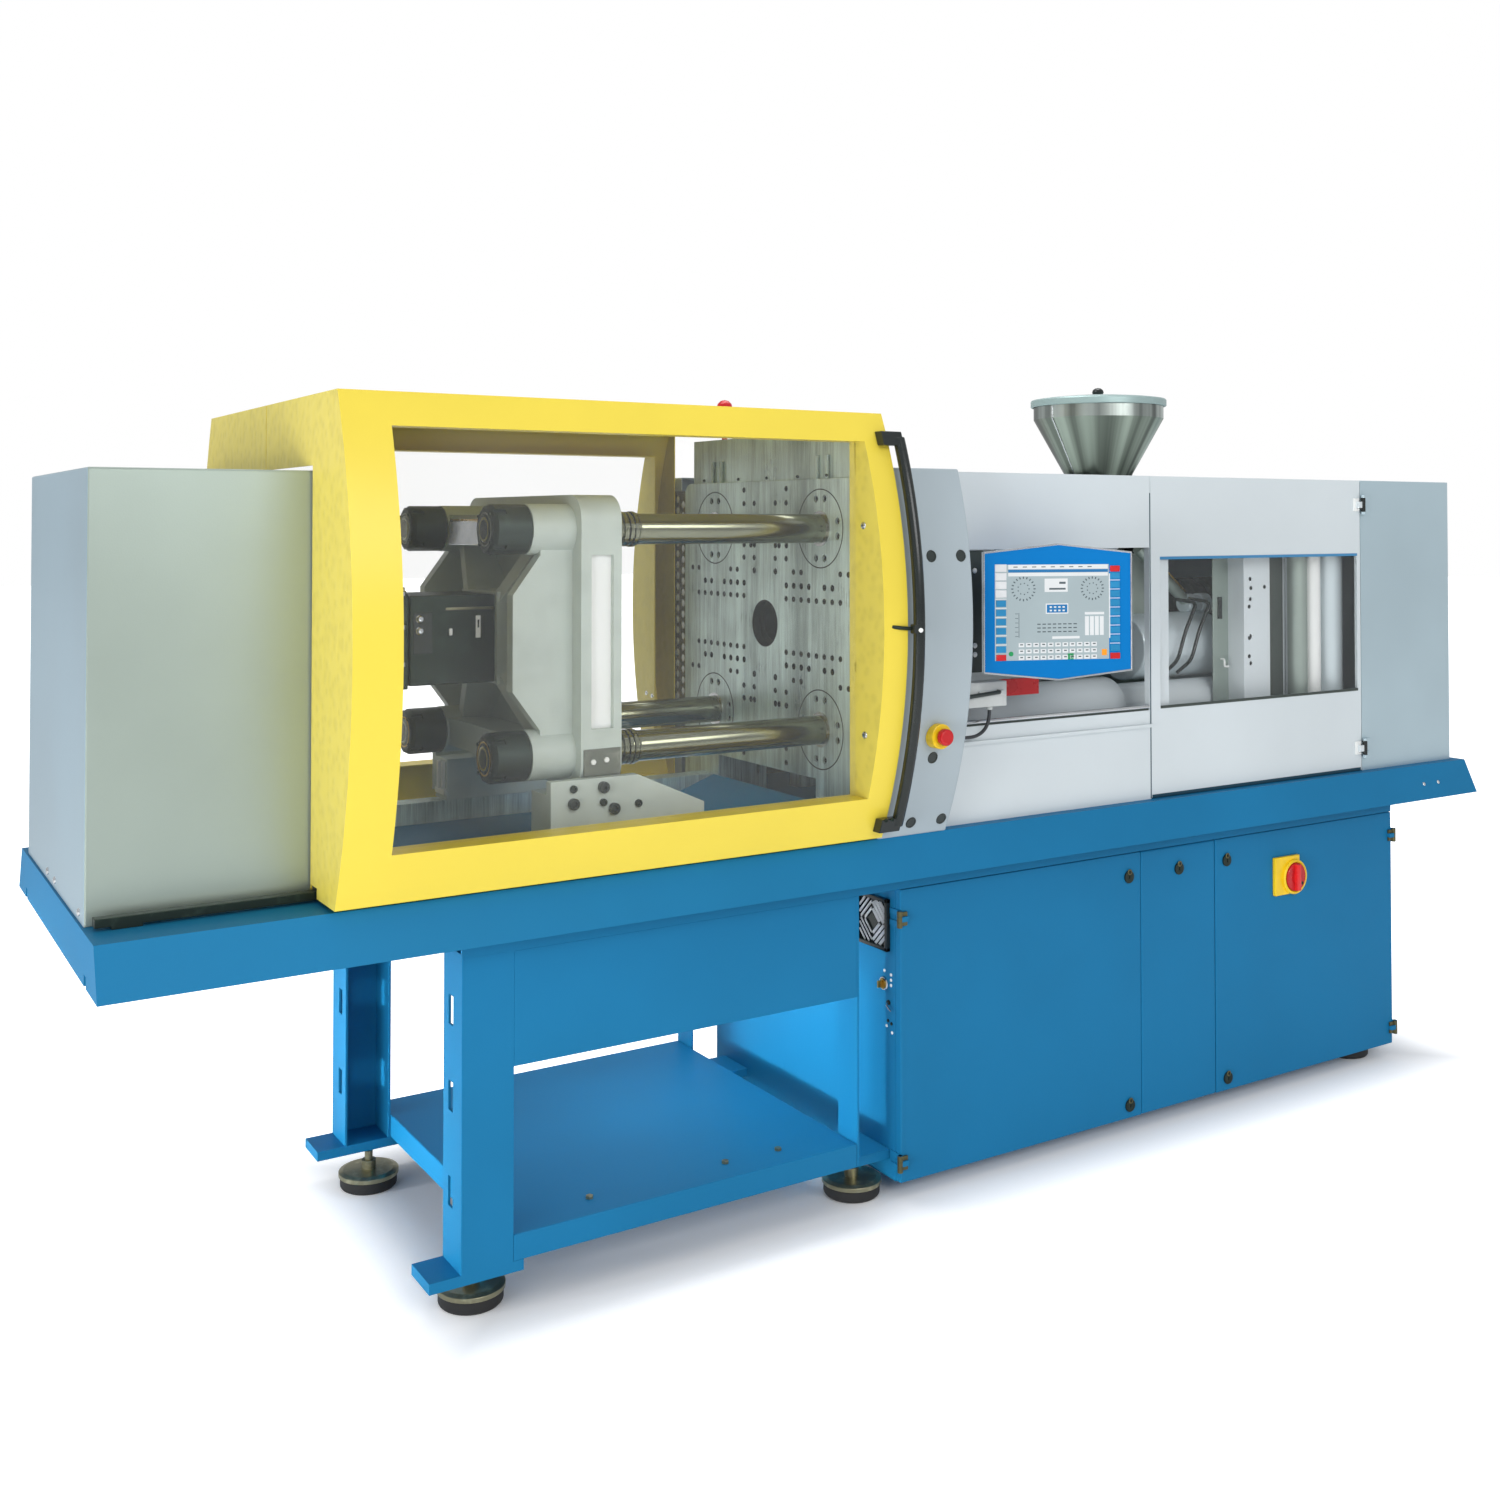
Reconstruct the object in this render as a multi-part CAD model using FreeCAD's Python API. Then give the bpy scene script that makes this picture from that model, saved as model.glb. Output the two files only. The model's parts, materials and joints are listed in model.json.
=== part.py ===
"""Injection moulding machine, 125 tonne class.

Frame: +Z up, origin on the floor under the middle of the machine, +X from the clamp end to the
injection end, -Y towards the operator.  Stations named *_AT are distances along the machine,
measured from the left end of the bed.  Lengths are millimetres.
"""
import FreeCAD, Part
import math
import os

from FreeCAD import Vector

# --- clearances --------------------------------------------------------------------------------
RUNNING_GAP = 0.3          # between faces of pieces that move past each other
PIN_GAP = 0.05             # radial, between a hinge pin and its knuckle
SEAM = 2.0                 # between neighbouring covers and doors

# --- bed ---------------------------------------------------------------------------------------
BED_LENGTH = 4110.0
BED_WIDTH = 985.0          # across the top edges of the aprons
BED_TOP = 906.0
BED_PLATE = 12.0
APRON_SHEET = 6.0
APRON_DEPTH = 98.0
APRON_FLARE = 43.0
BED_BEAM_WIDTH = 100.0
BED_BEAM_DEPTH = 132.0
BED_BEAM_WALL = 8.0
DROP_OPENING_AT = 1180.0
DROP_OPENING_LENGTH = 550.0
DROP_OPENING_WIDTH = 460.0
CHUTE_SHEET = 3.0

# --- stand under the clamp end -----------------------------------------------------------------
BASE_WIDTH = 884.0         # over the fronts of legs and cabinet
FOOT_TOP = 87.0
LEG_AT = 723.0
LEG_WIDTH = 117.0
LEG_DEPTH = 105.0
LEG_SHEET = 6.0
FOOT_PLATE_OVERHANG = 69.0
FOOT_PLATE_REACH = 24.0
FOOT_PLATE = 23.0
LEG_SLOT_WIDTH = 26.0
LEG_SLOT_HEIGHT = 62.0
BRACKET_AT = 1735.0        # upright flange at the shelf's right end
BRACKET_FLANGE = 80.0
BRACKET_SETBACK = 45.0
BRACKET_REACH = 170.0
SHELF_TOP = 165.0
SHELF_LIP = 55.0
SHELF_SHEET = 4.0
DEFLECTOR_DEPTH = 244.0    # below the beams
DEFLECTOR_SHEET = 3.0

# --- levelling feet ----------------------------------------------------------------------------
FOOT_STATIONS_AT = (785.0, 1790.0)
FOOT_INSET = 101.0         # from the front of the base
PAD_RADIUS = 70.0
PAD_HEIGHT = 30.0
DISC_RADIUS = 74.0
DISC_HEIGHT = 14.0
STUD_RADIUS = 10.0
RIGHT_FOOT_AT = 3700.0

# --- cabinet -----------------------------------------------------------------------------------
CABINET_AT = 1867.0
CABINET_LENGTH = 1933.0
CABINET_BOTTOM = 39.0
CABINET_SHEET = 4.0
DOOR_DEPTH = 20.0
DOOR_SHEET = 3.0
LEFT_DOOR_WIDTH = 833.0
MIDDLE_PANEL_WIDTH = 298.0
MULLION_WIDTH = 50.0
KNUCKLE_RADIUS = 6.0
HINGE_PIN_RADIUS = 3.0
HINGE_HEIGHT = 42.0
HINGE_LEAF = 4.0
HINGE_FROM_TOP = 73.0
HINGE_FROM_BOTTOM = 52.0
LOCK_EDGE = 46.0           # lock centre from the door's free edge
LOCK_FROM_TOP = 65.0
LOCK_FROM_BOTTOM = 37.0
LOCK_RING_RADIUS = 17.0
LOCK_RING_HEIGHT = 5.0
LOCK_CORE_RADIUS = 9.0
CAM_REACH = 44.0
CAM_WIDTH = 14.0
CAM_SHEET = 3.0
SWITCH_FROM_DOOR_EDGE = 324.0
SWITCH_FROM_TOP = 143.0
SWITCH_RADIUS = 42.0
SWITCH_DEPTH = 34.0
GRILLE_SIZE = 130.0
GRILLE_FROM_TOP = 98.0
GRILLE_INSET = 106.0
GRILLE_DEPTH = 12.0
GRILLE_SLATS = 7
KEY_SWITCH_FROM_TOP = 247.0
KEY_SWITCH_INSET = 66.0
KEY_SWITCH_RADIUS = 13.0
KEY_SWITCH_DEPTH = 22.0
TANK_LENGTH = 620.0
TANK_WIDTH = 520.0
TANK_HEIGHT = 330.0
MOTOR_RADIUS = 105.0
MOTOR_LENGTH = 360.0

# --- left cover --------------------------------------------------------------------------------
LEFT_COVER_AT = 5.0
LEFT_COVER_LENGTH = 449.0
LEFT_COVER_FRONT = 350.0   # from the centre line
LEFT_COVER_REAR = 422.0
LEFT_COVER_RISE = 377.0    # above the axis
COVER_SHEET = 3.0
COVER_FLANGE = 14.0

# --- gates -------------------------------------------------------------------------------------
GATE_AT = 430.0
GATE_COLUMN_GAP = 7.0      # between a gate and the side column
GATE_HALF_WIDTH = 522.0
GATE_BED_GAP = 10.0        # between a gate and the bed
GATE_RISE = 532.0          # above the axis
GATE_BULGE = 103.0
GATE_SHEET = 3.0
GATE_BACK = 34.0           # depth of the frame behind its top and bottom edges
WINDOW_LEFT = 100.0        # frame widths round the clear pane
WINDOW_RIGHT = 69.0
WINDOW_TOP = 70.0
WINDOW_BOTTOM = 104.0
PANE = 6.0
PANE_INSET = 8.0
GATE_SEAM = 4.0
GATE_CUTOUT_GAP = 10.0
GATE_TRAVEL = 420.0
RAIL_WIDTH = 26.0
RAIL_HEIGHT = 17.0
RAIL_OFFSET = 20.0
RAIL_FOOT = 6.0
RAIL_AT = 17.0
SHOE_LENGTH = 90.0
SHOE_WALL = 8.0
SHOE_INSET = 60.0
HANDLE_BEYOND_GATE = 18.0
HANDLE_RADIUS = 14.0
HANDLE_STANDOFF = 20.0
HANDLE_FROM_TOP = 62.0
HANDLE_FROM_BOTTOM = 36.0
HANDLE_FOOT_HEIGHT = 34.0
HANDLE_FOOT_WIDTH = 52.0

# --- clamp -------------------------------------------------------------------------------------
AXIS_ABOVE_BED = 492.0     # the clamp and barrel axis
TIE_BAR_HALF_WIDTH = 261.0
TIE_BAR_HALF_HEIGHT = 255.0
TIE_BAR_RADIUS = 36.5
TIE_BAR_NECK = 31.5
FIXED_PLATEN_AT = 1752.0
FIXED_PLATEN_THICKNESS = 160.0
FIXED_PLATEN_WIDTH = 860.0
FIXED_PLATEN_HEIGHT = 764.0
PLATEN_CORNER = 30.0
PLATEN_FOOT_WIDTH = 190.0
FLANGE_RADIUS = 100.0
FLANGE_THICKNESS = 25.0
FLANGE_BOLT_RADIUS = 9.0
FLANGE_BOLT_CIRCLE = 78.0
FLANGE_FIT = 0.2
CENTRING_RADIUS = 62.5
CENTRING_DEPTH = 25.0
NOZZLE_HOLE_RADIUS = 45.0
MOULD_HOLE_RADIUS = 8.0
MOULD_HOLE_DEPTH = 40.0
MOULD_HOLE_PITCH = 35.0
MOULD_BOLTS_X = 420.0      # spacing of the standard mould fixing rectangle, across
MOULD_BOLTS_Z = 210.0      # and up the platen
CYLINDER_RADIUS = 80.0
CYLINDER_BORE = 62.0
CYLINDER_LENGTH = 840.0
CYLINDER_CAP = 30.0
CYLINDER_TAIL_RADIUS = 58.0
CYLINDER_TAIL_LENGTH = 480.0
CYLINDER_TAIL_WALL = 6.0
PISTON_LENGTH = 60.0
PISTON_AT = 2285.0
HOOD_HEIGHT = 122.0
HOOD_SETBACK = 12.0
HOOD_SHEET = 3.0
HOOD_HEM = 30.0            # folded back along its top
HOOD_FLANGE = 15.0         # screwed to the platen
HOOD_WIDTH = 800.0
LOCATING_PIN_RADIUS = 6.0
LOCATING_PIN_HEIGHT = 60.0
LOCATING_PIN_SPACING = 46.0
STRIP_WIDTH = 62.0
STRIP_FROM_TOP = 20.0
STRIP_HEIGHT = 640.0
STRIP_HOLE_RADIUS = 11.0
STRIP_PITCH = 32.0

DAYLIGHT = 607.0           # between the platens as modelled
MOVING_SLAB = 102.0
MOVING_WIDTH = 684.0
MOVING_HEIGHT = 668.0
MOVING_CORNER = 60.0
BOSS_RADIUS = 58.0
BOSS_LENGTH = 106.0
HUB_HALF_WIDTH = 110.0
HUB_HALF_HEIGHT = 108.0
RIB = 34.0
SIDE_WEB_SWELL = 40.0
NUT_RADIUS = 57.0
NUT_LENGTH = 90.0
NUT_SLOT = 14.0
EJECTOR_HOUSING_LENGTH = 237.0
EJECTOR_BORE = 60.0
EJECTOR_ROD_RADIUS = 20.0
EJECTOR_STROKE = 130.0
PLATEN_RAIL_OFFSET = 300.0
PLATEN_RAIL_WIDTH = 60.0
PLATEN_RAIL_HEIGHT = 54.0
PLATEN_RAIL_AT = 490.0
SHOE_PLATE = 24.0
SHOE_NOSE = 205.0
SHOE_PLATE_RISE = 189.0    # top and bottom of the side plate above the bed
SHOE_PLATE_LIFT = 69.0
CLAMP_OPEN_TRAVEL = 40.0
CLAMP_CLOSE_TRAVEL = 360.0

# --- side columns ------------------------------------------------------------------------------
COLUMN_SETBACK = 5.0       # behind the fixed platen's face
COLUMN_LENGTH = 208.0
COLUMN_RISE = 402.0        # above the axis
COLUMN_INSET = 18.0
COLUMN_SHEET = 3.0
STOP_INSET = 111.0         # from the column's left edge
STOP_ABOVE_BED = 251.0
STOP_BASE_RADIUS = 30.0
STOP_BASE_DEPTH = 26.0
STOP_BUTTON_RADIUS = 20.0
STOP_STEM_RADIUS = 8.0
STOP_TRAVEL = 5.0

# --- injection end covers ----------------------------------------------------------------------
COVERS_HALF_WIDTH = 461.0
COVERS_RISE = 399.0        # above the axis
COVERS_LENGTH = 2116.0
FRONT_COVER_LENGTH = 759.0
WINDOW_DOOR_LENGTH = 912.0
COVER_DEPTH = 20.0
FRONT_OPENING_LEFT = 79.0  # covers' edge to the opening
FRONT_OPENING_RIGHT = 5.0
FRONT_OPENING_DROP = 285.0 # below and above the axis
FRONT_OPENING_RISE = 201.0
COVER_RAIL = 9.0
DOOR_WINDOW_LEFT = 37.0    # door's edges to its window
DOOR_WINDOW_RIGHT = 17.0
DOOR_WINDOW_DROP = 238.0   # below and above the axis
DOOR_WINDOW_RISE = 167.0
DOOR_PANE = 5.0
DOOR_PANE_LAP = 12.0
UPPER_HINGE_FROM_TOP = 75.0
LOWER_HINGE_FROM_BED = 70.0
COVER_HINGE_HEIGHT = 60.0
HINGE_STANDOFF = 5.0       # hinge axis in front of the door's face
KNOB_RADIUS = 14.0
KNOB_LENGTH = 22.0
PULL_DROP = 143.0          # below the axis
PULL_RADIUS = 40.0
PULL_GRIP_RADIUS = 7.0

# --- beacon, control panel, connector box, cable -----------------------------------------------
BEACON_SETBACK = 54.0      # behind the fixed platen's face
BEACON_SIDE = 298.0
BEACON_HEIGHT = 240.0      # above the fixed platen
BEACON_RADIUS = 23.0
BEACON_DOME = 46.0
PANEL_PIVOT_AT = 2242.0
PANEL_PIVOT_FRONT = 566.0
PANEL_TURN = -19.0         # swivel of the panel as it stands, degrees
PANEL_CENTRE_RISE = 47.0   # above the axis
PANEL_WIDTH = 400.0
PANEL_SIDE_HEIGHT = 300.0
PANEL_APEX_HEIGHT = 342.0
PANEL_FACE_DEPTH = 12.0
PANEL_HOUSING_DEPTH = 38.0
PANEL_HOUSING_MARGIN = 18.0
PANEL_FACE_REACH = 71.0    # from the pivot to the face
PIVOT_PIN_RADIUS = 8.0
PIVOT_BOSS_RADIUS = 20.0
PIVOT_BOSS_HEIGHT = 70.0
PIVOT_LUG = 12.0
ARM_WIDTH = 50.0
ARM_HANGER_WIDTH = 150.0
ARM_HANGER = 10.0
BOX_INSET = 20.0           # from the covers' left edge
BOX_LENGTH = 175.0
BOX_DEPTH = 44.0
BOX_ABOVE_OPENING = 90.0
BOX_HEIGHT = 63.0
CABLE_RADIUS = 4.5
GLAND_INSET = 136.0        # from the box's left end
GLAND_DEPTH = 22.0         # in front of the covers
GLAND_LENGTH = 10.0
CABLE_ROUTE = (            # from the gland's mouth, the last but one level with the column's wall
    (0.0, 0.0, -21.0),
    (-15.0, -3.0, -48.0),
    (-45.0, -7.0, -63.0),
    (-82.0, -10.0, -65.0),
    (-119.0, -11.0, -61.0),
)

# --- injection unit ----------------------------------------------------------------------------
INJECTION_RAIL_OFFSET = 230.0
INJECTION_RAIL_WIDTH = 50.0
INJECTION_RAIL_HEIGHT = 60.0
INJECTION_RAIL_INSET = 36.0    # of the ways' ends, from the ends of the covers
HOPPER_AT = 2985.0
FEED_HOUSING_AT = 2860.0
FEED_HOUSING_LENGTH = 270.0
FEED_HOUSING_HALF_WIDTH = 125.0
FEED_HOUSING_DROP = 148.0  # below and above the axis
FEED_FLAT_RISE = 172.0
CARRIAGE_PLATE = 34.0
CARRIAGE_LENGTH = 640.0
BARREL_TIP_AT = 1800.0
BARREL_RADIUS = 55.0
BARREL_CAP_AT = 1985.0
BARREL_CAP_LENGTH = 66.0
BARREL_CAP_RADIUS = 72.0
NOZZLE_RADIUS = 28.0
NOZZLE_TIP_RADIUS = 12.0
SCREW_RADIUS = 21.0
SCREW_ROOT = 15.0
SCREW_TIP_GAP = 210.0      # from the nozzle tip to the screw tip
SHANK_RADIUS = 17.0
INJECTION_CYLINDER_AT = 2880.0
INJECTION_CYLINDER_LENGTH = 345.0
INJECTION_CYLINDER_RADIUS = 98.0
INJECTION_CYLINDER_BORE = 60.0
INJECTION_CYLINDER_END = 22.0
INJECTION_CYLINDER_SIDE = 192.0    # from the axis, the front one below it and the rear one above
INJECTION_CYLINDER_RISE = 100.0
INJECTION_ROD_RADIUS = 25.0
INJECTION_PISTON = 40.0
DRIVE_AT = 3330.0
DRIVE_LENGTH = 190.0
DRIVE_RADIUS = 92.0
DRIVE_PLATE = 40.0
DRIVE_EYE_RADIUS = 50.0
DRIVE_BAR_WIDTH = 90.0
INJECTION_STROKE = 160.0
CARRIAGE_FORWARD = 40.0
CARRIAGE_BACK = 200.0
HOPPER_RADIUS = 197.5
HOPPER_SHEET = 2.0
HOPPER_RIM_RISE = 622.0    # heights above the axis
HOPPER_CYLINDER_RISE = 586.0
HOPPER_THROAT_RADIUS = 50.0
HOPPER_THROAT_RISE = 321.0
HOPPER_FLANGE_RADIUS = 78.0
HOPPER_FLANGE = 12.0
LID_RADIUS = 215.0
LID_HEIGHT = 45.0
LID_LIP = 18.0
LID_KNOB_RADIUS = 17.0
LID_KNOB_HEIGHT = 22.0
HOPPER_SLOT_GAP = 12.0
POST_AT = 3187.0
POST_WIDTH = 115.0
POST_BACK = 392.0          # front of the inner posts, from the centre line
POST_DEPTH = 60.0
POST_SHEET = 3.0
POST_HOLE_RISES = (-148.0, -68.0, 42.0, 102.0)     # above the axis
BACK_SHEET_LEFT = 66.0     # the dark sheet behind the post, beyond its edges
BACK_SHEET_RIGHT = 320.0
PIPE_AT = (3462.0, 3526.0, 3625.0)
PIPE_RADII = (32.0, 28.0, 44.0)

# --- derived datums ----------------------------------------------------------------------------
LEFT = -BED_LENGTH / 2
RIGHT = BED_LENGTH / 2
BASE_FRONT = -BASE_WIDTH / 2
APRON_BOTTOM = BED_TOP - APRON_DEPTH
BEAM_BOTTOM = BED_TOP - BED_PLATE - BED_BEAM_DEPTH
CABINET_TOP = BEAM_BOTTOM
DEFLECTOR_BOTTOM = BEAM_BOTTOM - DEFLECTOR_DEPTH
SWITCH_HEIGHT = CABINET_TOP - SWITCH_FROM_TOP
GRILLE_HEIGHT = CABINET_TOP - GRILLE_FROM_TOP
KEY_SWITCH_HEIGHT = CABINET_TOP - KEY_SWITCH_FROM_TOP
AXIS_HEIGHT = BED_TOP + AXIS_ABOVE_BED
FIXED_PLATEN_BOTTOM = AXIS_HEIGHT - FIXED_PLATEN_HEIGHT / 2
FIXED_PLATEN_TOP = AXIS_HEIGHT + FIXED_PLATEN_HEIGHT / 2
HOOD_TOP = FIXED_PLATEN_TOP + HOOD_HEIGHT
STRIP_TOP = FIXED_PLATEN_TOP - STRIP_FROM_TOP
STRIP_BOTTOM = STRIP_TOP - STRIP_HEIGHT
BEACON_AT = FIXED_PLATEN_AT + BEACON_SETBACK
BEACON_TOP = FIXED_PLATEN_TOP + BEACON_HEIGHT
MOVING_TOP = AXIS_HEIGHT + MOVING_HEIGHT / 2
MOVING_BOTTOM = AXIS_HEIGHT - MOVING_HEIGHT / 2
SHOE_PLATE_TOP = BED_TOP + SHOE_PLATE_RISE
SHOE_PLATE_BOTTOM = BED_TOP + SHOE_PLATE_LIFT
COLUMN_AT = FIXED_PLATEN_AT + COLUMN_SETBACK
COLUMN_TOP = AXIS_HEIGHT + COLUMN_RISE
STOP_AT = COLUMN_AT + STOP_INSET
STOP_HEIGHT = BED_TOP + STOP_ABOVE_BED
LEFT_COVER_TOP = AXIS_HEIGHT + LEFT_COVER_RISE
GATE_LENGTH = COLUMN_AT - GATE_COLUMN_GAP - GATE_AT
GATE_BOTTOM = BED_TOP + GATE_BED_GAP
GATE_TOP = AXIS_HEIGHT + GATE_RISE
HANDLE_AT = GATE_AT + GATE_LENGTH + HANDLE_BEYOND_GATE
HANDLE_TOP = GATE_TOP - HANDLE_FROM_TOP
HANDLE_BOTTOM = GATE_BOTTOM + HANDLE_FROM_BOTTOM
COVERS_AT = COLUMN_AT + COLUMN_LENGTH
COVERS_TOP = AXIS_HEIGHT + COVERS_RISE
WINDOW_DOOR_AT = COVERS_AT + FRONT_COVER_LENGTH
END_COVER_AT = WINDOW_DOOR_AT + WINDOW_DOOR_LENGTH
FRONT_OPENING_AT = COVERS_AT + FRONT_OPENING_LEFT
FRONT_OPENING_END = WINDOW_DOOR_AT - FRONT_OPENING_RIGHT
FRONT_OPENING_BOTTOM = AXIS_HEIGHT - FRONT_OPENING_DROP
FRONT_OPENING_TOP = AXIS_HEIGHT + FRONT_OPENING_RISE
DOOR_WINDOW_AT = WINDOW_DOOR_AT + DOOR_WINDOW_LEFT
DOOR_WINDOW_END = END_COVER_AT - DOOR_WINDOW_RIGHT
DOOR_WINDOW_BOTTOM = AXIS_HEIGHT - DOOR_WINDOW_DROP
DOOR_WINDOW_TOP = AXIS_HEIGHT + DOOR_WINDOW_RISE
UPPER_HINGE_HEIGHT = COVERS_TOP - UPPER_HINGE_FROM_TOP
LOWER_HINGE_HEIGHT = BED_TOP + LOWER_HINGE_FROM_BED
PULL_HEIGHT = AXIS_HEIGHT - PULL_DROP
PANEL_CENTRE_HEIGHT = AXIS_HEIGHT + PANEL_CENTRE_RISE
BOX_AT = COVERS_AT + BOX_INSET
BOX_BOTTOM = FRONT_OPENING_BOTTOM + BOX_ABOVE_OPENING
FEED_HOUSING_BOTTOM = AXIS_HEIGHT - FEED_HOUSING_DROP
FEED_FLAT_HEIGHT = AXIS_HEIGHT + FEED_FLAT_RISE
HOPPER_RIM = AXIS_HEIGHT + HOPPER_RIM_RISE
HOPPER_CYLINDER_BOTTOM = AXIS_HEIGHT + HOPPER_CYLINDER_RISE
HOPPER_THROAT_TOP = AXIS_HEIGHT + HOPPER_THROAT_RISE
GATE_HALF_HEIGHT = (GATE_TOP - GATE_BOTTOM) / 2
GATE_MIDDLE = (GATE_TOP + GATE_BOTTOM) / 2
GATE_RADIUS = (GATE_HALF_HEIGHT ** 2 + GATE_BULGE ** 2) / (2 * GATE_BULGE)
PLATEN_FACE = LEFT + FIXED_PLATEN_AT
PLATEN_BACK = PLATEN_FACE + FIXED_PLATEN_THICKNESS
MOVING_FACE = PLATEN_FACE - DAYLIGHT
MOVING_BACK = MOVING_FACE - MOVING_SLAB
BOSS_END = MOVING_BACK - BOSS_LENGTH
FRONT, REAR = -1, 1


def at(station):
    """Model X of a distance along the machine."""
    return LEFT + station


# --- solid makers ------------------------------------------------------------------------------
def block(x, y, z):
    """Box between (low, high) pairs, in either order."""
    low = [min(pair) for pair in (x, y, z)]
    high = [max(pair) for pair in (x, y, z)]
    return Part.makeBox(high[0] - low[0], high[1] - low[1], high[2] - low[2], Vector(*low))


def rod_x(x, y, z, radius):
    """Cylinder along X between the pair x."""
    return Part.makeCylinder(radius, x[1] - x[0], Vector(x[0], y, z), Vector(1, 0, 0))


def rod_y(x, y, z, radius):
    """Cylinder along Y between the pair y."""
    return Part.makeCylinder(radius, y[1] - y[0], Vector(x, y[0], z), Vector(0, 1, 0))


def rod_z(x, y, z, radius):
    """Cylinder along Z between the pair z."""
    return Part.makeCylinder(radius, z[1] - z[0], Vector(x, y, z[0]), Vector(0, 0, 1))


def polygon_face(points):
    """Flat face inside closed straight edges."""
    vectors = [Vector(*point) for point in points]
    return Part.Face(Part.makePolygon(vectors + vectors[:1]))


def profile_x(points, x):
    """Prism along X of an outline of (y, z) points."""
    return polygon_face([(x[0], y, z) for y, z in points]).extrude(Vector(x[1] - x[0], 0, 0))


def profile_y(points, y):
    """Prism along Y of an outline of (x, z) points."""
    return polygon_face([(x, y[0], z) for x, z in points]).extrude(Vector(0, y[1] - y[0], 0))


def profile_z(points, z):
    """Prism along Z of an outline of (x, y) points."""
    return polygon_face([(x, y, z[0]) for x, y in points]).extrude(Vector(0, 0, z[1] - z[0]))


def turned_x(points, y, z):
    """Solid of revolution about an axis along X, from (x, radius) points on the axis at both ends."""
    face = polygon_face([(x, y, z + radius) for x, radius in points])
    return face.revolve(Vector(0, y, z), Vector(1, 0, 0), 360)


def turned_z(points, x, y):
    """Solid of revolution about an axis along Z, from (radius, z) points."""
    face = polygon_face([(x + radius, y, z) for radius, z in points])
    return face.revolve(Vector(x, y, 0), Vector(0, 0, 1), 360)


def fuse(*solids):
    """One solid from touching or overlapping solids, its split faces merged."""
    return solids[0].fuse(list(solids[1:])).removeSplitter()


def cut(solid, *tools):
    """A solid with the tools taken away."""
    return solid.cut(list(tools))


def group(solids):
    """Separate solids of one sub-part."""
    return Part.makeCompound(solids)


def frustum(low, high, z):
    """Solid between two (half length, half width) rectangles at two heights."""
    def outline(half, height):
        corners = [(-half[0], -half[1]), (half[0], -half[1]), (half[0], half[1]), (-half[0], half[1])]
        vectors = [Vector(x, y, height) for x, y in corners]
        return Part.makePolygon(vectors + vectors[:1])
    return Part.makeLoft([outline(low, z[0]), outline(high, z[1])], True, True)


def pan(x, y, z, sheet):
    """Folded sheet pan: a front sheet with returns on its four edges, open at the back."""
    inner = block((x[0] + sheet, x[1] - sheet), (y[0] + sheet, y[1]), (z[0] + sheet, z[1] - sheet))
    return cut(block(x, y, z), inner)


def rounded_plate(x, half_width, z, corner):
    """Plate across the machine with its four corners rounded."""
    solid = block(x, (-half_width, half_width), z)
    edges = [edge for edge in solid.Edges if abs(edge.Vertexes[0].X - edge.Vertexes[1].X) > 1]
    return solid.makeFillet(corner, edges)


# --- the barrel curve that gates and columns share ---------------------------------------------
def curve_y(side, inset, height):
    """Model Y of the curve at a height, moved inwards by inset."""
    radius = GATE_RADIUS - inset
    centre = GATE_HALF_WIDTH + GATE_BULGE - GATE_RADIUS
    return side * (centre + math.sqrt(radius ** 2 - (height - GATE_MIDDLE) ** 2))


def bulged(side, inset, back, x, z):
    """Solid between the barrel curve and a flat back plane."""
    top = Vector(x[0], curve_y(side, inset, z[1]), z[1])
    middle = Vector(x[0], curve_y(side, inset, GATE_MIDDLE), GATE_MIDDLE)
    low = Vector(x[0], curve_y(side, inset, z[0]), z[0])
    back_low = Vector(x[0], side * back, z[0])
    back_top = Vector(x[0], side * back, z[1])
    edges = [
        Part.Arc(top, middle, low).toShape(),
        Part.LineSegment(low, back_low).toShape(),
        Part.LineSegment(back_low, back_top).toShape(),
        Part.LineSegment(back_top, top).toShape(),
    ]
    return Part.Face(Part.Wire(edges)).extrude(Vector(x[1] - x[0], 0, 0))


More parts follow.
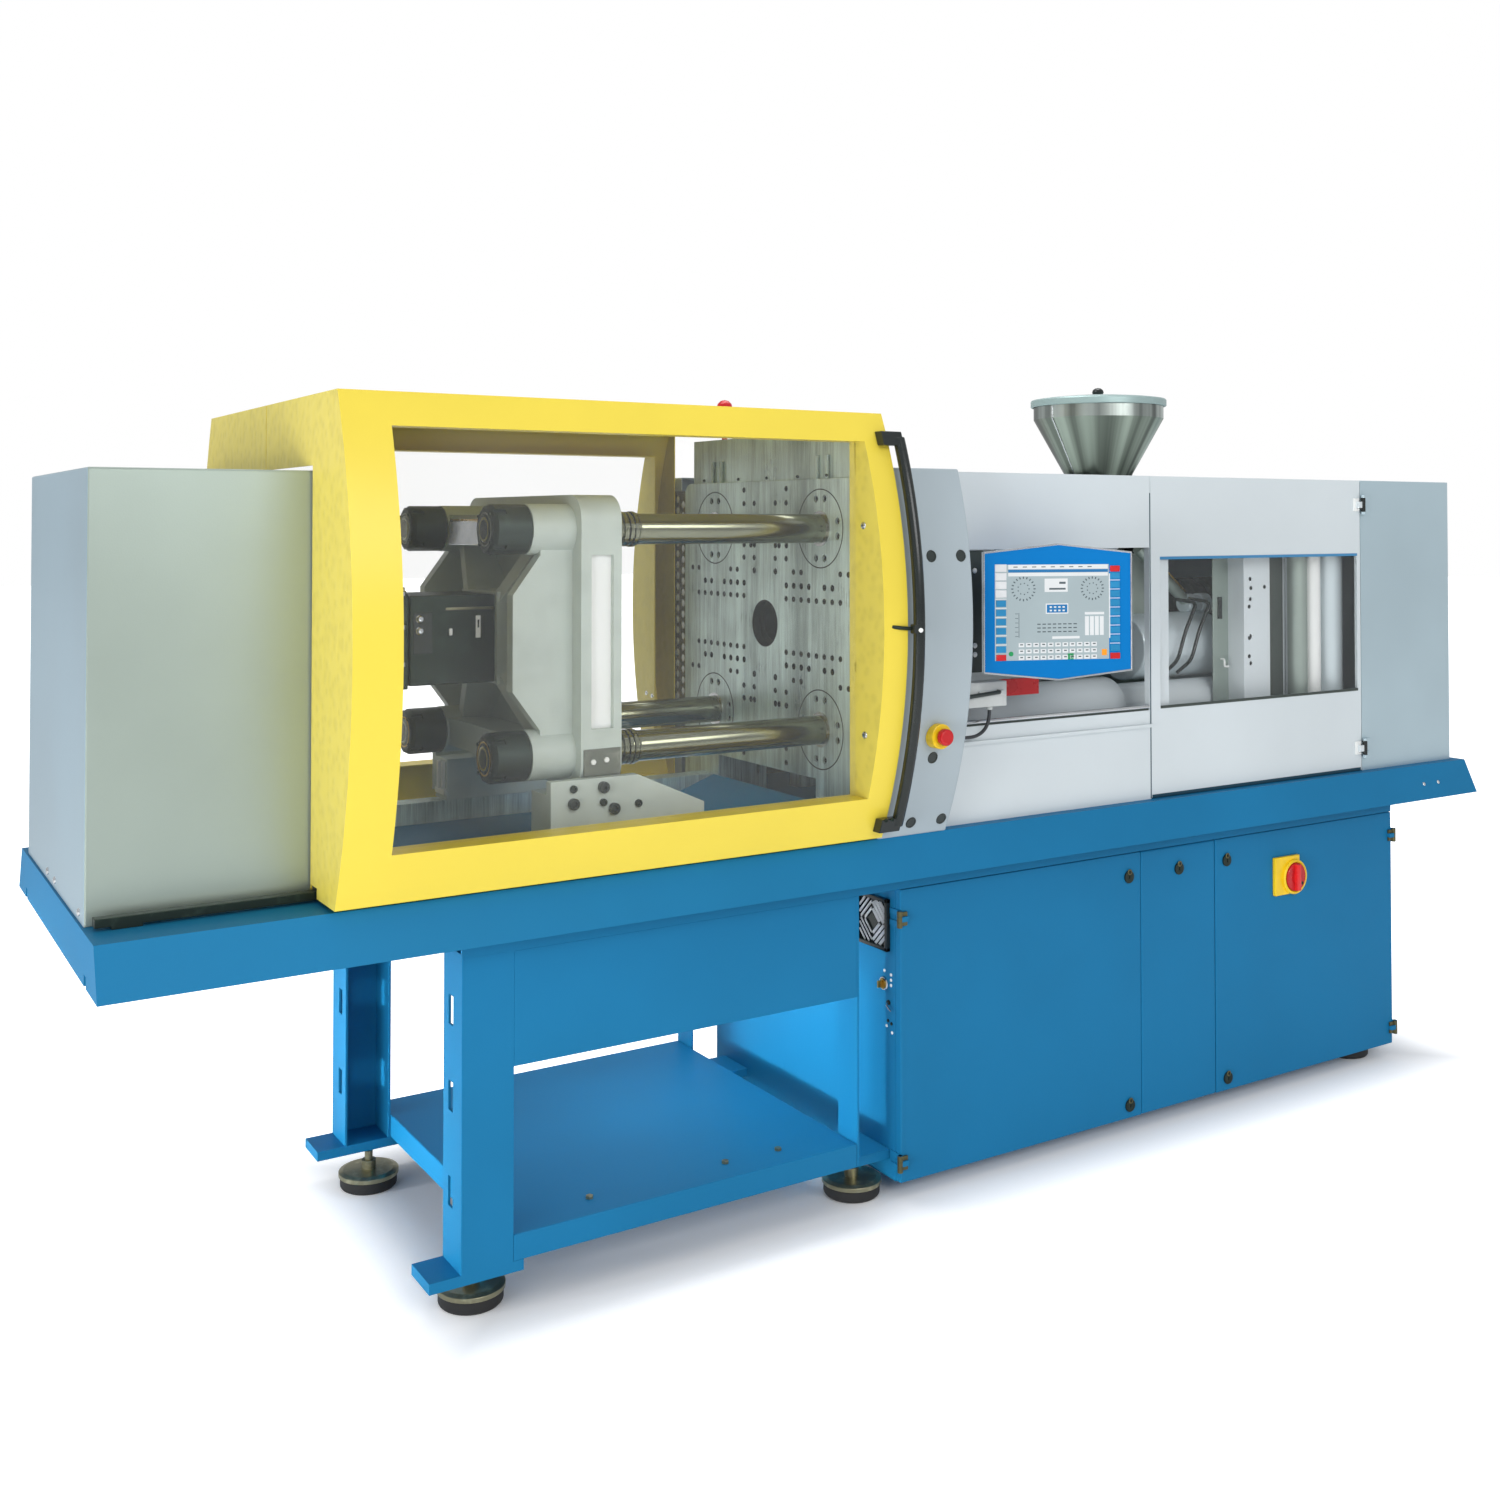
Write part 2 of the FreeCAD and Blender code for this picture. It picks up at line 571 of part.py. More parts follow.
# --- bed and stand -----------------------------------------------------------------------------
def make_bed():
    """Tray with flared aprons, a drop opening under the mould and two box beams below."""
    top_half = (BED_LENGTH / 2, BED_WIDTH / 2)
    low_half = (BED_LENGTH / 2, BED_WIDTH / 2 + APRON_FLARE)
    outer = frustum(low_half, top_half, (APRON_BOTTOM, BED_TOP))
    slope = math.hypot(APRON_FLARE, APRON_DEPTH) / APRON_DEPTH
    inner_low = (low_half[0] - APRON_SHEET, low_half[1] - APRON_SHEET * slope)
    rise = BED_TOP - BED_PLATE - APRON_BOTTOM
    inner_top = (inner_low[0], inner_low[1] - APRON_FLARE * rise / APRON_DEPTH)
    inner = frustum(inner_low, inner_top, (APRON_BOTTOM, BED_TOP - BED_PLATE))
    drop_x = (at(DROP_OPENING_AT), at(DROP_OPENING_AT + DROP_OPENING_LENGTH))
    drop = block(drop_x, (-DROP_OPENING_WIDTH / 2, DROP_OPENING_WIDTH / 2), (APRON_BOTTOM, BED_TOP))
    notch_width = 22.0
    notch_y = BASE_FRONT + BED_BEAM_WIDTH / 2
    notches = [
        block((LEFT, LEFT + APRON_SHEET), (sign * notch_y, sign * (notch_y - notch_width)),
              (APRON_BOTTOM, APRON_BOTTOM + notch_width))
        for sign in (1, -1)
    ]
    tray = cut(outer, inner, drop, *notches)
    beams = []
    beam_x = (at(LEG_AT), at(CABINET_AT + CABINET_LENGTH))
    wall = BED_BEAM_WALL
    for sign in (1, -1):
        y = (sign * BASE_FRONT, sign * (BASE_FRONT + BED_BEAM_WIDTH))
        inner_y = (sign * (BASE_FRONT + wall), sign * (BASE_FRONT + BED_BEAM_WIDTH - wall))
        beam = block(beam_x, y, (BEAM_BOTTOM, BED_TOP - BED_PLATE))
        beams.append(cut(beam, block(beam_x, inner_y, (BEAM_BOTTOM + wall, BED_TOP - BED_PLATE - wall))))
    return fuse(tray, *beams)


def make_chute_sheets():
    """Deflector below the bed at the operator's side, and the sloped sheet in the drop opening."""
    leg_right = at(LEG_AT + LEG_WIDTH)
    deflector = block(
        (leg_right, at(BRACKET_AT)),
        (BASE_FRONT, BASE_FRONT + DEFLECTOR_SHEET),
        (DEFLECTOR_BOTTOM, BEAM_BOTTOM),
    )
    hem = block(
        (leg_right, at(BRACKET_AT)),
        (BASE_FRONT, BASE_FRONT + COVER_FLANGE),
        (DEFLECTOR_BOTTOM, DEFLECTOR_BOTTOM + DEFLECTOR_SHEET),
    )
    right = at(DROP_OPENING_AT + DROP_OPENING_LENGTH)
    half = DROP_OPENING_WIDTH / 2
    rise = 60.0
    run = 190.0
    slope = profile_y(
        [
            (right, BED_TOP + rise),
            (right, BED_TOP + rise - CHUTE_SHEET * 2),
            (right - run, BED_TOP - BED_PLATE),
            (right - run, BED_TOP - BED_PLATE + CHUTE_SHEET * 2),
        ],
        (-half, half),
    )
    return group([fuse(deflector, hem), slope])


def make_legs():
    """Folded sheet legs at the left and upright flanges beside the cabinet, with their foot plates."""
    solids = []
    top = BEAM_BOTTOM
    foot_z = (FOOT_TOP, FOOT_TOP + FOOT_PLATE)
    for sign in (1, -1):
        front = sign * BASE_FRONT
        inner = sign * (BASE_FRONT + LEG_DEPTH)
        x = (at(LEG_AT), at(LEG_AT + LEG_WIDTH))
        leg = block(x, (front, inner), (foot_z[1], top))
        core = block((x[0] + LEG_SHEET, x[1] - LEG_SHEET),
                     (sign * (BASE_FRONT + LEG_SHEET), inner), (foot_z[1], top))
        slots = []
        for height in (260.0, 460.0, 640.0):
            y_mid = sign * (BASE_FRONT + LEG_DEPTH * 0.6)
            slots.append(block((x[0], x[0] + LEG_SHEET),
                               (y_mid - LEG_SLOT_WIDTH / 2, y_mid + LEG_SLOT_WIDTH / 2),
                               (height - LEG_SLOT_HEIGHT / 2, height + LEG_SLOT_HEIGHT / 2)))
        foot = block((x[0] - FOOT_PLATE_OVERHANG, x[1] + FOOT_PLATE_REACH), (front, inner), foot_z)
        solids.append(fuse(cut(leg, core, *slots), foot))
        bracket_x = (at(BRACKET_AT), at(CABINET_AT))
        flange = block((bracket_x[0], bracket_x[0] + LEG_SHEET),
                       (front, sign * (BASE_FRONT + BRACKET_FLANGE)), (foot_z[1], top))
        plate_y = (sign * (BASE_FRONT + BRACKET_SETBACK), sign * (BASE_FRONT + BRACKET_REACH))
        solids.append(fuse(flange, block(bracket_x, plate_y, foot_z)))
    return group(solids)


def make_shelf():
    """Lower shelf: a pan with a stepped lip that runs from the legs to the cabinet."""
    x = (at(LEG_AT + LEG_WIDTH), at(BRACKET_AT))
    half = -BASE_FRONT
    outer = block(x, (-half, half), (SHELF_TOP - SHELF_LIP, SHELF_TOP))
    inner = block((x[0] + SHELF_SHEET, x[1] - SHELF_SHEET), (-half + SHELF_SHEET, half - SHELF_SHEET),
                  (SHELF_TOP - SHELF_LIP, SHELF_TOP - SHELF_SHEET))
    return cut(outer, inner)


def foot_places():
    """Centres (x, y, height under the structure) of the six levelling feet."""
    places = []
    for station in FOOT_STATIONS_AT:
        for sign in (-1, 1):
            places.append((at(station), sign * (-BASE_FRONT - FOOT_INSET), FOOT_TOP))
    for sign in (-1, 1):
        places.append((at(RIGHT_FOOT_AT), sign * (-BASE_FRONT - FOOT_INSET), CABINET_BOTTOM))
    return places


def make_pads():
    """Rubber pads of the levelling feet."""
    solids = []
    for x, y, height in foot_places():
        top = min(PAD_HEIGHT, height)
        edge = top / 5
        solids.append(turned_z([(0, 0), (PAD_RADIUS - edge, 0), (PAD_RADIUS, edge),
                                (PAD_RADIUS, top), (0, top)], x, y))
    return group(solids)


def make_discs():
    """Zinc plated discs and studs of the levelling feet."""
    solids = []
    for x, y, height in foot_places():
        pad = min(PAD_HEIGHT, height)
        if height <= pad + DISC_HEIGHT:
            solids.append(rod_z(x, y, (pad, height), DISC_RADIUS))
            continue
        disc_top = pad + DISC_HEIGHT
        nut_top = disc_top + (height - disc_top) * 0.5
        solids.append(turned_z(
            [
                (0, pad),
                (DISC_RADIUS, pad),
                (DISC_RADIUS, disc_top - 4),
                (DISC_RADIUS - 12, disc_top),
                (STUD_RADIUS * 1.8, disc_top),
                (STUD_RADIUS * 1.8, nut_top),
                (STUD_RADIUS, nut_top),
                (STUD_RADIUS, height),
                (0, height),
            ], x, y))
    return group(solids)


# --- cabinet -----------------------------------------------------------------------------------
DOOR_FRONT = BASE_FRONT
DOOR_BACK = BASE_FRONT + DOOR_DEPTH
SHELL_FRONT = DOOR_BACK + RUNNING_GAP
LEFT_DOOR_X = (at(CABINET_AT) + RUNNING_GAP, at(CABINET_AT + LEFT_DOOR_WIDTH) - SEAM / 2)
MIDDLE_PANEL_X = (at(CABINET_AT + LEFT_DOOR_WIDTH) + SEAM / 2,
                  at(CABINET_AT + LEFT_DOOR_WIDTH + MIDDLE_PANEL_WIDTH) - SEAM / 2)
RIGHT_DOOR_X = (at(CABINET_AT + LEFT_DOOR_WIDTH + MIDDLE_PANEL_WIDTH) + SEAM / 2,
                at(CABINET_AT + CABINET_LENGTH) - RUNNING_GAP)
DOOR_Z = (CABINET_BOTTOM + SEAM, CABINET_TOP - SEAM)
LEFT_LOCK_X = LEFT_DOOR_X[1] - LOCK_EDGE
RIGHT_LOCK_X = RIGHT_DOOR_X[0] + LOCK_EDGE
MIDDLE_LOCK_X = (MIDDLE_PANEL_X[0] + MIDDLE_PANEL_X[1]) / 2
UPPER_LOCK_Z = CABINET_TOP - LOCK_FROM_TOP
LOWER_LOCK_Z = CABINET_BOTTOM + LOCK_FROM_BOTTOM
HINGE_Y = DOOR_FRONT - HINGE_STANDOFF
LEFT_HINGE_X = at(CABINET_AT) - KNUCKLE_RADIUS
RIGHT_HINGE_X = at(CABINET_AT + CABINET_LENGTH) + KNUCKLE_RADIUS
SWITCH_X = RIGHT_DOOR_X[0] + SWITCH_FROM_DOOR_EDGE


def cabinet_hinges():
    """Hinge pairs of the two doors: {(name, level): (fixed, moving)}."""
    pairs = {}
    heights = {"upper": CABINET_TOP - HINGE_FROM_TOP, "lower": CABINET_BOTTOM + HINGE_FROM_BOTTOM}
    for level, height in heights.items():
        for name, x, side in (("left", LEFT_HINGE_X, 1), ("right", RIGHT_HINGE_X, -1)):
            pairs[name, level] = cabinet_hinge(x, height, side)
    return pairs


def cabinet_hinge(x, z, side):
    """Hinge beside the cabinet: the fixed leaf lies on the side wall, the moving one on the door."""
    half = HINGE_HEIGHT / 2
    third = HINGE_HEIGHT / 3
    pin = rod_z(x, HINGE_Y, (z - half, z + half), HINGE_PIN_RADIUS)
    fixed = [pin]
    wall = x + side * KNUCKLE_RADIUS
    for low in (z - half, z + half - third):
        span = (low, low + third)
        fixed.append(rod_z(x, HINGE_Y, span, KNUCKLE_RADIUS))
        leaf_y = (HINGE_Y, SHELL_FRONT + 3 * KNUCKLE_RADIUS)
        fixed.append(block((wall, wall - side * HINGE_LEAF), leaf_y, span))
    span = (z - half + third + RUNNING_GAP, z + half - third - RUNNING_GAP)
    moving = fuse(
        rod_z(x, HINGE_Y, span, KNUCKLE_RADIUS),
        block((x, x + side * 4 * KNUCKLE_RADIUS), (HINGE_Y - KNUCKLE_RADIUS, DOOR_FRONT), span),
    )
    moving = cut(moving, rod_z(x, HINGE_Y, (z - half, z + half), HINGE_PIN_RADIUS + PIN_GAP))
    return fixed, moving


def make_cabinet_shell(hinges):
    """Cabinet body behind the doors: walls, floor, roof, back and two mullions."""
    x = (at(CABINET_AT), at(CABINET_AT + CABINET_LENGTH))
    z = (CABINET_BOTTOM, CABINET_TOP)
    outer = block(x, (SHELL_FRONT, -BASE_FRONT), z)
    inner = block((x[0] + CABINET_SHEET, x[1] - CABINET_SHEET),
                  (SHELL_FRONT, -BASE_FRONT - CABINET_SHEET),
                  (z[0] + CABINET_SHEET, z[1] - CABINET_SHEET))
    shell = cut(outer, inner)
    extras = []
    for seam in (LEFT_DOOR_X[1] + SEAM / 2, RIGHT_DOOR_X[0] - SEAM / 2):
        extras.append(block((seam - MULLION_WIDTH / 2, seam + MULLION_WIDTH / 2),
                            (SHELL_FRONT, SHELL_FRONT + CABINET_SHEET), z))
    for fixed, _ in hinges.values():
        extras.extend(fixed)
    key_x = (x[0], x[0] + CABINET_SHEET)
    key_bore = rod_x(key_x, BASE_FRONT + KEY_SWITCH_INSET, KEY_SWITCH_HEIGHT,
                     KEY_SWITCH_RADIUS / 2 + RUNNING_GAP)
    return cut(fuse(shell, *extras), key_bore)


def lock_bores(places):
    """Holes for lock cores at (x, z) places through a door's front sheet."""
    return [rod_y(x, (DOOR_FRONT, DOOR_FRONT + DOOR_SHEET), z, LOCK_CORE_RADIUS + PIN_GAP)
            for x, z in places]


def make_door(x, lock_places, hinge_solids, extra_bores=()):
    """Cabinet door: folded pan with its hinge leaves and lock holes."""
    panel = pan(x, (DOOR_FRONT, DOOR_BACK), DOOR_Z, DOOR_SHEET)
    panel = cut(panel, *lock_bores(lock_places), *extra_bores)
    return fuse(panel, *hinge_solids) if hinge_solids else panel


def make_lock(x, z):
    """Quarter-turn lock: ring, core through the door and the cam behind it, cam upright."""
    ring = rod_y(x, (DOOR_FRONT - LOCK_RING_HEIGHT, DOOR_FRONT - RUNNING_GAP), z, LOCK_RING_RADIUS)
    cam_front = SHELL_FRONT + CABINET_SHEET + 2 * RUNNING_GAP
    core = rod_y(x, (DOOR_FRONT - RUNNING_GAP, cam_front), z, LOCK_CORE_RADIUS)
    slot = block((x - 1.5, x + 1.5), (DOOR_FRONT - LOCK_RING_HEIGHT, DOOR_FRONT - LOCK_RING_HEIGHT / 2),
                 (z - LOCK_CORE_RADIUS * 0.6, z + LOCK_CORE_RADIUS * 0.6))
    cam = block((x - CAM_WIDTH / 2, x + CAM_WIDTH / 2), (cam_front, cam_front + CAM_SHEET),
                (z - CAM_WIDTH / 2, z + CAM_REACH))
    return fuse(cut(ring, slot), core, cam)


def make_switch_knob():
    """Main switch: round base with a cross grip, and its shaft through the door."""
    face = DOOR_FRONT - RUNNING_GAP
    base = rod_y(SWITCH_X, (face - SWITCH_DEPTH * 0.35, face), SWITCH_HEIGHT, SWITCH_RADIUS)
    hub = rod_y(SWITCH_X, (face - SWITCH_DEPTH * 0.7, face), SWITCH_HEIGHT, SWITCH_RADIUS * 0.62)
    grip = block((SWITCH_X - 9, SWITCH_X + 9), (face - SWITCH_DEPTH, face),
                 (SWITCH_HEIGHT - SWITCH_RADIUS * 0.9, SWITCH_HEIGHT + SWITCH_RADIUS * 0.9))
    shaft = rod_y(SWITCH_X, (face, DOOR_FRONT + DOOR_DEPTH / 2), SWITCH_HEIGHT, LOCK_CORE_RADIUS)
    return fuse(base, hub, grip, shaft)


def make_key_switch():
    """Key switch on the cabinet's left wall: collar, barrel through the wall and key bow."""
    wall = at(CABINET_AT)
    y = BASE_FRONT + KEY_SWITCH_INSET
    z = KEY_SWITCH_HEIGHT
    collar = rod_x((wall - KEY_SWITCH_DEPTH / 3, wall - RUNNING_GAP), y, z, KEY_SWITCH_RADIUS)
    barrel = rod_x((wall - KEY_SWITCH_DEPTH / 3, wall + 3 * CABINET_SHEET), y, z, KEY_SWITCH_RADIUS / 2)
    bow = block((wall - KEY_SWITCH_DEPTH, wall - KEY_SWITCH_DEPTH / 3), (y - 1.5, y + 1.5), (z - 9, z + 9))
    return fuse(collar, barrel, bow)


def make_fan_grille():
    """Louvred grille on the cabinet's left wall."""
    wall = at(CABINET_AT)
    half = GRILLE_SIZE / 2
    y = BASE_FRONT + GRILLE_INSET
    rim = 10.0
    frame = cut(
        block((wall - GRILLE_DEPTH, wall), (y - half, y + half),
              (GRILLE_HEIGHT - half, GRILLE_HEIGHT + half)),
        block((wall - GRILLE_DEPTH, wall), (y - half + rim, y + half - rim),
              (GRILLE_HEIGHT - half + rim, GRILLE_HEIGHT + half - rim)),
    )
    pitch = (GRILLE_SIZE - 2 * rim) / GRILLE_SLATS
    slats = []
    for index in range(GRILLE_SLATS):
        low = GRILLE_HEIGHT - half + rim + index * pitch
        slats.append(profile_y([(wall, low), (wall - GRILLE_DEPTH * 0.8, low + pitch * 0.5),
                                (wall - GRILLE_DEPTH * 0.8, low + pitch * 0.75), (wall, low + pitch * 0.3)],
                               (y - half + rim, y + half - rim)))
    return fuse(frame, *slats)


def make_power_pack():
    """Oil tank with its filler, and the pump motor lying on top of it."""
    x0 = at(CABINET_AT + CABINET_LENGTH) - 180 - TANK_LENGTH
    floor = CABINET_BOTTOM + CABINET_SHEET
    tank = block((x0, x0 + TANK_LENGTH), (-TANK_WIDTH / 2, TANK_WIDTH / 2), (floor, floor + TANK_HEIGHT))
    filler = rod_z(x0 + 60, -TANK_WIDTH / 2 + 60, (floor + TANK_HEIGHT, floor + TANK_HEIGHT + 50), 28)
    foot_top = floor + TANK_HEIGHT + 25
    axis = foot_top + MOTOR_RADIUS
    motor_x = (x0 + 130, x0 + 130 + MOTOR_LENGTH)
    foot = block((motor_x[0] + 40, motor_x[1] - 60), (-MOTOR_RADIUS * 0.8, MOTOR_RADIUS * 0.8),
                 (floor + TANK_HEIGHT, axis))
    motor = rod_x(motor_x, 0, axis, MOTOR_RADIUS)
    pump = rod_x((motor_x[1], motor_x[1] + 90), 0, axis, MOTOR_RADIUS * 0.55)
    return group([fuse(tank, filler), fuse(motor, foot, pump)])


# --- left cover, rails and gates ---------------------------------------------------------------
def make_left_cover():
    """Folded cover over the clamp end, open below and towards the platens."""
    x = (at(LEFT_COVER_AT), at(LEFT_COVER_AT + LEFT_COVER_LENGTH))
    y = (-LEFT_COVER_FRONT, LEFT_COVER_REAR)
    z = (BED_TOP, LEFT_COVER_TOP)
    outer = block(x, y, z)
    inner = block((x[0] + COVER_SHEET, x[1]), (y[0] + COVER_SHEET, y[1] - COVER_SHEET),
                  (z[0], z[1] - COVER_SHEET))
    shell = cut(outer, inner)
    flanges = cut(
        block((x[1] - COVER_SHEET, x[1]), y, z),
        block((x[1] - COVER_SHEET, x[1]), (y[0] + COVER_FLANGE, y[1] - COVER_FLANGE),
              (z[0], z[1] - COVER_FLANGE)),
    )
    return fuse(shell, flanges)


def rail_span(side):
    """Low and high Y of a gate's guide rail, beside the left cover's foot."""
    face = LEFT_COVER_FRONT if side == FRONT else LEFT_COVER_REAR
    inner = side * (face + RAIL_OFFSET)
    outer = side * (face + RAIL_OFFSET + RAIL_WIDTH)
    return min(inner, outer), max(inner, outer)


def make_gate_rails():
    """Guide rails of the two gates on their feet."""
    solids = []
    rail_z = (BED_TOP + RAIL_FOOT, BED_TOP + RAIL_FOOT + RAIL_HEIGHT)
    right = at(GATE_AT + GATE_LENGTH)
    for side in (FRONT, REAR):
        y = rail_span(side)
        rail = block((at(RAIL_AT), right), y, rail_z)
        feet = [block((x, x + 56), y, (BED_TOP, rail_z[0])) for x in (at(RAIL_AT) + 30, at(GATE_AT) + 200,
                                                                    right - 90)]
        solids.append(fuse(rail, *feet))
    return group(solids)


def gate_window():
    """X and Z spans of a gate's window."""
    x = (at(GATE_AT + WINDOW_LEFT), at(GATE_AT + GATE_LENGTH - WINDOW_RIGHT))
    z = (GATE_BOTTOM + WINDOW_BOTTOM, GATE_TOP - WINDOW_TOP)
    return x, z


def make_gate_frame(side):
    """Bulged window frame with its roof half, side wall and guide shoes."""
    x = (at(GATE_AT), at(GATE_AT + GATE_LENGTH))
    z = (GATE_BOTTOM, GATE_TOP)
    back = GATE_HALF_WIDTH - GATE_BACK
    window_x, window_z = gate_window()
    sheet = GATE_SHEET
    far = GATE_HALF_WIDTH + 2 * GATE_BULGE
    outer = bulged(side, 0, back, x, z)
    inner = bulged(side, sheet, back, (x[0] + sheet, x[1] - sheet), (z[0] + sheet, z[1] - sheet))
    jamb = block((window_x[0] - sheet, window_x[1] + sheet), (side * back, side * far),
                 (window_z[0] - sheet, window_z[1] + sheet))
    window = block(window_x, (side * back, side * far), window_z)
    frame = cut(outer, cut(inner, jamb), window)
    roof = block(x, (side * GATE_SEAM / 2, side * GATE_HALF_WIDTH), (z[1] - sheet, z[1]))
    cover_face = LEFT_COVER_FRONT if side == FRONT else LEFT_COVER_REAR
    wall_inner = cover_face + GATE_CUTOUT_GAP
    strip = block((x[0], x[0] + sheet), (side * wall_inner, side * (GATE_HALF_WIDTH - 1)), z)
    over_cover = block((x[0], x[0] + sheet), (side * GATE_SEAM / 2, side * GATE_HALF_WIDTH),
                       (LEFT_COVER_TOP + GATE_CUTOUT_GAP, z[1]))
    rail_y = rail_span(side)
    rail_top = BED_TOP + RAIL_FOOT + RAIL_HEIGHT
    rail_notch = block((x[0], x[0] + sheet), (rail_y[0] - SHOE_WALL, rail_y[1] + SHOE_WALL),
                       (z[0], rail_top + SHOE_WALL))
    shoe_y = (rail_y[0] - SHOE_WALL, rail_y[1] + SHOE_WALL)
    shoe_outer = shoe_y[0] if side == FRONT else shoe_y[1]
    sill = block(x, (shoe_outer, side * (back + 1)), (z[0], z[0] + sheet))
    solids = [frame, roof, cut(strip, rail_notch), over_cover, sill]
    for start in (x[0] + SHOE_INSET, x[1] - SHOE_INSET - SHOE_LENGTH):
        shoe = block((start, start + SHOE_LENGTH), shoe_y, (z[0], rail_top + RUNNING_GAP + SHOE_WALL))
        channel = block((start, start + SHOE_LENGTH),
                        (rail_y[0] - RUNNING_GAP, rail_y[1] + RUNNING_GAP), (z[0], rail_top + RUNNING_GAP))
        solids.append(cut(shoe, channel))
    return fuse(*solids)


def make_gate_pane(side):
    """Clear pane set in the window, behind the bulge."""
    window_x, window_z = gate_window()
    outer = side * (GATE_HALF_WIDTH - PANE_INSET)
    return block(window_x, (outer, outer - side * PANE), window_z)


def make_gate_handle(side):
    """Curved grip tube on two brackets that follow the gate's face."""
    x = at(HANDLE_AT)
    centre = Vector(x, side * (GATE_HALF_WIDTH + GATE_BULGE - GATE_RADIUS), GATE_MIDDLE)
    tube_radius = GATE_RADIUS + HANDLE_STANDOFF
    low_angle = math.degrees(math.asin((HANDLE_BOTTOM - GATE_MIDDLE) / tube_radius))
    high_angle = math.degrees(math.asin((HANDLE_TOP - GATE_MIDDLE) / tube_radius))
    section = Part.Circle(Vector(0, side * tube_radius, 0), Vector(0, 0, side), HANDLE_RADIUS)
    face = Part.Face(Part.Wire(section.toShape()))
    face.rotate(Vector(0, 0, 0), Vector(1, 0, 0), side * low_angle)
    tube = face.revolve(Vector(0, 0, 0), Vector(1, 0, 0), side * (high_angle - low_angle))
    tube.translate(centre)
    brackets = []
    for low in (HANDLE_BOTTOM - HANDLE_FOOT_HEIGHT / 2, HANDLE_TOP - HANDLE_FOOT_HEIGHT / 2):
        span = (low, low + HANDLE_FOOT_HEIGHT)
        bracket_x = (x - HANDLE_FOOT_WIDTH, x + HANDLE_RADIUS / 2)
        solid = bulged(side, -HANDLE_STANDOFF - HANDLE_RADIUS / 2, GATE_HALF_WIDTH, bracket_x,
                       (GATE_BOTTOM, GATE_TOP))
        gate = bulged(side, 0, GATE_HALF_WIDTH - GATE_BACK, bracket_x, (GATE_BOTTOM, GATE_TOP))
        keep = block(bracket_x, (0, side * (GATE_HALF_WIDTH + 3 * GATE_BULGE)), span)
        brackets.append(solid.common(keep).cut(gate))
    return fuse(tube, *brackets)


# --- clamp: what stands still ------------------------------------------------------------------
def tie_bar_centres():
    """(y, z) of the four tie bars."""
    return [(y, AXIS_HEIGHT + z) for y in (-TIE_BAR_HALF_WIDTH, TIE_BAR_HALF_WIDTH)
            for z in (-TIE_BAR_HALF_HEIGHT, TIE_BAR_HALF_HEIGHT)]


def make_platen_rails():
    """Two hardened ways that carry the moving platen's shoes."""
    return group([
        block((at(PLATEN_RAIL_AT), PLATEN_FACE),
              (side * (PLATEN_RAIL_OFFSET - PLATEN_RAIL_WIDTH / 2),
               side * (PLATEN_RAIL_OFFSET + PLATEN_RAIL_WIDTH / 2)),
              (BED_TOP, BED_TOP + PLATEN_RAIL_HEIGHT))
        for side in (FRONT, REAR)
    ])


def mould_hole_places():
    """(y, z) of the mould fixing holes, from the axis: rows beside the centre and the corner columns."""
    places = []
    for row in (-3, -1.5, 1.5, 3):
        columns = (3, 4, 5, 6, 8, 9) if abs(row) < 2 else (2, 3)
        for column in columns:
            for sign in (-1, 1):
                places.append((sign * column * MOULD_HOLE_PITCH, row * 2 * MOULD_HOLE_PITCH))
    places += [(sign * 1.5 * MOULD_HOLE_PITCH, row * MOULD_HOLE_PITCH)
               for sign in (-1, 1) for row in (-8, -6, -4, 4, 6, 8)]
    return places


def mould_bolt_rectangle():
    """(y, z) of the four holes of the standard mould fixing rectangle."""
    return [(y * MOULD_BOLTS_X / 2, AXIS_HEIGHT + z * MOULD_BOLTS_Z / 2) for y in (-1, 1) for z in (-1, 1)]


def make_fixed_platen():
    """Fixed platen on two feet, with tie bar seats, centring bore and mould fixing holes."""
    half = FIXED_PLATEN_WIDTH / 2
    x = (PLATEN_FACE, PLATEN_BACK)
    plate = rounded_plate(x, half, (FIXED_PLATEN_BOTTOM, FIXED_PLATEN_TOP), PLATEN_CORNER)
    foot_z = (BED_TOP, FIXED_PLATEN_BOTTOM + 2 * PLATEN_CORNER)
    feet = [block(x, (side * half, side * (half - PLATEN_FOOT_WIDTH)), foot_z) for side in (FRONT, REAR)]
    tools = [
        rod_x((x[0], x[0] + CENTRING_DEPTH), 0, AXIS_HEIGHT, CENTRING_RADIUS),
        turned_x([(x[0], 0), (x[0], NOZZLE_HOLE_RADIUS), (x[0] + CENTRING_DEPTH * 2, NOZZLE_HOLE_RADIUS),
                  (x[1], NOZZLE_HOLE_RADIUS * 2), (x[1], 0)], 0, AXIS_HEIGHT),
    ]
    for y, z in tie_bar_centres():
        tools.append(rod_x((x[0], x[0] + FLANGE_THICKNESS), y, z, FLANGE_RADIUS + FLANGE_FIT))
        tools.append(rod_x(x, y, z, TIE_BAR_RADIUS + 10 * RUNNING_GAP))
    for y, z in mould_hole_places():
        tools.append(rod_x((x[0], x[0] + MOULD_HOLE_DEPTH), y, AXIS_HEIGHT + z, MOULD_HOLE_RADIUS))
    return cut(fuse(plate, *feet), *tools)


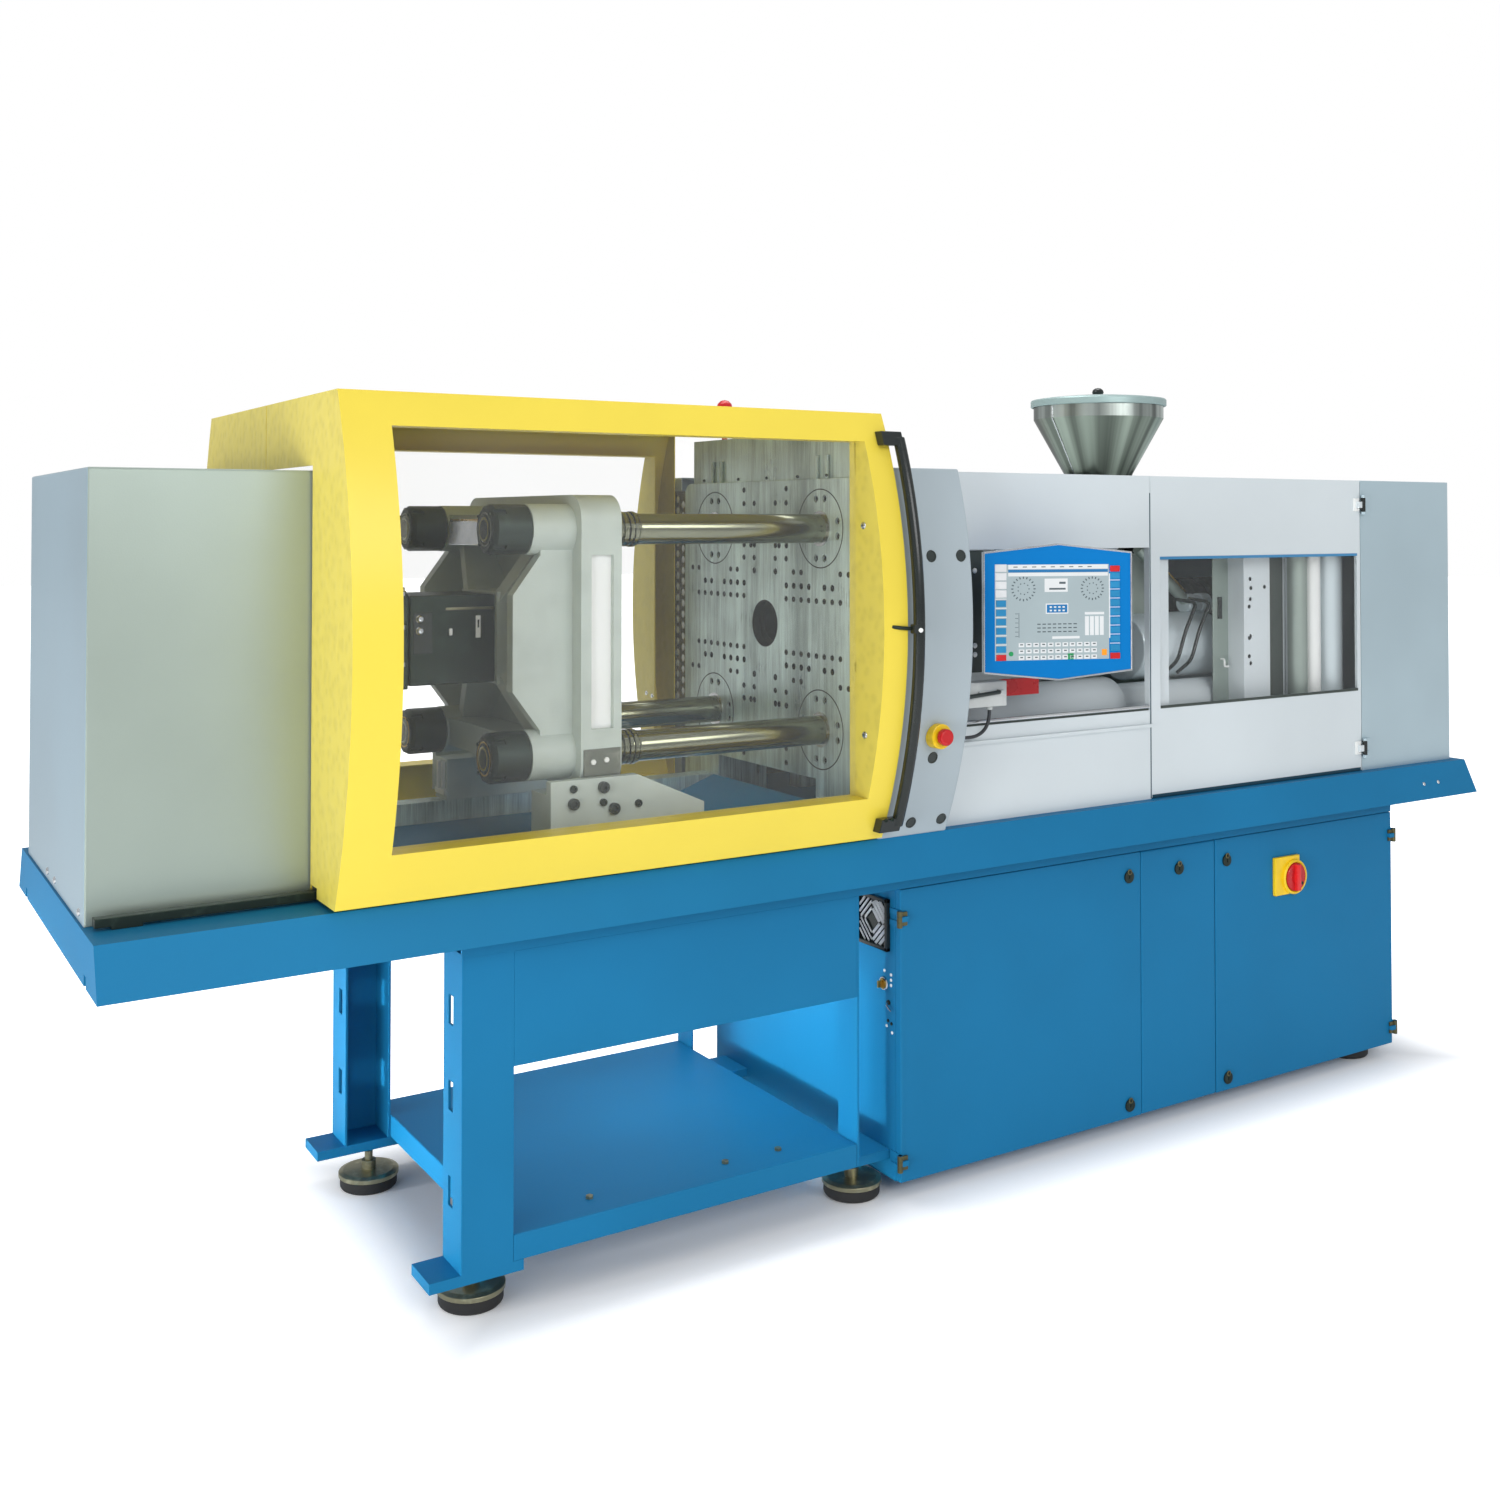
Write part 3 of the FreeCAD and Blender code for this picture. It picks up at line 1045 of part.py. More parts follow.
def make_flanges():
    """Tie bar guide flanges let into the fixed platen, each with eight bolt recesses in pairs."""
    solids = []
    x = (PLATEN_FACE, PLATEN_FACE + FLANGE_THICKNESS)
    for y, z in tie_bar_centres():
        tools = [rod_x(x, y, z, TIE_BAR_RADIUS + RUNNING_GAP)]
        for quarter in range(4):
            for offset in (-14.0, 14.0):
                angle = math.radians(90 * quarter + offset)
                tools.append(rod_x((x[0], x[0] + FLANGE_THICKNESS / 2),
                                   y + FLANGE_BOLT_CIRCLE * math.cos(angle),
                                   z + FLANGE_BOLT_CIRCLE * math.sin(angle), FLANGE_BOLT_RADIUS))
        solids.append(cut(rod_x(x, y, z, FLANGE_RADIUS), *tools))
    return group(solids)


def make_clamp_cylinders():
    """Four long cylinders behind the fixed platen that pull the tie bars, each with its oil tail."""
    solids = []
    x0 = PLATEN_BACK
    x1 = x0 + CYLINDER_LENGTH
    x2 = x1 + CYLINDER_TAIL_LENGTH
    for y, z in tie_bar_centres():
        body = fuse(rod_x((x0, x1), y, z, CYLINDER_RADIUS), rod_x((x1, x2), y, z, CYLINDER_TAIL_RADIUS))
        solids.append(cut(
            body,
            rod_x((x0, x1 - CYLINDER_CAP), y, z, CYLINDER_BORE),
            rod_x((x1, x2 - CYLINDER_TAIL_WALL), y, z, CYLINDER_TAIL_RADIUS - CYLINDER_TAIL_WALL),
        ))
    return group(solids)


def make_platen_guards():
    """Hood sheet on the fixed platen, its locating pins, and the perforated strip at its rear edge."""
    x = (PLATEN_FACE + HOOD_SETBACK, PLATEN_FACE + HOOD_SETBACK + HOOD_SHEET)
    half = HOOD_WIDTH / 2
    hood = fuse(
        block(x, (-half, half), (FIXED_PLATEN_TOP, HOOD_TOP)),
        block((x[0], x[0] + HOOD_HEM), (-half, half), (HOOD_TOP - HOOD_SHEET, HOOD_TOP)),
        block((x[0], x[0] + HOOD_FLANGE), (-half, half), (FIXED_PLATEN_TOP, FIXED_PLATEN_TOP + HOOD_SHEET)),
    )
    pins = []
    for y in (-TIE_BAR_HALF_WIDTH, TIE_BAR_HALF_WIDTH):
        for offset in (-LOCATING_PIN_SPACING / 2, LOCATING_PIN_SPACING / 2):
            pins.append(rod_z(PLATEN_FACE + HOOD_SETBACK / 2, y + offset,
                              (FIXED_PLATEN_TOP, FIXED_PLATEN_TOP + LOCATING_PIN_HEIGHT),
                              LOCATING_PIN_RADIUS - RUNNING_GAP))
    edge = FIXED_PLATEN_WIDTH / 2
    strip = block((PLATEN_FACE, PLATEN_FACE + HOOD_SHEET), (edge, edge + STRIP_WIDTH),
                  (STRIP_BOTTOM, STRIP_TOP))
    holes = []
    rows = int((STRIP_TOP - STRIP_BOTTOM - 2 * STRIP_PITCH) / STRIP_PITCH) + 1
    first = (STRIP_TOP + STRIP_BOTTOM) / 2 - (rows - 1) * STRIP_PITCH / 2
    for row in range(rows):
        for column, shift in ((-0.25, -0.25), (0.25, 0.25)):
            holes.append(rod_x((PLATEN_FACE, PLATEN_FACE + HOOD_SHEET), edge + STRIP_WIDTH * (0.5 + column),
                               first + (row + shift) * STRIP_PITCH, STRIP_HOLE_RADIUS))
    return group([hood, cut(strip, *holes)] + pins)


# --- clamp: what moves -------------------------------------------------------------------------
def make_moving_platen():
    """Moving platen casting: slab, four bosses, side webs, cross ribs and the ejector hub."""
    half = MOVING_WIDTH / 2
    slab = rounded_plate((MOVING_BACK, MOVING_FACE), half, (MOVING_BOTTOM, MOVING_TOP), MOVING_CORNER)
    solids = [slab]
    for y, z in tie_bar_centres():
        solids.append(rod_x((BOSS_END, MOVING_BACK), y, z, BOSS_RADIUS))
        solids.append(diagonal_rib(y, z))
    low = AXIS_HEIGHT - TIE_BAR_HALF_HEIGHT
    high = AXIS_HEIGHT + TIE_BAR_HALF_HEIGHT
    web_x = BOSS_END + BOSS_LENGTH * 0.25
    swell_x = BOSS_END - SIDE_WEB_SWELL
    outline = [
        (MOVING_BACK, low), (web_x, low), (web_x, low + BOSS_RADIUS),
        (swell_x, AXIS_HEIGHT - HUB_HALF_HEIGHT), (swell_x, AXIS_HEIGHT + HUB_HALF_HEIGHT),
        (web_x, high - BOSS_RADIUS), (web_x, high), (MOVING_BACK, high),
    ]
    for side in (FRONT, REAR):
        y_outer = side * (TIE_BAR_HALF_WIDTH + BOSS_RADIUS * 0.6)
        solids.append(profile_y(outline, sorted((y_outer, y_outer - side * RIB))))
    for z in (low, high):
        solids.append(block((web_x - BOSS_LENGTH * 0.2, MOVING_BACK),
                            (-TIE_BAR_HALF_WIDTH, TIE_BAR_HALF_WIDTH), (z - RIB, z + RIB)))
    solids.append(block((BOSS_END, MOVING_BACK), (-HUB_HALF_WIDTH, HUB_HALF_WIDTH),
                        (AXIS_HEIGHT - HUB_HALF_HEIGHT, AXIS_HEIGHT + HUB_HALF_HEIGHT)))
    casting = fuse(*solids)
    recess_depth = 14.0
    tools = []
    for side in (FRONT, REAR):
        tools.append(block((MOVING_BACK + 0.25 * MOVING_SLAB, MOVING_BACK + 0.8 * MOVING_SLAB),
                           (side * (half - recess_depth), side * (half + 1)),
                           (low + BOSS_RADIUS, high - BOSS_RADIUS)))
    for y, z in tie_bar_centres():
        tools.append(rod_x((BOSS_END, MOVING_FACE), y, z, TIE_BAR_NECK + FLANGE_FIT))
    tools.append(rod_x((BOSS_END, MOVING_FACE), 0, AXIS_HEIGHT, EJECTOR_ROD_RADIUS + RUNNING_GAP))
    for y, z in mould_bolt_rectangle():
        tools.append(rod_x((MOVING_FACE - MOULD_HOLE_DEPTH, MOVING_FACE), y, z, MOULD_HOLE_RADIUS))
    return cut(casting, *tools)


def diagonal_rib(y, z):
    """Sloped rib from a boss to the hub, deep at the hub and shallow at the boss."""
    side = math.copysign(1, y)
    up = math.copysign(1, z - AXIS_HEIGHT)
    start = (side * HUB_HALF_WIDTH * 0.7, AXIS_HEIGHT + up * HUB_HALF_HEIGHT * 0.7)
    end = (y - side * BOSS_RADIUS * 0.3, z - up * BOSS_RADIUS * 0.3)
    length = math.hypot(end[0] - start[0], end[1] - start[1])
    across = Vector(0, -(end[1] - start[1]), end[0] - start[0]) * (RIB * 0.7 / length)
    def outline(point, depth):
        centre = Vector(0, point[0], point[1])
        corners = [
            Vector(MOVING_BACK, 0, 0) + centre - across * 1.2,
            Vector(MOVING_BACK - depth, 0, 0) + centre - across * 0.7,
            Vector(MOVING_BACK - depth, 0, 0) + centre + across * 0.7,
            Vector(MOVING_BACK, 0, 0) + centre + across * 1.2,
        ]
        return Part.makePolygon(corners + corners[:1])
    return Part.makeLoft([outline(start, BOSS_LENGTH), outline(end, BOSS_LENGTH * 0.55)], True, True)


def make_tie_bars():
    """Four tie bars with their neck, collar and the piston inside its cylinder."""
    piston = at(PISTON_AT)
    solids = []
    for y, z in tie_bar_centres():
        solids.append(turned_x(
            [
                (BOSS_END - NUT_LENGTH - 6, 0),
                (BOSS_END - NUT_LENGTH - 6, TIE_BAR_NECK - 4),
                (BOSS_END - NUT_LENGTH - 2, TIE_BAR_NECK),
                (MOVING_FACE + 22, TIE_BAR_NECK),
                (MOVING_FACE + 22, TIE_BAR_RADIUS - 1.5),
                (MOVING_FACE + 36, TIE_BAR_RADIUS - 1.5),
                (MOVING_FACE + 36, TIE_BAR_NECK),
                (MOVING_FACE + 44, TIE_BAR_NECK),
                (MOVING_FACE + 60, TIE_BAR_RADIUS),
                (piston, TIE_BAR_RADIUS),
                (piston, CYLINDER_BORE - RUNNING_GAP),
                (piston + PISTON_LENGTH, CYLINDER_BORE - RUNNING_GAP),
                (piston + PISTON_LENGTH, 0),
            ], y, z))
    return group(solids)


def make_tie_bar_nuts():
    """Round slotted nuts on the tie bars' ends."""
    solids = []
    x = (BOSS_END - NUT_LENGTH, BOSS_END)
    for y, z in tie_bar_centres():
        nut = turned_x([(x[0], 0), (x[0], NUT_RADIUS - 8), (x[0] + 8, NUT_RADIUS), (x[1] - 2, NUT_RADIUS),
                        (x[1], NUT_RADIUS - 2), (x[1], 0)], y, z)
        tools = [rod_x(x, y, z, TIE_BAR_NECK + FLANGE_FIT)]
        for quarter in range(4):
            angle = 45 + 90 * quarter
            slot = block((x[0], x[0] + NUT_LENGTH * 0.35), (y - NUT_SLOT / 2, y + NUT_SLOT / 2),
                         (z + NUT_RADIUS - 7, z + NUT_RADIUS + 1))
            slot.rotate(Vector(0, y, z), Vector(1, 0, 0), angle)
            tools.append(slot)
        solids.append(cut(nut, *tools))
    return group(solids)


def make_ejector_housing():
    """Ejector cylinder body behind the moving platen, with its yoke plate."""
    x = (BOSS_END - EJECTOR_HOUSING_LENGTH, BOSS_END)
    half_y = HUB_HALF_WIDTH * 0.9
    half_z = HUB_HALF_HEIGHT * 0.95
    body = block((x[0] + 30, x[1]), (-half_y, half_y), (AXIS_HEIGHT - half_z, AXIS_HEIGHT + half_z))
    yoke = block((x[0], x[0] + 22), (-HUB_HALF_WIDTH, HUB_HALF_WIDTH),
                 (AXIS_HEIGHT - HUB_HALF_HEIGHT, AXIS_HEIGHT + HUB_HALF_HEIGHT))
    rods = [rod_x((x[0], x[0] + 30), sy * half_y * 0.8, AXIS_HEIGHT + sz * half_z * 0.8, 10)
            for sy in (-1, 1) for sz in (-1, 1)]
    bore = rod_x((x[0] + 50, x[1]), 0, AXIS_HEIGHT, EJECTOR_BORE)
    return cut(fuse(body, yoke, *rods), bore)


def make_ejector_rod():
    """Ejector piston and rod, its end just inside the mould face."""
    x0 = BOSS_END - EJECTOR_HOUSING_LENGTH + 55
    return turned_x(
        [
            (x0, 0), (x0, EJECTOR_BORE - RUNNING_GAP), (x0 + 30, EJECTOR_BORE - RUNNING_GAP),
            (x0 + 30, EJECTOR_ROD_RADIUS), (MOVING_FACE - 4, EJECTOR_ROD_RADIUS),
            (MOVING_FACE - 2, EJECTOR_ROD_RADIUS - 2), (MOVING_FACE - 2, 0),
        ], 0, AXIS_HEIGHT)


def make_slide_shoes():
    """Shoes under the moving platen, each with its side plate and long sloped nose."""
    half = MOVING_WIDTH / 2
    rail_top = BED_TOP + PLATEN_RAIL_HEIGHT
    back = MOVING_BACK - 85
    solids = []
    for side in (FRONT, REAR):
        foot = block((back, MOVING_FACE), (side * (half - 80), side * half),
                     (rail_top + RUNNING_GAP, MOVING_BOTTOM))
        plate = profile_y(
            [
                (back, SHOE_PLATE_BOTTOM), (back, SHOE_PLATE_TOP), (MOVING_FACE + 30, SHOE_PLATE_TOP),
                (MOVING_FACE + SHOE_NOSE, SHOE_PLATE_BOTTOM + 42),
                (MOVING_FACE + SHOE_NOSE, SHOE_PLATE_BOTTOM),
            ],
            sorted((side * half, side * (half + SHOE_PLATE))),
        )
        nose = block((MOVING_FACE, MOVING_FACE + SHOE_NOSE * 0.6), (side * (half - 80), side * half),
                     (rail_top + RUNNING_GAP, rail_top + 40))
        solids.append(fuse(foot, plate, nose))
    return group(solids)


# --- side columns, beacon and emergency stop ---------------------------------------------------
def make_columns():
    """Curved sheet columns either side of the fixed platen, closed at their ends."""
    solids = []
    x = (at(COLUMN_AT), at(COLUMN_AT + COLUMN_LENGTH))
    z = (BED_TOP, COLUMN_TOP)
    sheet = COLUMN_SHEET
    for side in (FRONT, REAR):
        outer = bulged(side, COLUMN_INSET, COVERS_HALF_WIDTH, x, z)
        inner = bulged(side, COLUMN_INSET + sheet, COVERS_HALF_WIDTH,
                       (x[0] + sheet, x[1] - sheet), (z[0] + sheet, z[1] - sheet))
        column = cut(outer, inner)
        if side == FRONT:
            column = cut(column, rod_y(at(STOP_AT), (-far_reach(), -COVERS_HALF_WIDTH), STOP_HEIGHT,
                                       STOP_STEM_RADIUS + RUNNING_GAP))
        solids.append(column)
    return group(solids)


def far_reach():
    """A half width that is outside every curved face."""
    return GATE_HALF_WIDTH + 3 * GATE_BULGE


def stop_face():
    """Model Y of the column's face at the emergency stop."""
    return curve_y(FRONT, COLUMN_INSET, STOP_HEIGHT)


def make_stop_base():
    """Yellow round housing of the emergency stop, seated on the curved column."""
    x = at(STOP_AT)
    front = stop_face() - STOP_BASE_DEPTH
    body = rod_y(x, (front, stop_face() + STOP_BASE_RADIUS), STOP_HEIGHT, STOP_BASE_RADIUS)
    column = bulged(FRONT, COLUMN_INSET, COVERS_HALF_WIDTH, (at(COLUMN_AT), at(COLUMN_AT + COLUMN_LENGTH)),
                    (BED_TOP, COLUMN_TOP))
    bore = rod_y(x, (front, stop_face() + STOP_BASE_RADIUS), STOP_HEIGHT, STOP_STEM_RADIUS + RUNNING_GAP)
    return cut(body, column, bore)


def make_stop_button():
    """Red mushroom button and its stem."""
    x = at(STOP_AT)
    seat = stop_face() - STOP_BASE_DEPTH - STOP_TRAVEL - RUNNING_GAP
    cap = rod_y(x, (seat - 16, seat), STOP_HEIGHT, STOP_BUTTON_RADIUS)
    cap = cap.makeFillet(5, [edge for edge in cap.Edges if abs(edge.BoundBox.YMax - (seat - 16)) < 0.01])
    stem = rod_y(x, (seat, stop_face() + STOP_TRAVEL), STOP_HEIGHT, STOP_STEM_RADIUS)
    return fuse(cap, stem)


def make_beacon():
    """Signal lamp on its post, standing on the fixed platen."""
    x = at(BEACON_AT)
    return turned_z(
        [
            (0, FIXED_PLATEN_TOP), (18, FIXED_PLATEN_TOP),
            (18, FIXED_PLATEN_TOP + 6), (8, FIXED_PLATEN_TOP + 6),
            (8, BEACON_TOP - BEACON_DOME - 14), (BEACON_RADIUS + 3, BEACON_TOP - BEACON_DOME - 14),
            (BEACON_RADIUS + 3, BEACON_TOP - BEACON_DOME), (BEACON_RADIUS, BEACON_TOP - BEACON_DOME),
            (BEACON_RADIUS, BEACON_TOP - BEACON_RADIUS),
            (BEACON_RADIUS * 0.87, BEACON_TOP - BEACON_RADIUS * 0.5),
            (BEACON_RADIUS * 0.5, BEACON_TOP - BEACON_RADIUS * 0.13), (0, BEACON_TOP),
        ], x, BEACON_SIDE)


# --- injection end covers ----------------------------------------------------------------------
COVER_FRONT = -COVERS_HALF_WIDTH
COVER_BACK = COVER_FRONT + COVER_DEPTH
COVERS_Z = (BED_TOP, COVERS_TOP)
FRONT_COVER_X = (at(COVERS_AT), at(WINDOW_DOOR_AT) - SEAM / 2)
WINDOW_DOOR_X = (at(WINDOW_DOOR_AT) + SEAM / 2, at(END_COVER_AT) - SEAM / 2)
END_COVER_X = (at(END_COVER_AT) + SEAM / 2, at(COVERS_AT + COVERS_LENGTH))
COVER_HINGE = (at(END_COVER_AT), COVER_FRONT - HINGE_STANDOFF - KNUCKLE_RADIUS)


def make_front_cover():
    """Left front cover with its large opening and the rail strip below it."""
    panel = pan(FRONT_COVER_X, (COVER_FRONT, COVER_BACK), COVERS_Z, COVER_SHEET)
    opening = block((at(FRONT_OPENING_AT), at(FRONT_OPENING_END)),
                    (COVER_FRONT - 1, COVER_BACK + 1), (FRONT_OPENING_BOTTOM, FRONT_OPENING_TOP))
    rail = block((FRONT_COVER_X[0], FRONT_COVER_X[1]), (COVER_FRONT - COVER_RAIL, COVER_FRONT),
                 (FRONT_OPENING_BOTTOM - COVER_RAIL, FRONT_OPENING_BOTTOM))
    return fuse(cut(panel, opening), rail)


def cover_hinges():
    """Fixed and moving solids of the window door's two hinges."""
    fixed, moving = [], []
    x, y = COVER_HINGE
    third = COVER_HINGE_HEIGHT / 3
    for z in (LOWER_HINGE_HEIGHT, UPPER_HINGE_HEIGHT):
        half = COVER_HINGE_HEIGHT / 2
        fixed.append(rod_z(x, y, (z - half, z + half), HINGE_PIN_RADIUS))
        for low in (z - half, z + half - third):
            fixed.append(rod_z(x, y, (low, low + third), KNUCKLE_RADIUS))
            fixed.append(block((x, x + 24), (y - HINGE_LEAF / 2, y + HINGE_LEAF / 2), (low, low + third)))
            fixed.append(block((x + 12, x + 24), (y - HINGE_LEAF / 2, COVER_FRONT), (low, low + third)))
        span = (z - half + third + RUNNING_GAP, z + half - third - RUNNING_GAP)
        leaf = fuse(
            rod_z(x, y, span, KNUCKLE_RADIUS),
            block((x - 24, x), (y - HINGE_LEAF / 2, y + HINGE_LEAF / 2), span),
            block((x - 24, x - 12), (y - HINGE_LEAF / 2, COVER_FRONT), span),
        )
        moving.append(cut(leaf, rod_z(x, y, (z - half, z + half), HINGE_PIN_RADIUS + PIN_GAP)))
    return fixed, moving


def make_window_door():
    """Hinged front door with its window opening."""
    z = (BED_TOP + SEAM, COVERS_TOP)
    panel = pan(WINDOW_DOOR_X, (COVER_FRONT, COVER_BACK), z, COVER_SHEET)
    opening = block((at(DOOR_WINDOW_AT), at(DOOR_WINDOW_END)),
                    (COVER_FRONT - 1, COVER_BACK + 1), (DOOR_WINDOW_BOTTOM, DOOR_WINDOW_TOP))
    return fuse(cut(panel, opening), *cover_hinges()[1])


def make_door_pane():
    """Clear pane behind the window door's opening."""
    lap = DOOR_PANE_LAP
    back = COVER_FRONT + COVER_SHEET
    return block((at(DOOR_WINDOW_AT) - lap, at(DOOR_WINDOW_END) + lap),
                 (back, back + DOOR_PANE), (DOOR_WINDOW_BOTTOM - lap, DOOR_WINDOW_TOP + lap))


def make_end_cover():
    """Folded cover round the injection end, with its hinge halves, end pull and knobs."""
    x = END_COVER_X
    outer = block(x, (COVER_FRONT, COVERS_HALF_WIDTH), COVERS_Z)
    inner = block((x[0], x[1] - COVER_SHEET), (COVER_FRONT + COVER_SHEET, COVERS_HALF_WIDTH - COVER_SHEET),
                  (COVERS_Z[0], COVERS_Z[1] - COVER_SHEET))
    shell = cut(outer, inner)
    extras = list(cover_hinges()[0])
    for z in (LOWER_HINGE_HEIGHT - 15, UPPER_HINGE_HEIGHT + 28):
        extras.append(rod_x((x[1], x[1] + KNOB_LENGTH), -COVERS_HALF_WIDTH + 30, z, KNOB_RADIUS))
    grip = rod_y(x[1] + PULL_GRIP_RADIUS * 3, (-PULL_RADIUS, PULL_RADIUS), PULL_HEIGHT, PULL_GRIP_RADIUS)
    post_x = (x[1], x[1] + PULL_GRIP_RADIUS * 3)
    posts = [rod_x(post_x, sign * PULL_RADIUS * 0.8, PULL_HEIGHT, PULL_GRIP_RADIUS * 0.8)
             for sign in (-1, 1)]
    return fuse(shell, *extras, grip, *posts)


def hopper_slot():
    """X span and half width of the slot that lets the hopper travel."""
    fall = (HOPPER_CYLINDER_BOTTOM - COVERS_TOP) / (HOPPER_CYLINDER_BOTTOM - HOPPER_THROAT_TOP)
    radius = HOPPER_RADIUS - fall * (HOPPER_RADIUS - HOPPER_THROAT_RADIUS)
    reach = radius + HOPPER_SLOT_GAP
    return (at(HOPPER_AT) - CARRIAGE_FORWARD - reach, at(HOPPER_AT) + CARRIAGE_BACK + reach), reach


def make_rear_cover():
    """Rear and top cover in one folded sheet, with the hopper slot."""
    x = (at(COVERS_AT), at(END_COVER_AT) - SEAM / 2)
    rear = block(x, (COVERS_HALF_WIDTH - COVER_SHEET, COVERS_HALF_WIDTH), COVERS_Z)
    top = block(x, (COVER_BACK + RUNNING_GAP, COVERS_HALF_WIDTH), (COVERS_TOP - COVER_SHEET, COVERS_TOP))
    left = block((x[0], x[0] + COVER_SHEET),
                 (COVERS_HALF_WIDTH - 3 * COVER_FLANGE, COVERS_HALF_WIDTH), COVERS_Z)
    slot_x, reach = hopper_slot()
    slot = block(slot_x, (-reach, reach), (COVERS_TOP - 2 * COVER_SHEET, COVERS_TOP + COVER_SHEET))
    return cut(fuse(rear, top, left), slot)


def make_inner_posts():
    """Post with fixing holes, its dark back sheet and three upright pipes seen through the window."""
    y = (-POST_BACK, -POST_BACK + POST_DEPTH)
    x = (at(POST_AT), at(POST_AT + POST_WIDTH))
    z = (BED_TOP, COVERS_TOP - COVER_SHEET)
    post = cut(block(x, y, z), block((x[0] + POST_SHEET, x[1] - POST_SHEET), (y[0] + POST_SHEET, y[1]), z))
    middle = (x[0] + x[1]) / 2
    holes = [rod_y(middle - POST_WIDTH * 0.25, (y[0], y[0] + POST_SHEET), height, 6)
             for height in (AXIS_HEIGHT + rise for rise in POST_HOLE_RISES)]
    sheet = block((x[0] - BACK_SHEET_LEFT, x[1] + BACK_SHEET_RIGHT), (y[1], y[1] + POST_SHEET), z)
    solids = [fuse(cut(post, *holes), sheet)]
    for station, radius in zip(PIPE_AT, PIPE_RADII):
        solids.append(rod_z(at(station), y[0] + radius, z, radius))
    return group(solids)


# --- control panel, connector box and cable ----------------------------------------------------
def panel_outline(inset, y):
    """Six-sided outline of the control panel about its centre, pointed at top and bottom."""
    half = PANEL_WIDTH / 2 - inset
    side = PANEL_SIDE_HEIGHT / 2 - inset
    apex = PANEL_APEX_HEIGHT / 2 - inset
    points = [(-half, -side), (0, -apex), (half, -side), (half, side), (0, apex), (-half, side)]
    vectors = [Vector(x, y, PANEL_CENTRE_HEIGHT + z) for x, z in points]
    return Part.makePolygon(vectors + vectors[:1])


def pivot():
    """(x, y) of the control panel's swivel axis."""
    return at(PANEL_PIVOT_AT), -PANEL_PIVOT_FRONT


def make_control_panel():
    """Face plate and tapered housing with two lugs, swivelled on its pivot."""
    front = -PANEL_FACE_REACH
    plate_back = front + PANEL_FACE_DEPTH
    housing_back = plate_back + PANEL_HOUSING_DEPTH
    plate = Part.Face(panel_outline(0, front)).extrude(Vector(0, PANEL_FACE_DEPTH, 0))
    housing = Part.makeLoft([panel_outline(PANEL_HOUSING_MARGIN, plate_back),
                             panel_outline(2 * PANEL_HOUSING_MARGIN, housing_back)], True, True)
    lugs = []
    boss_low = PANEL_CENTRE_HEIGHT - PIVOT_BOSS_HEIGHT / 2
    boss_high = PANEL_CENTRE_HEIGHT + PIVOT_BOSS_HEIGHT / 2
    for low in (boss_low - RUNNING_GAP - PIVOT_LUG, boss_high + RUNNING_GAP):
        span = (low, low + PIVOT_LUG)
        lug = fuse(
            rod_z(0, 0, span, PIVOT_BOSS_RADIUS),
            block((-PIVOT_BOSS_RADIUS, PIVOT_BOSS_RADIUS), (housing_back, 0), span),
        )
        lugs.append(cut(lug, rod_z(0, 0, span, PIVOT_PIN_RADIUS + PIN_GAP)))
    panel = fuse(plate, housing, *lugs)
    panel.rotate(Vector(0, 0, 0), Vector(0, 0, 1), PANEL_TURN)
    panel.translate(Vector(pivot()[0], pivot()[1], 0))
    return panel


def make_panel_arm():
    """Hanger behind the front cover's top band, arm through the opening, pivot boss and pin."""
    x, y = pivot()
    hanger_y = COVER_FRONT + COVER_SHEET
    hanger_top = COVERS_TOP - 2 * COVER_SHEET
    arm_z = (PANEL_CENTRE_HEIGHT - ARM_WIDTH / 2, PANEL_CENTRE_HEIGHT + ARM_WIDTH / 2)
    hanger = block((x - ARM_HANGER_WIDTH / 2, x + ARM_HANGER_WIDTH / 2), (hanger_y, hanger_y + ARM_HANGER),
                   (arm_z[0], hanger_top))
    arm = block((x - ARM_WIDTH / 4, x + ARM_WIDTH / 4), (y, hanger_y + ARM_HANGER), arm_z)
    boss_z = (PANEL_CENTRE_HEIGHT - PIVOT_BOSS_HEIGHT / 2, PANEL_CENTRE_HEIGHT + PIVOT_BOSS_HEIGHT / 2)
    boss = rod_z(x, y, boss_z, PIVOT_BOSS_RADIUS)
    pin = rod_z(x, y, (boss_z[0] - PIVOT_LUG - 4, boss_z[1] + PIVOT_LUG + 4), PIVOT_PIN_RADIUS)
    return fuse(hanger, arm, boss, pin)


def make_connector_box():
    """Small box on the front cover with a latch on its lid."""
    x = (at(BOX_AT), at(BOX_AT + BOX_LENGTH))
    z = (BOX_BOTTOM, BOX_BOTTOM + BOX_HEIGHT)
    y = (COVER_FRONT - BOX_DEPTH, COVER_FRONT)
    body = block(x, y, z)
    latch = block((x[0] + BOX_LENGTH * 0.45, x[1] - 14), (y[0] - 9, y[0]),
                  (z[0] + BOX_HEIGHT * 0.45, z[0] + BOX_HEIGHT * 0.65))
    mouth = gland_mouth()
    gland = rod_z(mouth.x, mouth.y, (mouth.z, z[0]), CABLE_RADIUS * 1.9)
    return fuse(body, latch, gland)


def gland_mouth():
    """Point where the cable leaves the gland under the connector box."""
    return Vector(at(BOX_AT) + GLAND_INSET, COVER_FRONT - GLAND_DEPTH, BOX_BOTTOM - GLAND_LENGTH)


def cable_points():
    """Route of the cable from the gland to the column's right wall, which it meets squarely."""
    mouth = gland_mouth()
    points = [mouth] + [mouth + Vector(*step) for step in CABLE_ROUTE]
    return points + [Vector(at(COLUMN_AT + COLUMN_LENGTH), points[-1].y, points[-1].z)]


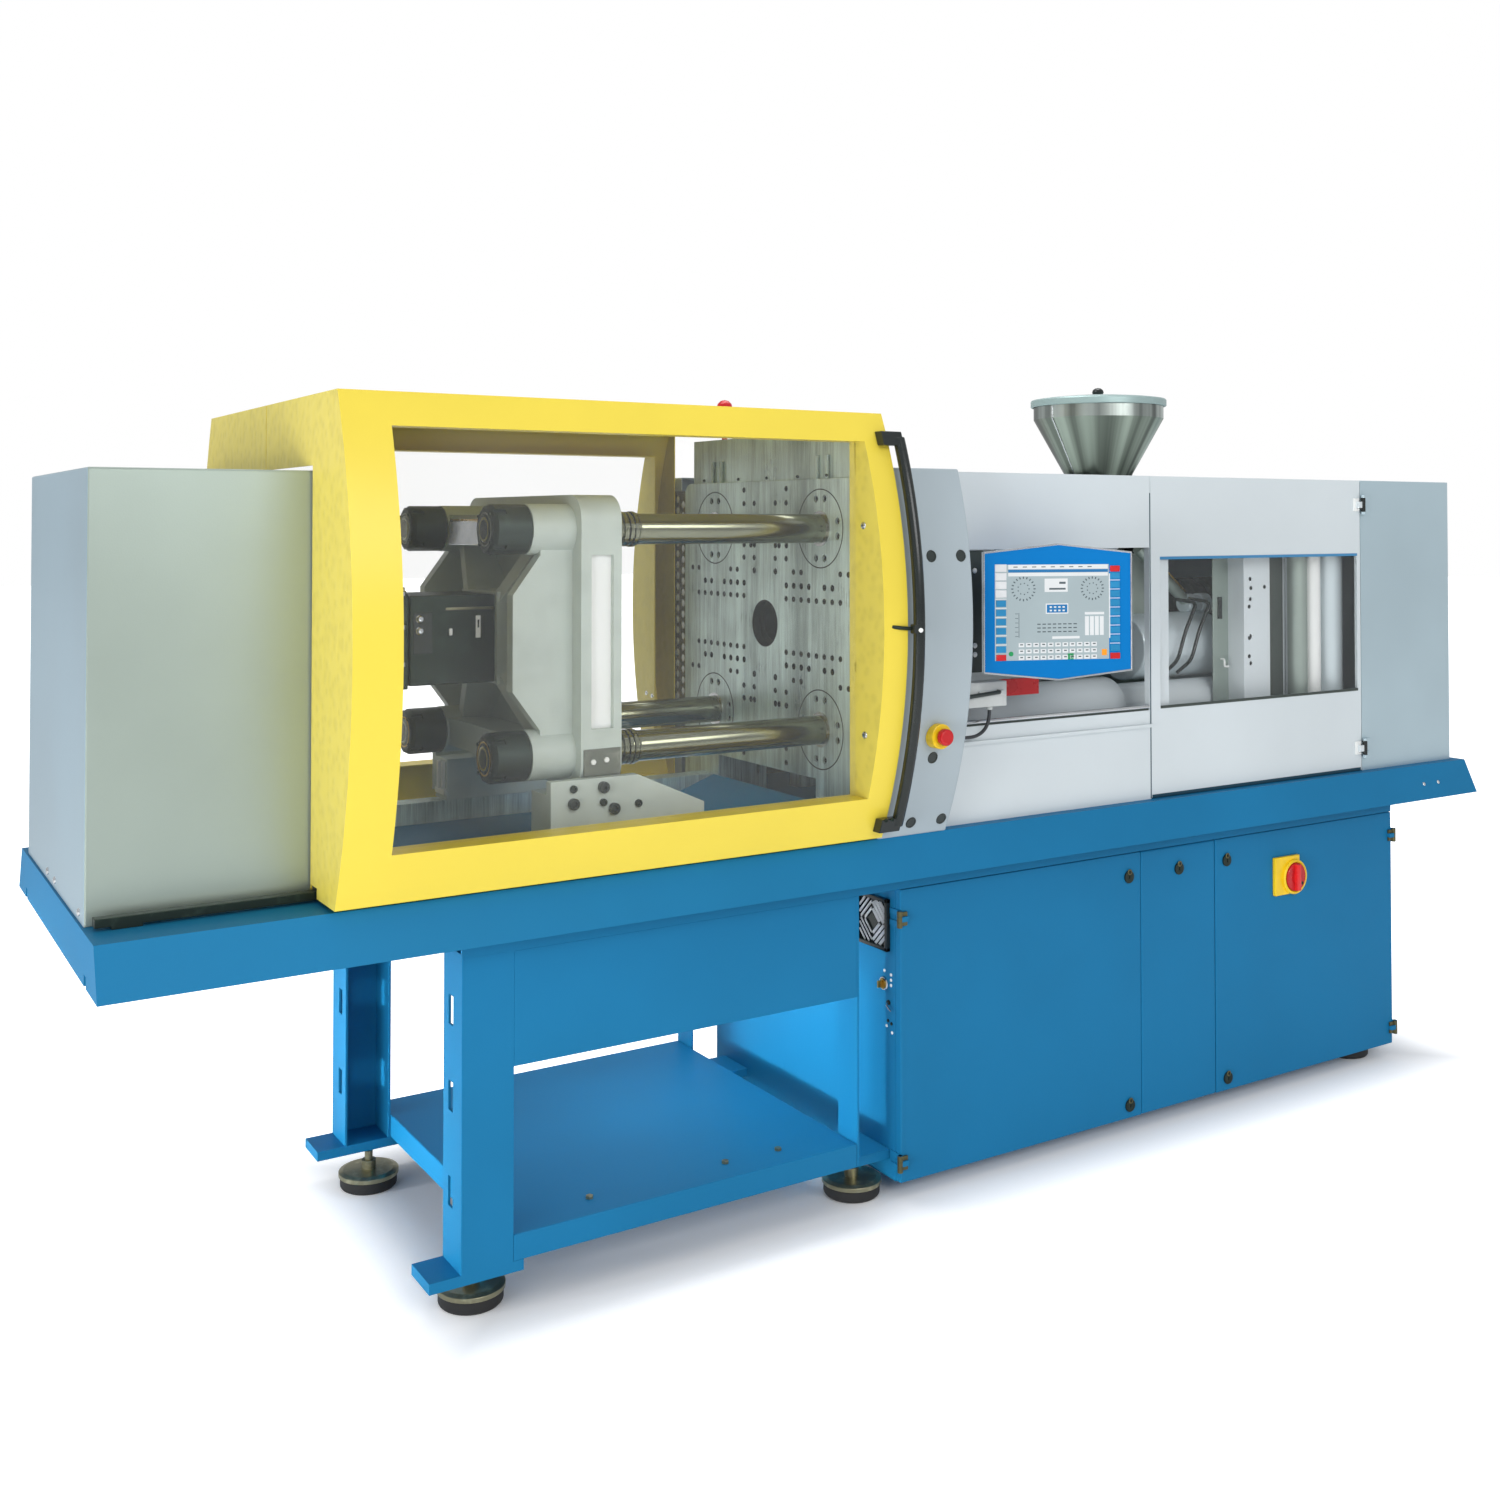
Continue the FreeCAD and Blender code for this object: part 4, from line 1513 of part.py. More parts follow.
def make_cable():
    """Cable tube along straight runs joined by tangent arcs."""
    points = cable_points()
    edges = []
    last = points[0]
    length = 0.0
    for before, corner, after in zip(points, points[1:], points[2:]):
        incoming = (corner - before).normalize()
        outgoing = (after - corner).normalize()
        turn = incoming.getAngle(outgoing)
        setback = 0.45 * min((corner - before).Length, (after - corner).Length)
        radius = setback / math.tan(turn / 2)
        print("cable arc radius %.0f" % radius)
        arc_start = corner - incoming * setback
        arc_end = corner + outgoing * setback
        bisector = (outgoing - incoming).normalize()
        middle = corner + bisector * (radius / math.cos(turn / 2) - radius)
        edges.append(Part.LineSegment(last, arc_start).toShape())
        edges.append(Part.Arc(arc_start, middle, arc_end).toShape())
        length += (arc_start - last).Length + radius * turn
        last = arc_end
    edges.append(Part.LineSegment(last, points[-1]).toShape())
    length += (points[-1] - last).Length
    first_direction = (points[1] - points[0]).normalize()
    section = Part.Wire(Part.Circle(points[0], first_direction, CABLE_RADIUS).toShape())
    tube = Part.Wire(edges).makePipeShell([section], True, False)
    ideal = math.pi * CABLE_RADIUS ** 2 * length
    print("cable length %.1f, volume / ideal %.4f" % (length, tube.Volume / ideal))
    return tube


# --- injection unit ----------------------------------------------------------------------------
def make_injection_rails():
    """Two ways on the bed for the injection carriage."""
    x = (at(COVERS_AT) + INJECTION_RAIL_INSET, at(COVERS_AT + COVERS_LENGTH) - INJECTION_RAIL_INSET)
    return group([
        block(x, (side * (INJECTION_RAIL_OFFSET - INJECTION_RAIL_WIDTH / 2),
                  side * (INJECTION_RAIL_OFFSET + INJECTION_RAIL_WIDTH / 2)),
              (BED_TOP, BED_TOP + INJECTION_RAIL_HEIGHT))
        for side in (FRONT, REAR)
    ])


def injection_cylinder_centres():
    """(y, z) of the two injection cylinders, diagonally across the axis."""
    return [(side * INJECTION_CYLINDER_SIDE, AXIS_HEIGHT + side * INJECTION_CYLINDER_RISE)
            for side in (FRONT, REAR)]


def make_injection_carriage():
    """Carriage plate on four shoes with the feed housing that holds barrel and cylinders."""
    rail_top = BED_TOP + INJECTION_RAIL_HEIGHT
    housing_x = (at(FEED_HOUSING_AT), at(FEED_HOUSING_AT + FEED_HOUSING_LENGTH))
    plate_x = (housing_x[0] - 40, housing_x[0] - 40 + CARRIAGE_LENGTH)
    plate_z = (rail_top + RUNNING_GAP + 24, rail_top + RUNNING_GAP + 24 + CARRIAGE_PLATE)
    reach = INJECTION_RAIL_OFFSET + INJECTION_RAIL_WIDTH / 2
    plate = block(plate_x, (-reach, reach), plate_z)
    shoes = []
    for side in (FRONT, REAR):
        for x0 in (plate_x[0], plate_x[1] - 120):
            shoes.append(block((x0, x0 + 120), (side * (INJECTION_RAIL_OFFSET - INJECTION_RAIL_WIDTH / 2),
                                                side * reach), (rail_top + RUNNING_GAP, plate_z[0])))
    half = FEED_HOUSING_HALF_WIDTH
    foot_outline = [(-half * 1.3, plate_z[1]), (half * 1.3, plate_z[1]),
                    (half * 0.7, FEED_HOUSING_BOTTOM), (-half * 0.7, FEED_HOUSING_BOTTOM)]
    pedestal = profile_x(foot_outline, (housing_x[0] + 30, housing_x[1] - 30))
    housing = block(housing_x, (-half, half), (FEED_HOUSING_BOTTOM, FEED_FLAT_HEIGHT))
    seats = [rod_x((housing_x[0], plate_x[1]), y, z, INJECTION_CYLINDER_RADIUS)
             for y, z in injection_cylinder_centres()]
    barrel_seat = rod_x(housing_x, 0, AXIS_HEIGHT, BARREL_RADIUS)
    feed = rod_z(at(HOPPER_AT), 0, (AXIS_HEIGHT, FEED_FLAT_HEIGHT), HOPPER_THROAT_RADIUS * 0.7)
    return cut(fuse(plate, *shoes, pedestal, housing), barrel_seat, feed, *seats)


def make_injection_cylinders():
    """Two injection cylinders with their end covers, bored for piston and rod."""
    solids = []
    x = (at(INJECTION_CYLINDER_AT), at(INJECTION_CYLINDER_AT + INJECTION_CYLINDER_LENGTH))
    end = INJECTION_CYLINDER_END
    for y, z in injection_cylinder_centres():
        solids.append(cut(
            rod_x(x, y, z, INJECTION_CYLINDER_RADIUS),
            rod_x((x[0] + end, x[1] - end), y, z, INJECTION_CYLINDER_BORE),
            rod_x((x[1] - end, x[1]), y, z, INJECTION_ROD_RADIUS + RUNNING_GAP),
        ))
    return group(solids)


def make_barrel():
    """Barrel with its end cap and nozzle, bored for the screw and open at the feed throat."""
    tip = at(BARREL_TIP_AT)
    cap = at(BARREL_CAP_AT)
    end = at(FEED_HOUSING_AT + FEED_HOUSING_LENGTH)
    outer = turned_x(
        [
            (tip, 0), (tip, NOZZLE_TIP_RADIUS), (tip + 26, NOZZLE_RADIUS), (cap - 30, NOZZLE_RADIUS),
            (cap, BARREL_CAP_RADIUS), (cap + BARREL_CAP_LENGTH, BARREL_CAP_RADIUS),
            (cap + BARREL_CAP_LENGTH, BARREL_RADIUS), (end, BARREL_RADIUS), (end, 0),
        ], 0, AXIS_HEIGHT)
    screw_tip = tip + SCREW_TIP_GAP
    bore = turned_x(
        [
            (tip, 0), (tip, 2.5), (tip + 90, 2.5), (tip + 110, 6), (screw_tip - 15, 6),
            (screw_tip - 5, SCREW_RADIUS + RUNNING_GAP), (end, SCREW_RADIUS + RUNNING_GAP), (end, 0),
        ], 0, AXIS_HEIGHT)
    feed = rod_z(at(HOPPER_AT), 0, (AXIS_HEIGHT, AXIS_HEIGHT + 2 * BARREL_RADIUS), SCREW_RADIUS)
    return cut(outer, bore, feed)


def make_screw():
    """Plasticising screw: pointed tip, root and shank that ends in the drive."""
    tip = at(BARREL_TIP_AT) + SCREW_TIP_GAP
    flight_end = at(FEED_HOUSING_AT) + 40 + (at(HOPPER_AT) - at(FEED_HOUSING_AT))
    end = at(DRIVE_AT) - RUNNING_GAP
    points = [(tip - 15, 0), (tip + 30, SCREW_ROOT)]
    pitch = 2 * SCREW_RADIUS
    land = pitch * 0.12
    x = tip + 30
    while x + pitch < flight_end:
        points += [(x + pitch * 0.4, SCREW_ROOT), (x + pitch * 0.4, SCREW_RADIUS),
                   (x + pitch * 0.4 + land, SCREW_RADIUS), (x + pitch * 0.4 + land, SCREW_ROOT)]
        x += 3 * pitch
    housing_end = at(FEED_HOUSING_AT + FEED_HOUSING_LENGTH)
    points += [(flight_end, SCREW_ROOT), (flight_end, SCREW_RADIUS), (housing_end, SCREW_RADIUS),
               (housing_end, SHANK_RADIUS), (end, SHANK_RADIUS), (end, 0)]
    return turned_x(points, 0, AXIS_HEIGHT)


def make_screw_drive():
    """Crosshead that joins the two piston rods, with the hydraulic motor behind it."""
    x = (at(DRIVE_AT), at(DRIVE_AT) + DRIVE_PLATE)
    half_span = math.hypot(INJECTION_CYLINDER_SIDE, INJECTION_CYLINDER_RISE)
    bar = block(x, (-half_span, half_span),
                (AXIS_HEIGHT - DRIVE_BAR_WIDTH / 2, AXIS_HEIGHT + DRIVE_BAR_WIDTH / 2))
    slope = math.degrees(math.atan2(INJECTION_CYLINDER_RISE, INJECTION_CYLINDER_SIDE))
    bar.rotate(Vector(x[0], 0, AXIS_HEIGHT), Vector(1, 0, 0), slope)
    solids = [bar, rod_x(x, 0, AXIS_HEIGHT, DRIVE_RADIUS)]
    piston = at(INJECTION_CYLINDER_AT) + INJECTION_CYLINDER_END + 10
    for y, z in injection_cylinder_centres():
        solids.append(rod_x(x, y, z, DRIVE_EYE_RADIUS))
        solids.append(rod_x((piston, x[0]), y, z, INJECTION_ROD_RADIUS))
        solids.append(rod_x((piston, piston + INJECTION_PISTON), y, z, INJECTION_CYLINDER_BORE - RUNNING_GAP))
    back = x[1] + DRIVE_LENGTH
    motor = turned_x([(x[1], 0), (x[1], DRIVE_RADIUS * 0.8), (x[1] + 40, DRIVE_RADIUS * 0.8),
                      (x[1] + 40, DRIVE_RADIUS), (back, DRIVE_RADIUS), (back, 0)], 0, AXIS_HEIGHT)
    return fuse(*solids, motor)


def make_hopper():
    """Hopper: short cylinder, cone and throat with its foot flange."""
    x = at(HOPPER_AT)
    wall = HOPPER_SHEET
    return turned_z(
        [
            (HOPPER_THROAT_RADIUS - wall, FEED_FLAT_HEIGHT), (HOPPER_FLANGE_RADIUS, FEED_FLAT_HEIGHT),
            (HOPPER_FLANGE_RADIUS, FEED_FLAT_HEIGHT + HOPPER_FLANGE),
            (HOPPER_THROAT_RADIUS, FEED_FLAT_HEIGHT + HOPPER_FLANGE),
            (HOPPER_THROAT_RADIUS, HOPPER_THROAT_TOP), (HOPPER_RADIUS, HOPPER_CYLINDER_BOTTOM),
            (HOPPER_RADIUS, HOPPER_RIM), (HOPPER_RADIUS - wall, HOPPER_RIM),
            (HOPPER_RADIUS - wall, HOPPER_CYLINDER_BOTTOM + wall / 2),
            (HOPPER_THROAT_RADIUS - wall, HOPPER_THROAT_TOP + wall / 2),
        ], x, 0)


def make_hopper_lid():
    """Lid that rests on the hopper's rim, with its knob, and the lip round it in one piece of its own."""
    x = at(HOPPER_AT)
    top = HOPPER_RIM + LID_HEIGHT
    cover = turned_z(
        [
            (0, HOPPER_RIM), (LID_RADIUS, HOPPER_RIM), (LID_RADIUS, HOPPER_RIM + 6),
            (LID_RADIUS - 5, HOPPER_RIM + 14), (LID_RADIUS * 0.6, top - 10), (LID_KNOB_RADIUS, top),
            (LID_KNOB_RADIUS * 0.6, top), (LID_KNOB_RADIUS * 0.6, top + 5), (LID_KNOB_RADIUS, top + 8),
            (LID_KNOB_RADIUS, top + LID_KNOB_HEIGHT - 5), (LID_KNOB_RADIUS * 0.6, top + LID_KNOB_HEIGHT),
            (0, top + LID_KNOB_HEIGHT),
        ], x, 0)
    lip = turned_z(
        [
            (HOPPER_RADIUS + 2, HOPPER_RIM), (HOPPER_RADIUS + 2, HOPPER_RIM - LID_LIP),
            (LID_RADIUS - 2, HOPPER_RIM - LID_LIP), (LID_RADIUS, HOPPER_RIM - LID_LIP + 6),
            (LID_RADIUS, HOPPER_RIM),
        ], x, 0)
    return Part.makeCompound([cover, lip])


# --- all sub-parts -----------------------------------------------------------------------------
def make_nodes():
    """Every sub-part by its name."""
    hinges = cabinet_hinges()
    left_locks = [(LEFT_LOCK_X, UPPER_LOCK_Z), (LEFT_LOCK_X, LOWER_LOCK_Z)]
    right_locks = [(RIGHT_LOCK_X, UPPER_LOCK_Z), (RIGHT_LOCK_X, LOWER_LOCK_Z)]
    switch_bore = rod_y(SWITCH_X, (DOOR_FRONT, DOOR_FRONT + DOOR_SHEET), SWITCH_HEIGHT,
                        LOCK_CORE_RADIUS + PIN_GAP)
    return {
        "machine_bed": make_bed(),
        "support_legs": make_legs(),
        "lower_shelf": make_shelf(),
        "chute_sheets": make_chute_sheets(),
        "levelling_pads": make_pads(),
        "levelling_discs": make_discs(),
        "cabinet_shell": make_cabinet_shell(hinges),
        "cabinet_left_door": make_door(LEFT_DOOR_X, left_locks, [hinges["left", level][1] for level in
                                                                 ("upper", "lower")]),
        "cabinet_right_door": make_door(RIGHT_DOOR_X, right_locks, [hinges["right", level][1] for level in
                                                                    ("upper", "lower")], (switch_bore,)),
        "cabinet_middle_panel": make_door(MIDDLE_PANEL_X, [(MIDDLE_LOCK_X, UPPER_LOCK_Z)], []),
        "lock_left_upper": make_lock(*left_locks[0]),
        "lock_left_lower": make_lock(*left_locks[1]),
        "lock_middle": make_lock(MIDDLE_LOCK_X, UPPER_LOCK_Z),
        "lock_right_upper": make_lock(*right_locks[0]),
        "lock_right_lower": make_lock(*right_locks[1]),
        "main_switch_knob": make_switch_knob(),
        "key_switch": make_key_switch(),
        "fan_grille": make_fan_grille(),
        "power_pack": make_power_pack(),
        "left_cover": make_left_cover(),
        "gate_rails": make_gate_rails(),
        "front_gate_frame": make_gate_frame(FRONT),
        "front_gate_window": make_gate_pane(FRONT),
        "front_gate_handle": make_gate_handle(FRONT),
        "rear_gate_frame": make_gate_frame(REAR),
        "rear_gate_window": make_gate_pane(REAR),
        "rear_gate_handle": make_gate_handle(REAR),
        "platen_rails": make_platen_rails(),
        "fixed_platen": make_fixed_platen(),
        "tie_bar_flanges": make_flanges(),
        "clamp_cylinders": make_clamp_cylinders(),
        "platen_guards": make_platen_guards(),
        "moving_platen": make_moving_platen(),
        "tie_bars": make_tie_bars(),
        "tie_bar_nuts": make_tie_bar_nuts(),
        "ejector_housing": make_ejector_housing(),
        "ejector_rod": make_ejector_rod(),
        "slide_shoes": make_slide_shoes(),
        "side_columns": make_columns(),
        "emergency_stop_base": make_stop_base(),
        "emergency_stop_button": make_stop_button(),
        "beacon": make_beacon(),
        "front_cover": make_front_cover(),
        "window_door": make_window_door(),
        "window_door_pane": make_door_pane(),
        "end_cover": make_end_cover(),
        "rear_cover": make_rear_cover(),
        "inner_posts": make_inner_posts(),
        "control_panel": make_control_panel(),
        "panel_arm": make_panel_arm(),
        "connector_box": make_connector_box(),
        "connector_cable": make_cable(),
        "injection_rails": make_injection_rails(),
        "injection_carriage": make_injection_carriage(),
        "barrel": make_barrel(),
        "injection_cylinders": make_injection_cylinders(),
        "screw": make_screw(),
        "screw_drive": make_screw_drive(),
        "hopper": make_hopper(),
        "hopper_lid": make_hopper_lid(),
    }


def main():
    """Build every sub-part and write one STEP file for each."""
    os.makedirs("parts", exist_ok=True)
    for name, shape in make_nodes().items():
        shape.exportStep(os.path.join("parts", name + ".step"))
        print("%-24s solids %2d  valid %s" % (name, len(shape.Solids), shape.isValid()))


main()
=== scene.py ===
"""Looks of a horizontal injection moulding machine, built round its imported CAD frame.

Every piece is made in metres in the frame's own axes: +X from the clamp end to the injection
end, -Y towards the operator, +Z up, with the origin on the floor under the middle.
"""

import json
import logging
import math
from dataclasses import dataclass
from enum import Enum
from functools import lru_cache
from typing import Any, Iterable, Sequence

import bmesh
import bpy
from mathutils import Matrix, Vector
from mathutils.bvhtree import BVHTree


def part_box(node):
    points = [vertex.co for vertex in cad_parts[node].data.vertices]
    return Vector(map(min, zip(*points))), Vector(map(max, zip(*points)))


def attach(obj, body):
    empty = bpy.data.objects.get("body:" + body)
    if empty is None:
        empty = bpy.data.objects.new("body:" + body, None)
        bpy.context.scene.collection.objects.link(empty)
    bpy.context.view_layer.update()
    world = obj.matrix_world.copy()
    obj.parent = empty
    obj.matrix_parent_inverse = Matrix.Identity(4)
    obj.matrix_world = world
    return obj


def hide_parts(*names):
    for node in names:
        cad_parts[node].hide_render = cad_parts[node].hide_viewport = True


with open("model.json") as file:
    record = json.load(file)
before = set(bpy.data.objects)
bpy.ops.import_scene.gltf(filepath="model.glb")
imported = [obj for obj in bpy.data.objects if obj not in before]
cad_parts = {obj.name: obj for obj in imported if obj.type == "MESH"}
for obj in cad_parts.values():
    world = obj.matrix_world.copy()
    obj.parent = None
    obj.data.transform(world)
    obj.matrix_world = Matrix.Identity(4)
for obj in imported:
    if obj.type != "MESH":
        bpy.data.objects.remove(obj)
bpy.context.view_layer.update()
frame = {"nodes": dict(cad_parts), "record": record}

LOG = logging.getLogger("moulding_machine")
Colour = tuple[float, float, float]
Point = tuple[float, float, float]
Span = tuple[float, float]

MM = 0.001
UPWARDS = (0.0, 0.0, 1.0)
LEFTWARDS = (-1.0, 0.0, 0.0)
OUT = (0.0, -1.0, 0.0)
SAME_WAY = 0.8
TURNED_OVER = 0.2
SPOILT_LIMIT = 0.00003
WELD = 2e-6
PLANE = math.radians(0.4)
EDGE_TRIES = ((True, 1.0), (True, 0.5), (False, 0.5), (False, 0.25))
SEAT_START = 60.0
SEAT_REACH = 0.2


def shade(red: int, green: int, blue: int) -> Colour:
    """Turns a paint chart value into the linear light that a shader wants.

    Args:
        red: Red, 0 to 255.
        green: Green, 0 to 255.
        blue: Blue, 0 to 255.

    Returns:
        The three linear values.
    """
    return tuple(((v / 255 + 0.055) / 1.055) ** 2.4 for v in (red, green, blue))


def dimmed(colour: Colour, share: float) -> Colour:
    """Gives a colour times a share of its light."""
    return tuple(min(1.0, v * share) for v in colour)


class Level:
    """One number that varies over a surface: a socket that takes Python's operators."""

    def __init__(self, recipe: "NodeBook", socket: bpy.types.NodeSocket) -> None:
        """Wraps a socket of the recipe's tree."""
        self.recipe = recipe
        self.socket = socket

    def __add__(self, other: Any) -> "Level":
        """Adds."""
        return self.recipe.maths("ADD", self, other)

    def __radd__(self, other: Any) -> "Level":
        """Adds, from the right."""
        return self.recipe.maths("ADD", other, self)

    def __sub__(self, other: Any) -> "Level":
        """Subtracts."""
        return self.recipe.maths("SUBTRACT", self, other)

    def __rsub__(self, other: Any) -> "Level":
        """Subtracts, from the right."""
        return self.recipe.maths("SUBTRACT", other, self)

    def __mul__(self, other: Any) -> "Level":
        """Multiplies."""
        return self.recipe.maths("MULTIPLY", self, other)

    def __rmul__(self, other: Any) -> "Level":
        """Multiplies, from the right."""
        return self.recipe.maths("MULTIPLY", other, self)

    def __truediv__(self, other: Any) -> "Level":
        """Divides."""
        return self.recipe.maths("DIVIDE", self, other)

    def span(self, low: float, high: float) -> "Level":
        """Maps a range smoothly to the one from 0 to 1.

        Args:
            low: Where the range starts.
            high: Where it ends.

        Returns:
            The mapped number.
        """
        settings = {"interpolation_type": "SMOOTHSTEP"}
        made = self.recipe.node("ShaderNodeMapRange", settings, {0: self, 1: low, 2: high})
        return Level(self.recipe, made.outputs[0])


class NodeBook:
    """A node tree being written."""

    def __init__(self, tree: bpy.types.NodeTree) -> None:
        """Takes the tree over, empty."""
        self.tree = tree
        tree.nodes.clear()

    def node(self, kind: str, settings: dict[str, Any] | None = None,
             values: dict[Any, Any] | None = None) -> bpy.types.Node:
        """Adds a node: its type, its settings, then the values or links of its sockets.

        Args:
            kind: The node's type.
            settings: Its settings; "stops" holds a ramp's places and colours.
            values: What each input gets, by the socket's name or number.

        Returns:
            The node.
        """
        made = self.tree.nodes.new(kind)
        for name, value in (settings or {}).items():
            if name == "stops":
                self.set_stops(made.color_ramp, value)
            else:
                setattr(made, name, value)
        for key, value in (values or {}).items():
            if isinstance(value, Level):
                value = value.socket
            if isinstance(value, bpy.types.NodeSocket):
                self.tree.links.new(value, made.inputs[key])
            else:
                made.inputs[key].default_value = value
        return made

    def maths(self, operation: str, *values: Any) -> Level:
        """Adds one Math node.

        Args:
            operation: The node's operation.
            *values: What goes into its sockets, in their order.

        Returns:
            The node's answer.
        """
        made = self.node("ShaderNodeMath", {"operation": operation}, dict(enumerate(values)))
        return Level(self, made.outputs[0])

    def parts(self, vector: Any) -> list[Level]:
        """Splits a vector into its three numbers."""
        made = self.node("ShaderNodeSeparateXYZ", None, {0: vector})
        return [Level(self, socket) for socket in made.outputs]

    def set_stops(self, ramp: bpy.types.ColorRamp, stops: Sequence[tuple[float, Colour]]) -> None:
        """Gives a ramp its places and colours."""
        while len(ramp.elements) < len(stops):
            ramp.elements.new(1.0)
        for element, (place, colour) in zip(ramp.elements, stops):
            element.position = place
            element.color = (*colour, 1.0)


class Recipe(NodeBook):
    """The shader tree of one finish."""

    def place(self, scale: Point = (1, 1, 1), shift: Point = (0, 0, 0)) -> bpy.types.NodeSocket:
        """Gives the object's coordinates, stretched and shifted for a pattern.

        Args:
            scale: How much each axis is stretched.
            shift: A shift in metres.

        Returns:
            The mapped vector.
        """
        source = self.node("ShaderNodeTexCoord").outputs["Object"]
        values = {"Vector": source, "Scale": scale, "Location": shift}
        return self.node("ShaderNodeMapping", None, values).outputs[0]

    def clouds(self, size: float, detail: float = 2.0, vector: Any = None) -> Level:
        """Gives soft noise.

        Args:
            size: The width of a cloud, in metres.
            detail: How many finer layers it has.
            vector: Its coordinates, or None for the object's own.

        Returns:
            The noise, about 0 to 1.
        """
        values = {"Vector": vector or self.place(), "Scale": 1 / size, "Detail": detail}
        return Level(self, self.node("ShaderNodeTexNoise", None, values).outputs[0])

    def cells(self, size: float, feature: str = "F1", vector: Any = None) -> Level:
        """Gives the distance to the middle of the nearest cell, each about size metres wide."""
        values = {"Vector": vector or self.place(), "Scale": 1 / size}
        return Level(self, self.node("ShaderNodeTexVoronoi", {"feature": feature}, values).outputs[0])

    def mixed(self, first: Any, second: Any, share: Any) -> bpy.types.NodeSocket:
        """Mixes two colours.

        Args:
            first: The colour at share 0.
            second: The colour at share 1.
            share: A number or a Level.

        Returns:
            The mixed colour.
        """
        first, second = ((*c, 1.0) if isinstance(c, tuple) else c for c in (first, second))
        made = self.node("ShaderNodeMix", {"data_type": "RGBA"}, {0: share, 6: first, 7: second})
        return made.outputs[2]

    def relief(self, height: Level, depth: float, strength: float = 1.0) -> bpy.types.NodeSocket:
        """Turns a height into a normal.

        Args:
            height: The height, about 0 to 1.
            depth: What 1 stands for, in metres.
            strength: The share of the effect.

        Returns:
            The normal.
        """
        values = {"Height": height, "Distance": depth, "Strength": strength}
        return self.node("ShaderNodeBump", None, values).outputs[0]

    def surface(self, **values: Any) -> None:
        """Ends the tree in a principled shader; underscores in a name stand for spaces."""
        named = {key.replace("_", " "): value for key, value in values.items()}
        for key, value in named.items():
            if isinstance(value, tuple) and len(value) == 3:
                named[key] = (*value, 1.0)
        shader = self.node("ShaderNodeBsdfPrincipled", None, named)
        self.node("ShaderNodeOutputMaterial", None, {"Surface": shader.outputs[0]})


@dataclass(frozen=True)
class PowderCoat:
    """Baked powder paint on sheet steel, with orange peel and faint clouding."""

    colour: Colour
    roughness: float = 0.36
    peel: float = 0.00016
    clouding: float = 0.05
    shine: float = 0.4
    metal: float = 0.0

    def write(self, recipe: Recipe) -> None:
        """Writes the finish into a recipe."""
        broad = recipe.clouds(0.55, 3.0)
        fine = recipe.clouds(0.0035, 2.0)
        low = dimmed(self.colour, 1 - self.clouding)
        high = dimmed(self.colour, 1 + self.clouding)
        recipe.surface(
            Base_Color=recipe.mixed(low, high, broad.span(0.3, 0.7)),
            Roughness=self.roughness + (broad - 0.5) * 0.12 + (fine - 0.5) * 0.06,
            Normal=recipe.relief(fine, self.peel, 0.8),
            Specular_IOR_Level=self.shine,
            Metallic=self.metal,
        )


@dataclass(frozen=True)
class HammerCoat:
    """Hammer finish paint: shallow dimples that run into each other."""

    colour: Colour
    dimple: float = 0.022
    depth: float = 0.0012

    def write(self, recipe: Recipe) -> None:
        """Writes the finish into a recipe."""
        dimples = recipe.cells(self.dimple, "SMOOTH_F1")
        broad = recipe.clouds(0.4, 2.0)
        recipe.surface(
            Base_Color=recipe.mixed(dimmed(self.colour, 0.9), self.colour, dimples.span(0.1, 0.6)),
            Roughness=0.34 + (broad - 0.5) * 0.1,
            Normal=recipe.relief(dimples, self.depth),
        )


@dataclass(frozen=True)
class CastPaint:
    """Paint over a sand casting: a fine grain on slow waves."""

    colour: Colour
    roughness: float = 0.42

    def write(self, recipe: Recipe) -> None:
        """Writes the finish into a recipe."""
        grain = recipe.clouds(0.006, 4.0)
        waves = recipe.clouds(0.07, 3.0)
        recipe.surface(
            Base_Color=recipe.mixed(dimmed(self.colour, 0.9), self.colour, waves.span(0.25, 0.6)),
            Roughness=self.roughness + (waves - 0.5) * 0.2,
            Normal=recipe.relief(grain * 0.3 + waves, 0.002, 0.5),
        )


@dataclass(frozen=True)
class GroundSteel:
    """Surface-ground steel: fine upright scratches, wider bands, a cloudy polish and broad upright bands of
    painted reflection.
    """

    colour: Colour
    roughness: float = 0.34
    along: Point = (1, 1, 0.02)

    def write(self, recipe: Recipe) -> None:
        """Writes the finish into a recipe."""
        scratches = recipe.clouds(0.0018, 2.0, recipe.place(self.along))
        bands = recipe.clouds(0.02, 3.0, recipe.place(self.along))
        clouds = recipe.clouds(0.11, 5.0)
        # broad upright light and dark bands in the base colour: painted reflection of the room on the ground
        # face
        painted_reflection_bands = recipe.clouds(0.1, 2.0, recipe.place((1, 1, 0.04)))
        tone = scratches * 0.25 + bands * 0.2 + clouds * 0.2 + painted_reflection_bands * 0.35
        recipe.surface(
            Base_Color=recipe.mixed(dimmed(self.colour, 0.5), dimmed(self.colour, 1.4),
                                    tone.span(0.36, 0.62)),
            Roughness=self.roughness + (clouds - 0.5) * 0.35 + (scratches - 0.5) * 0.12,
            Metallic=0.55 + (clouds - 0.5) * 0.3,
            Normal=recipe.relief(scratches, 0.0001, 0.5),
        )


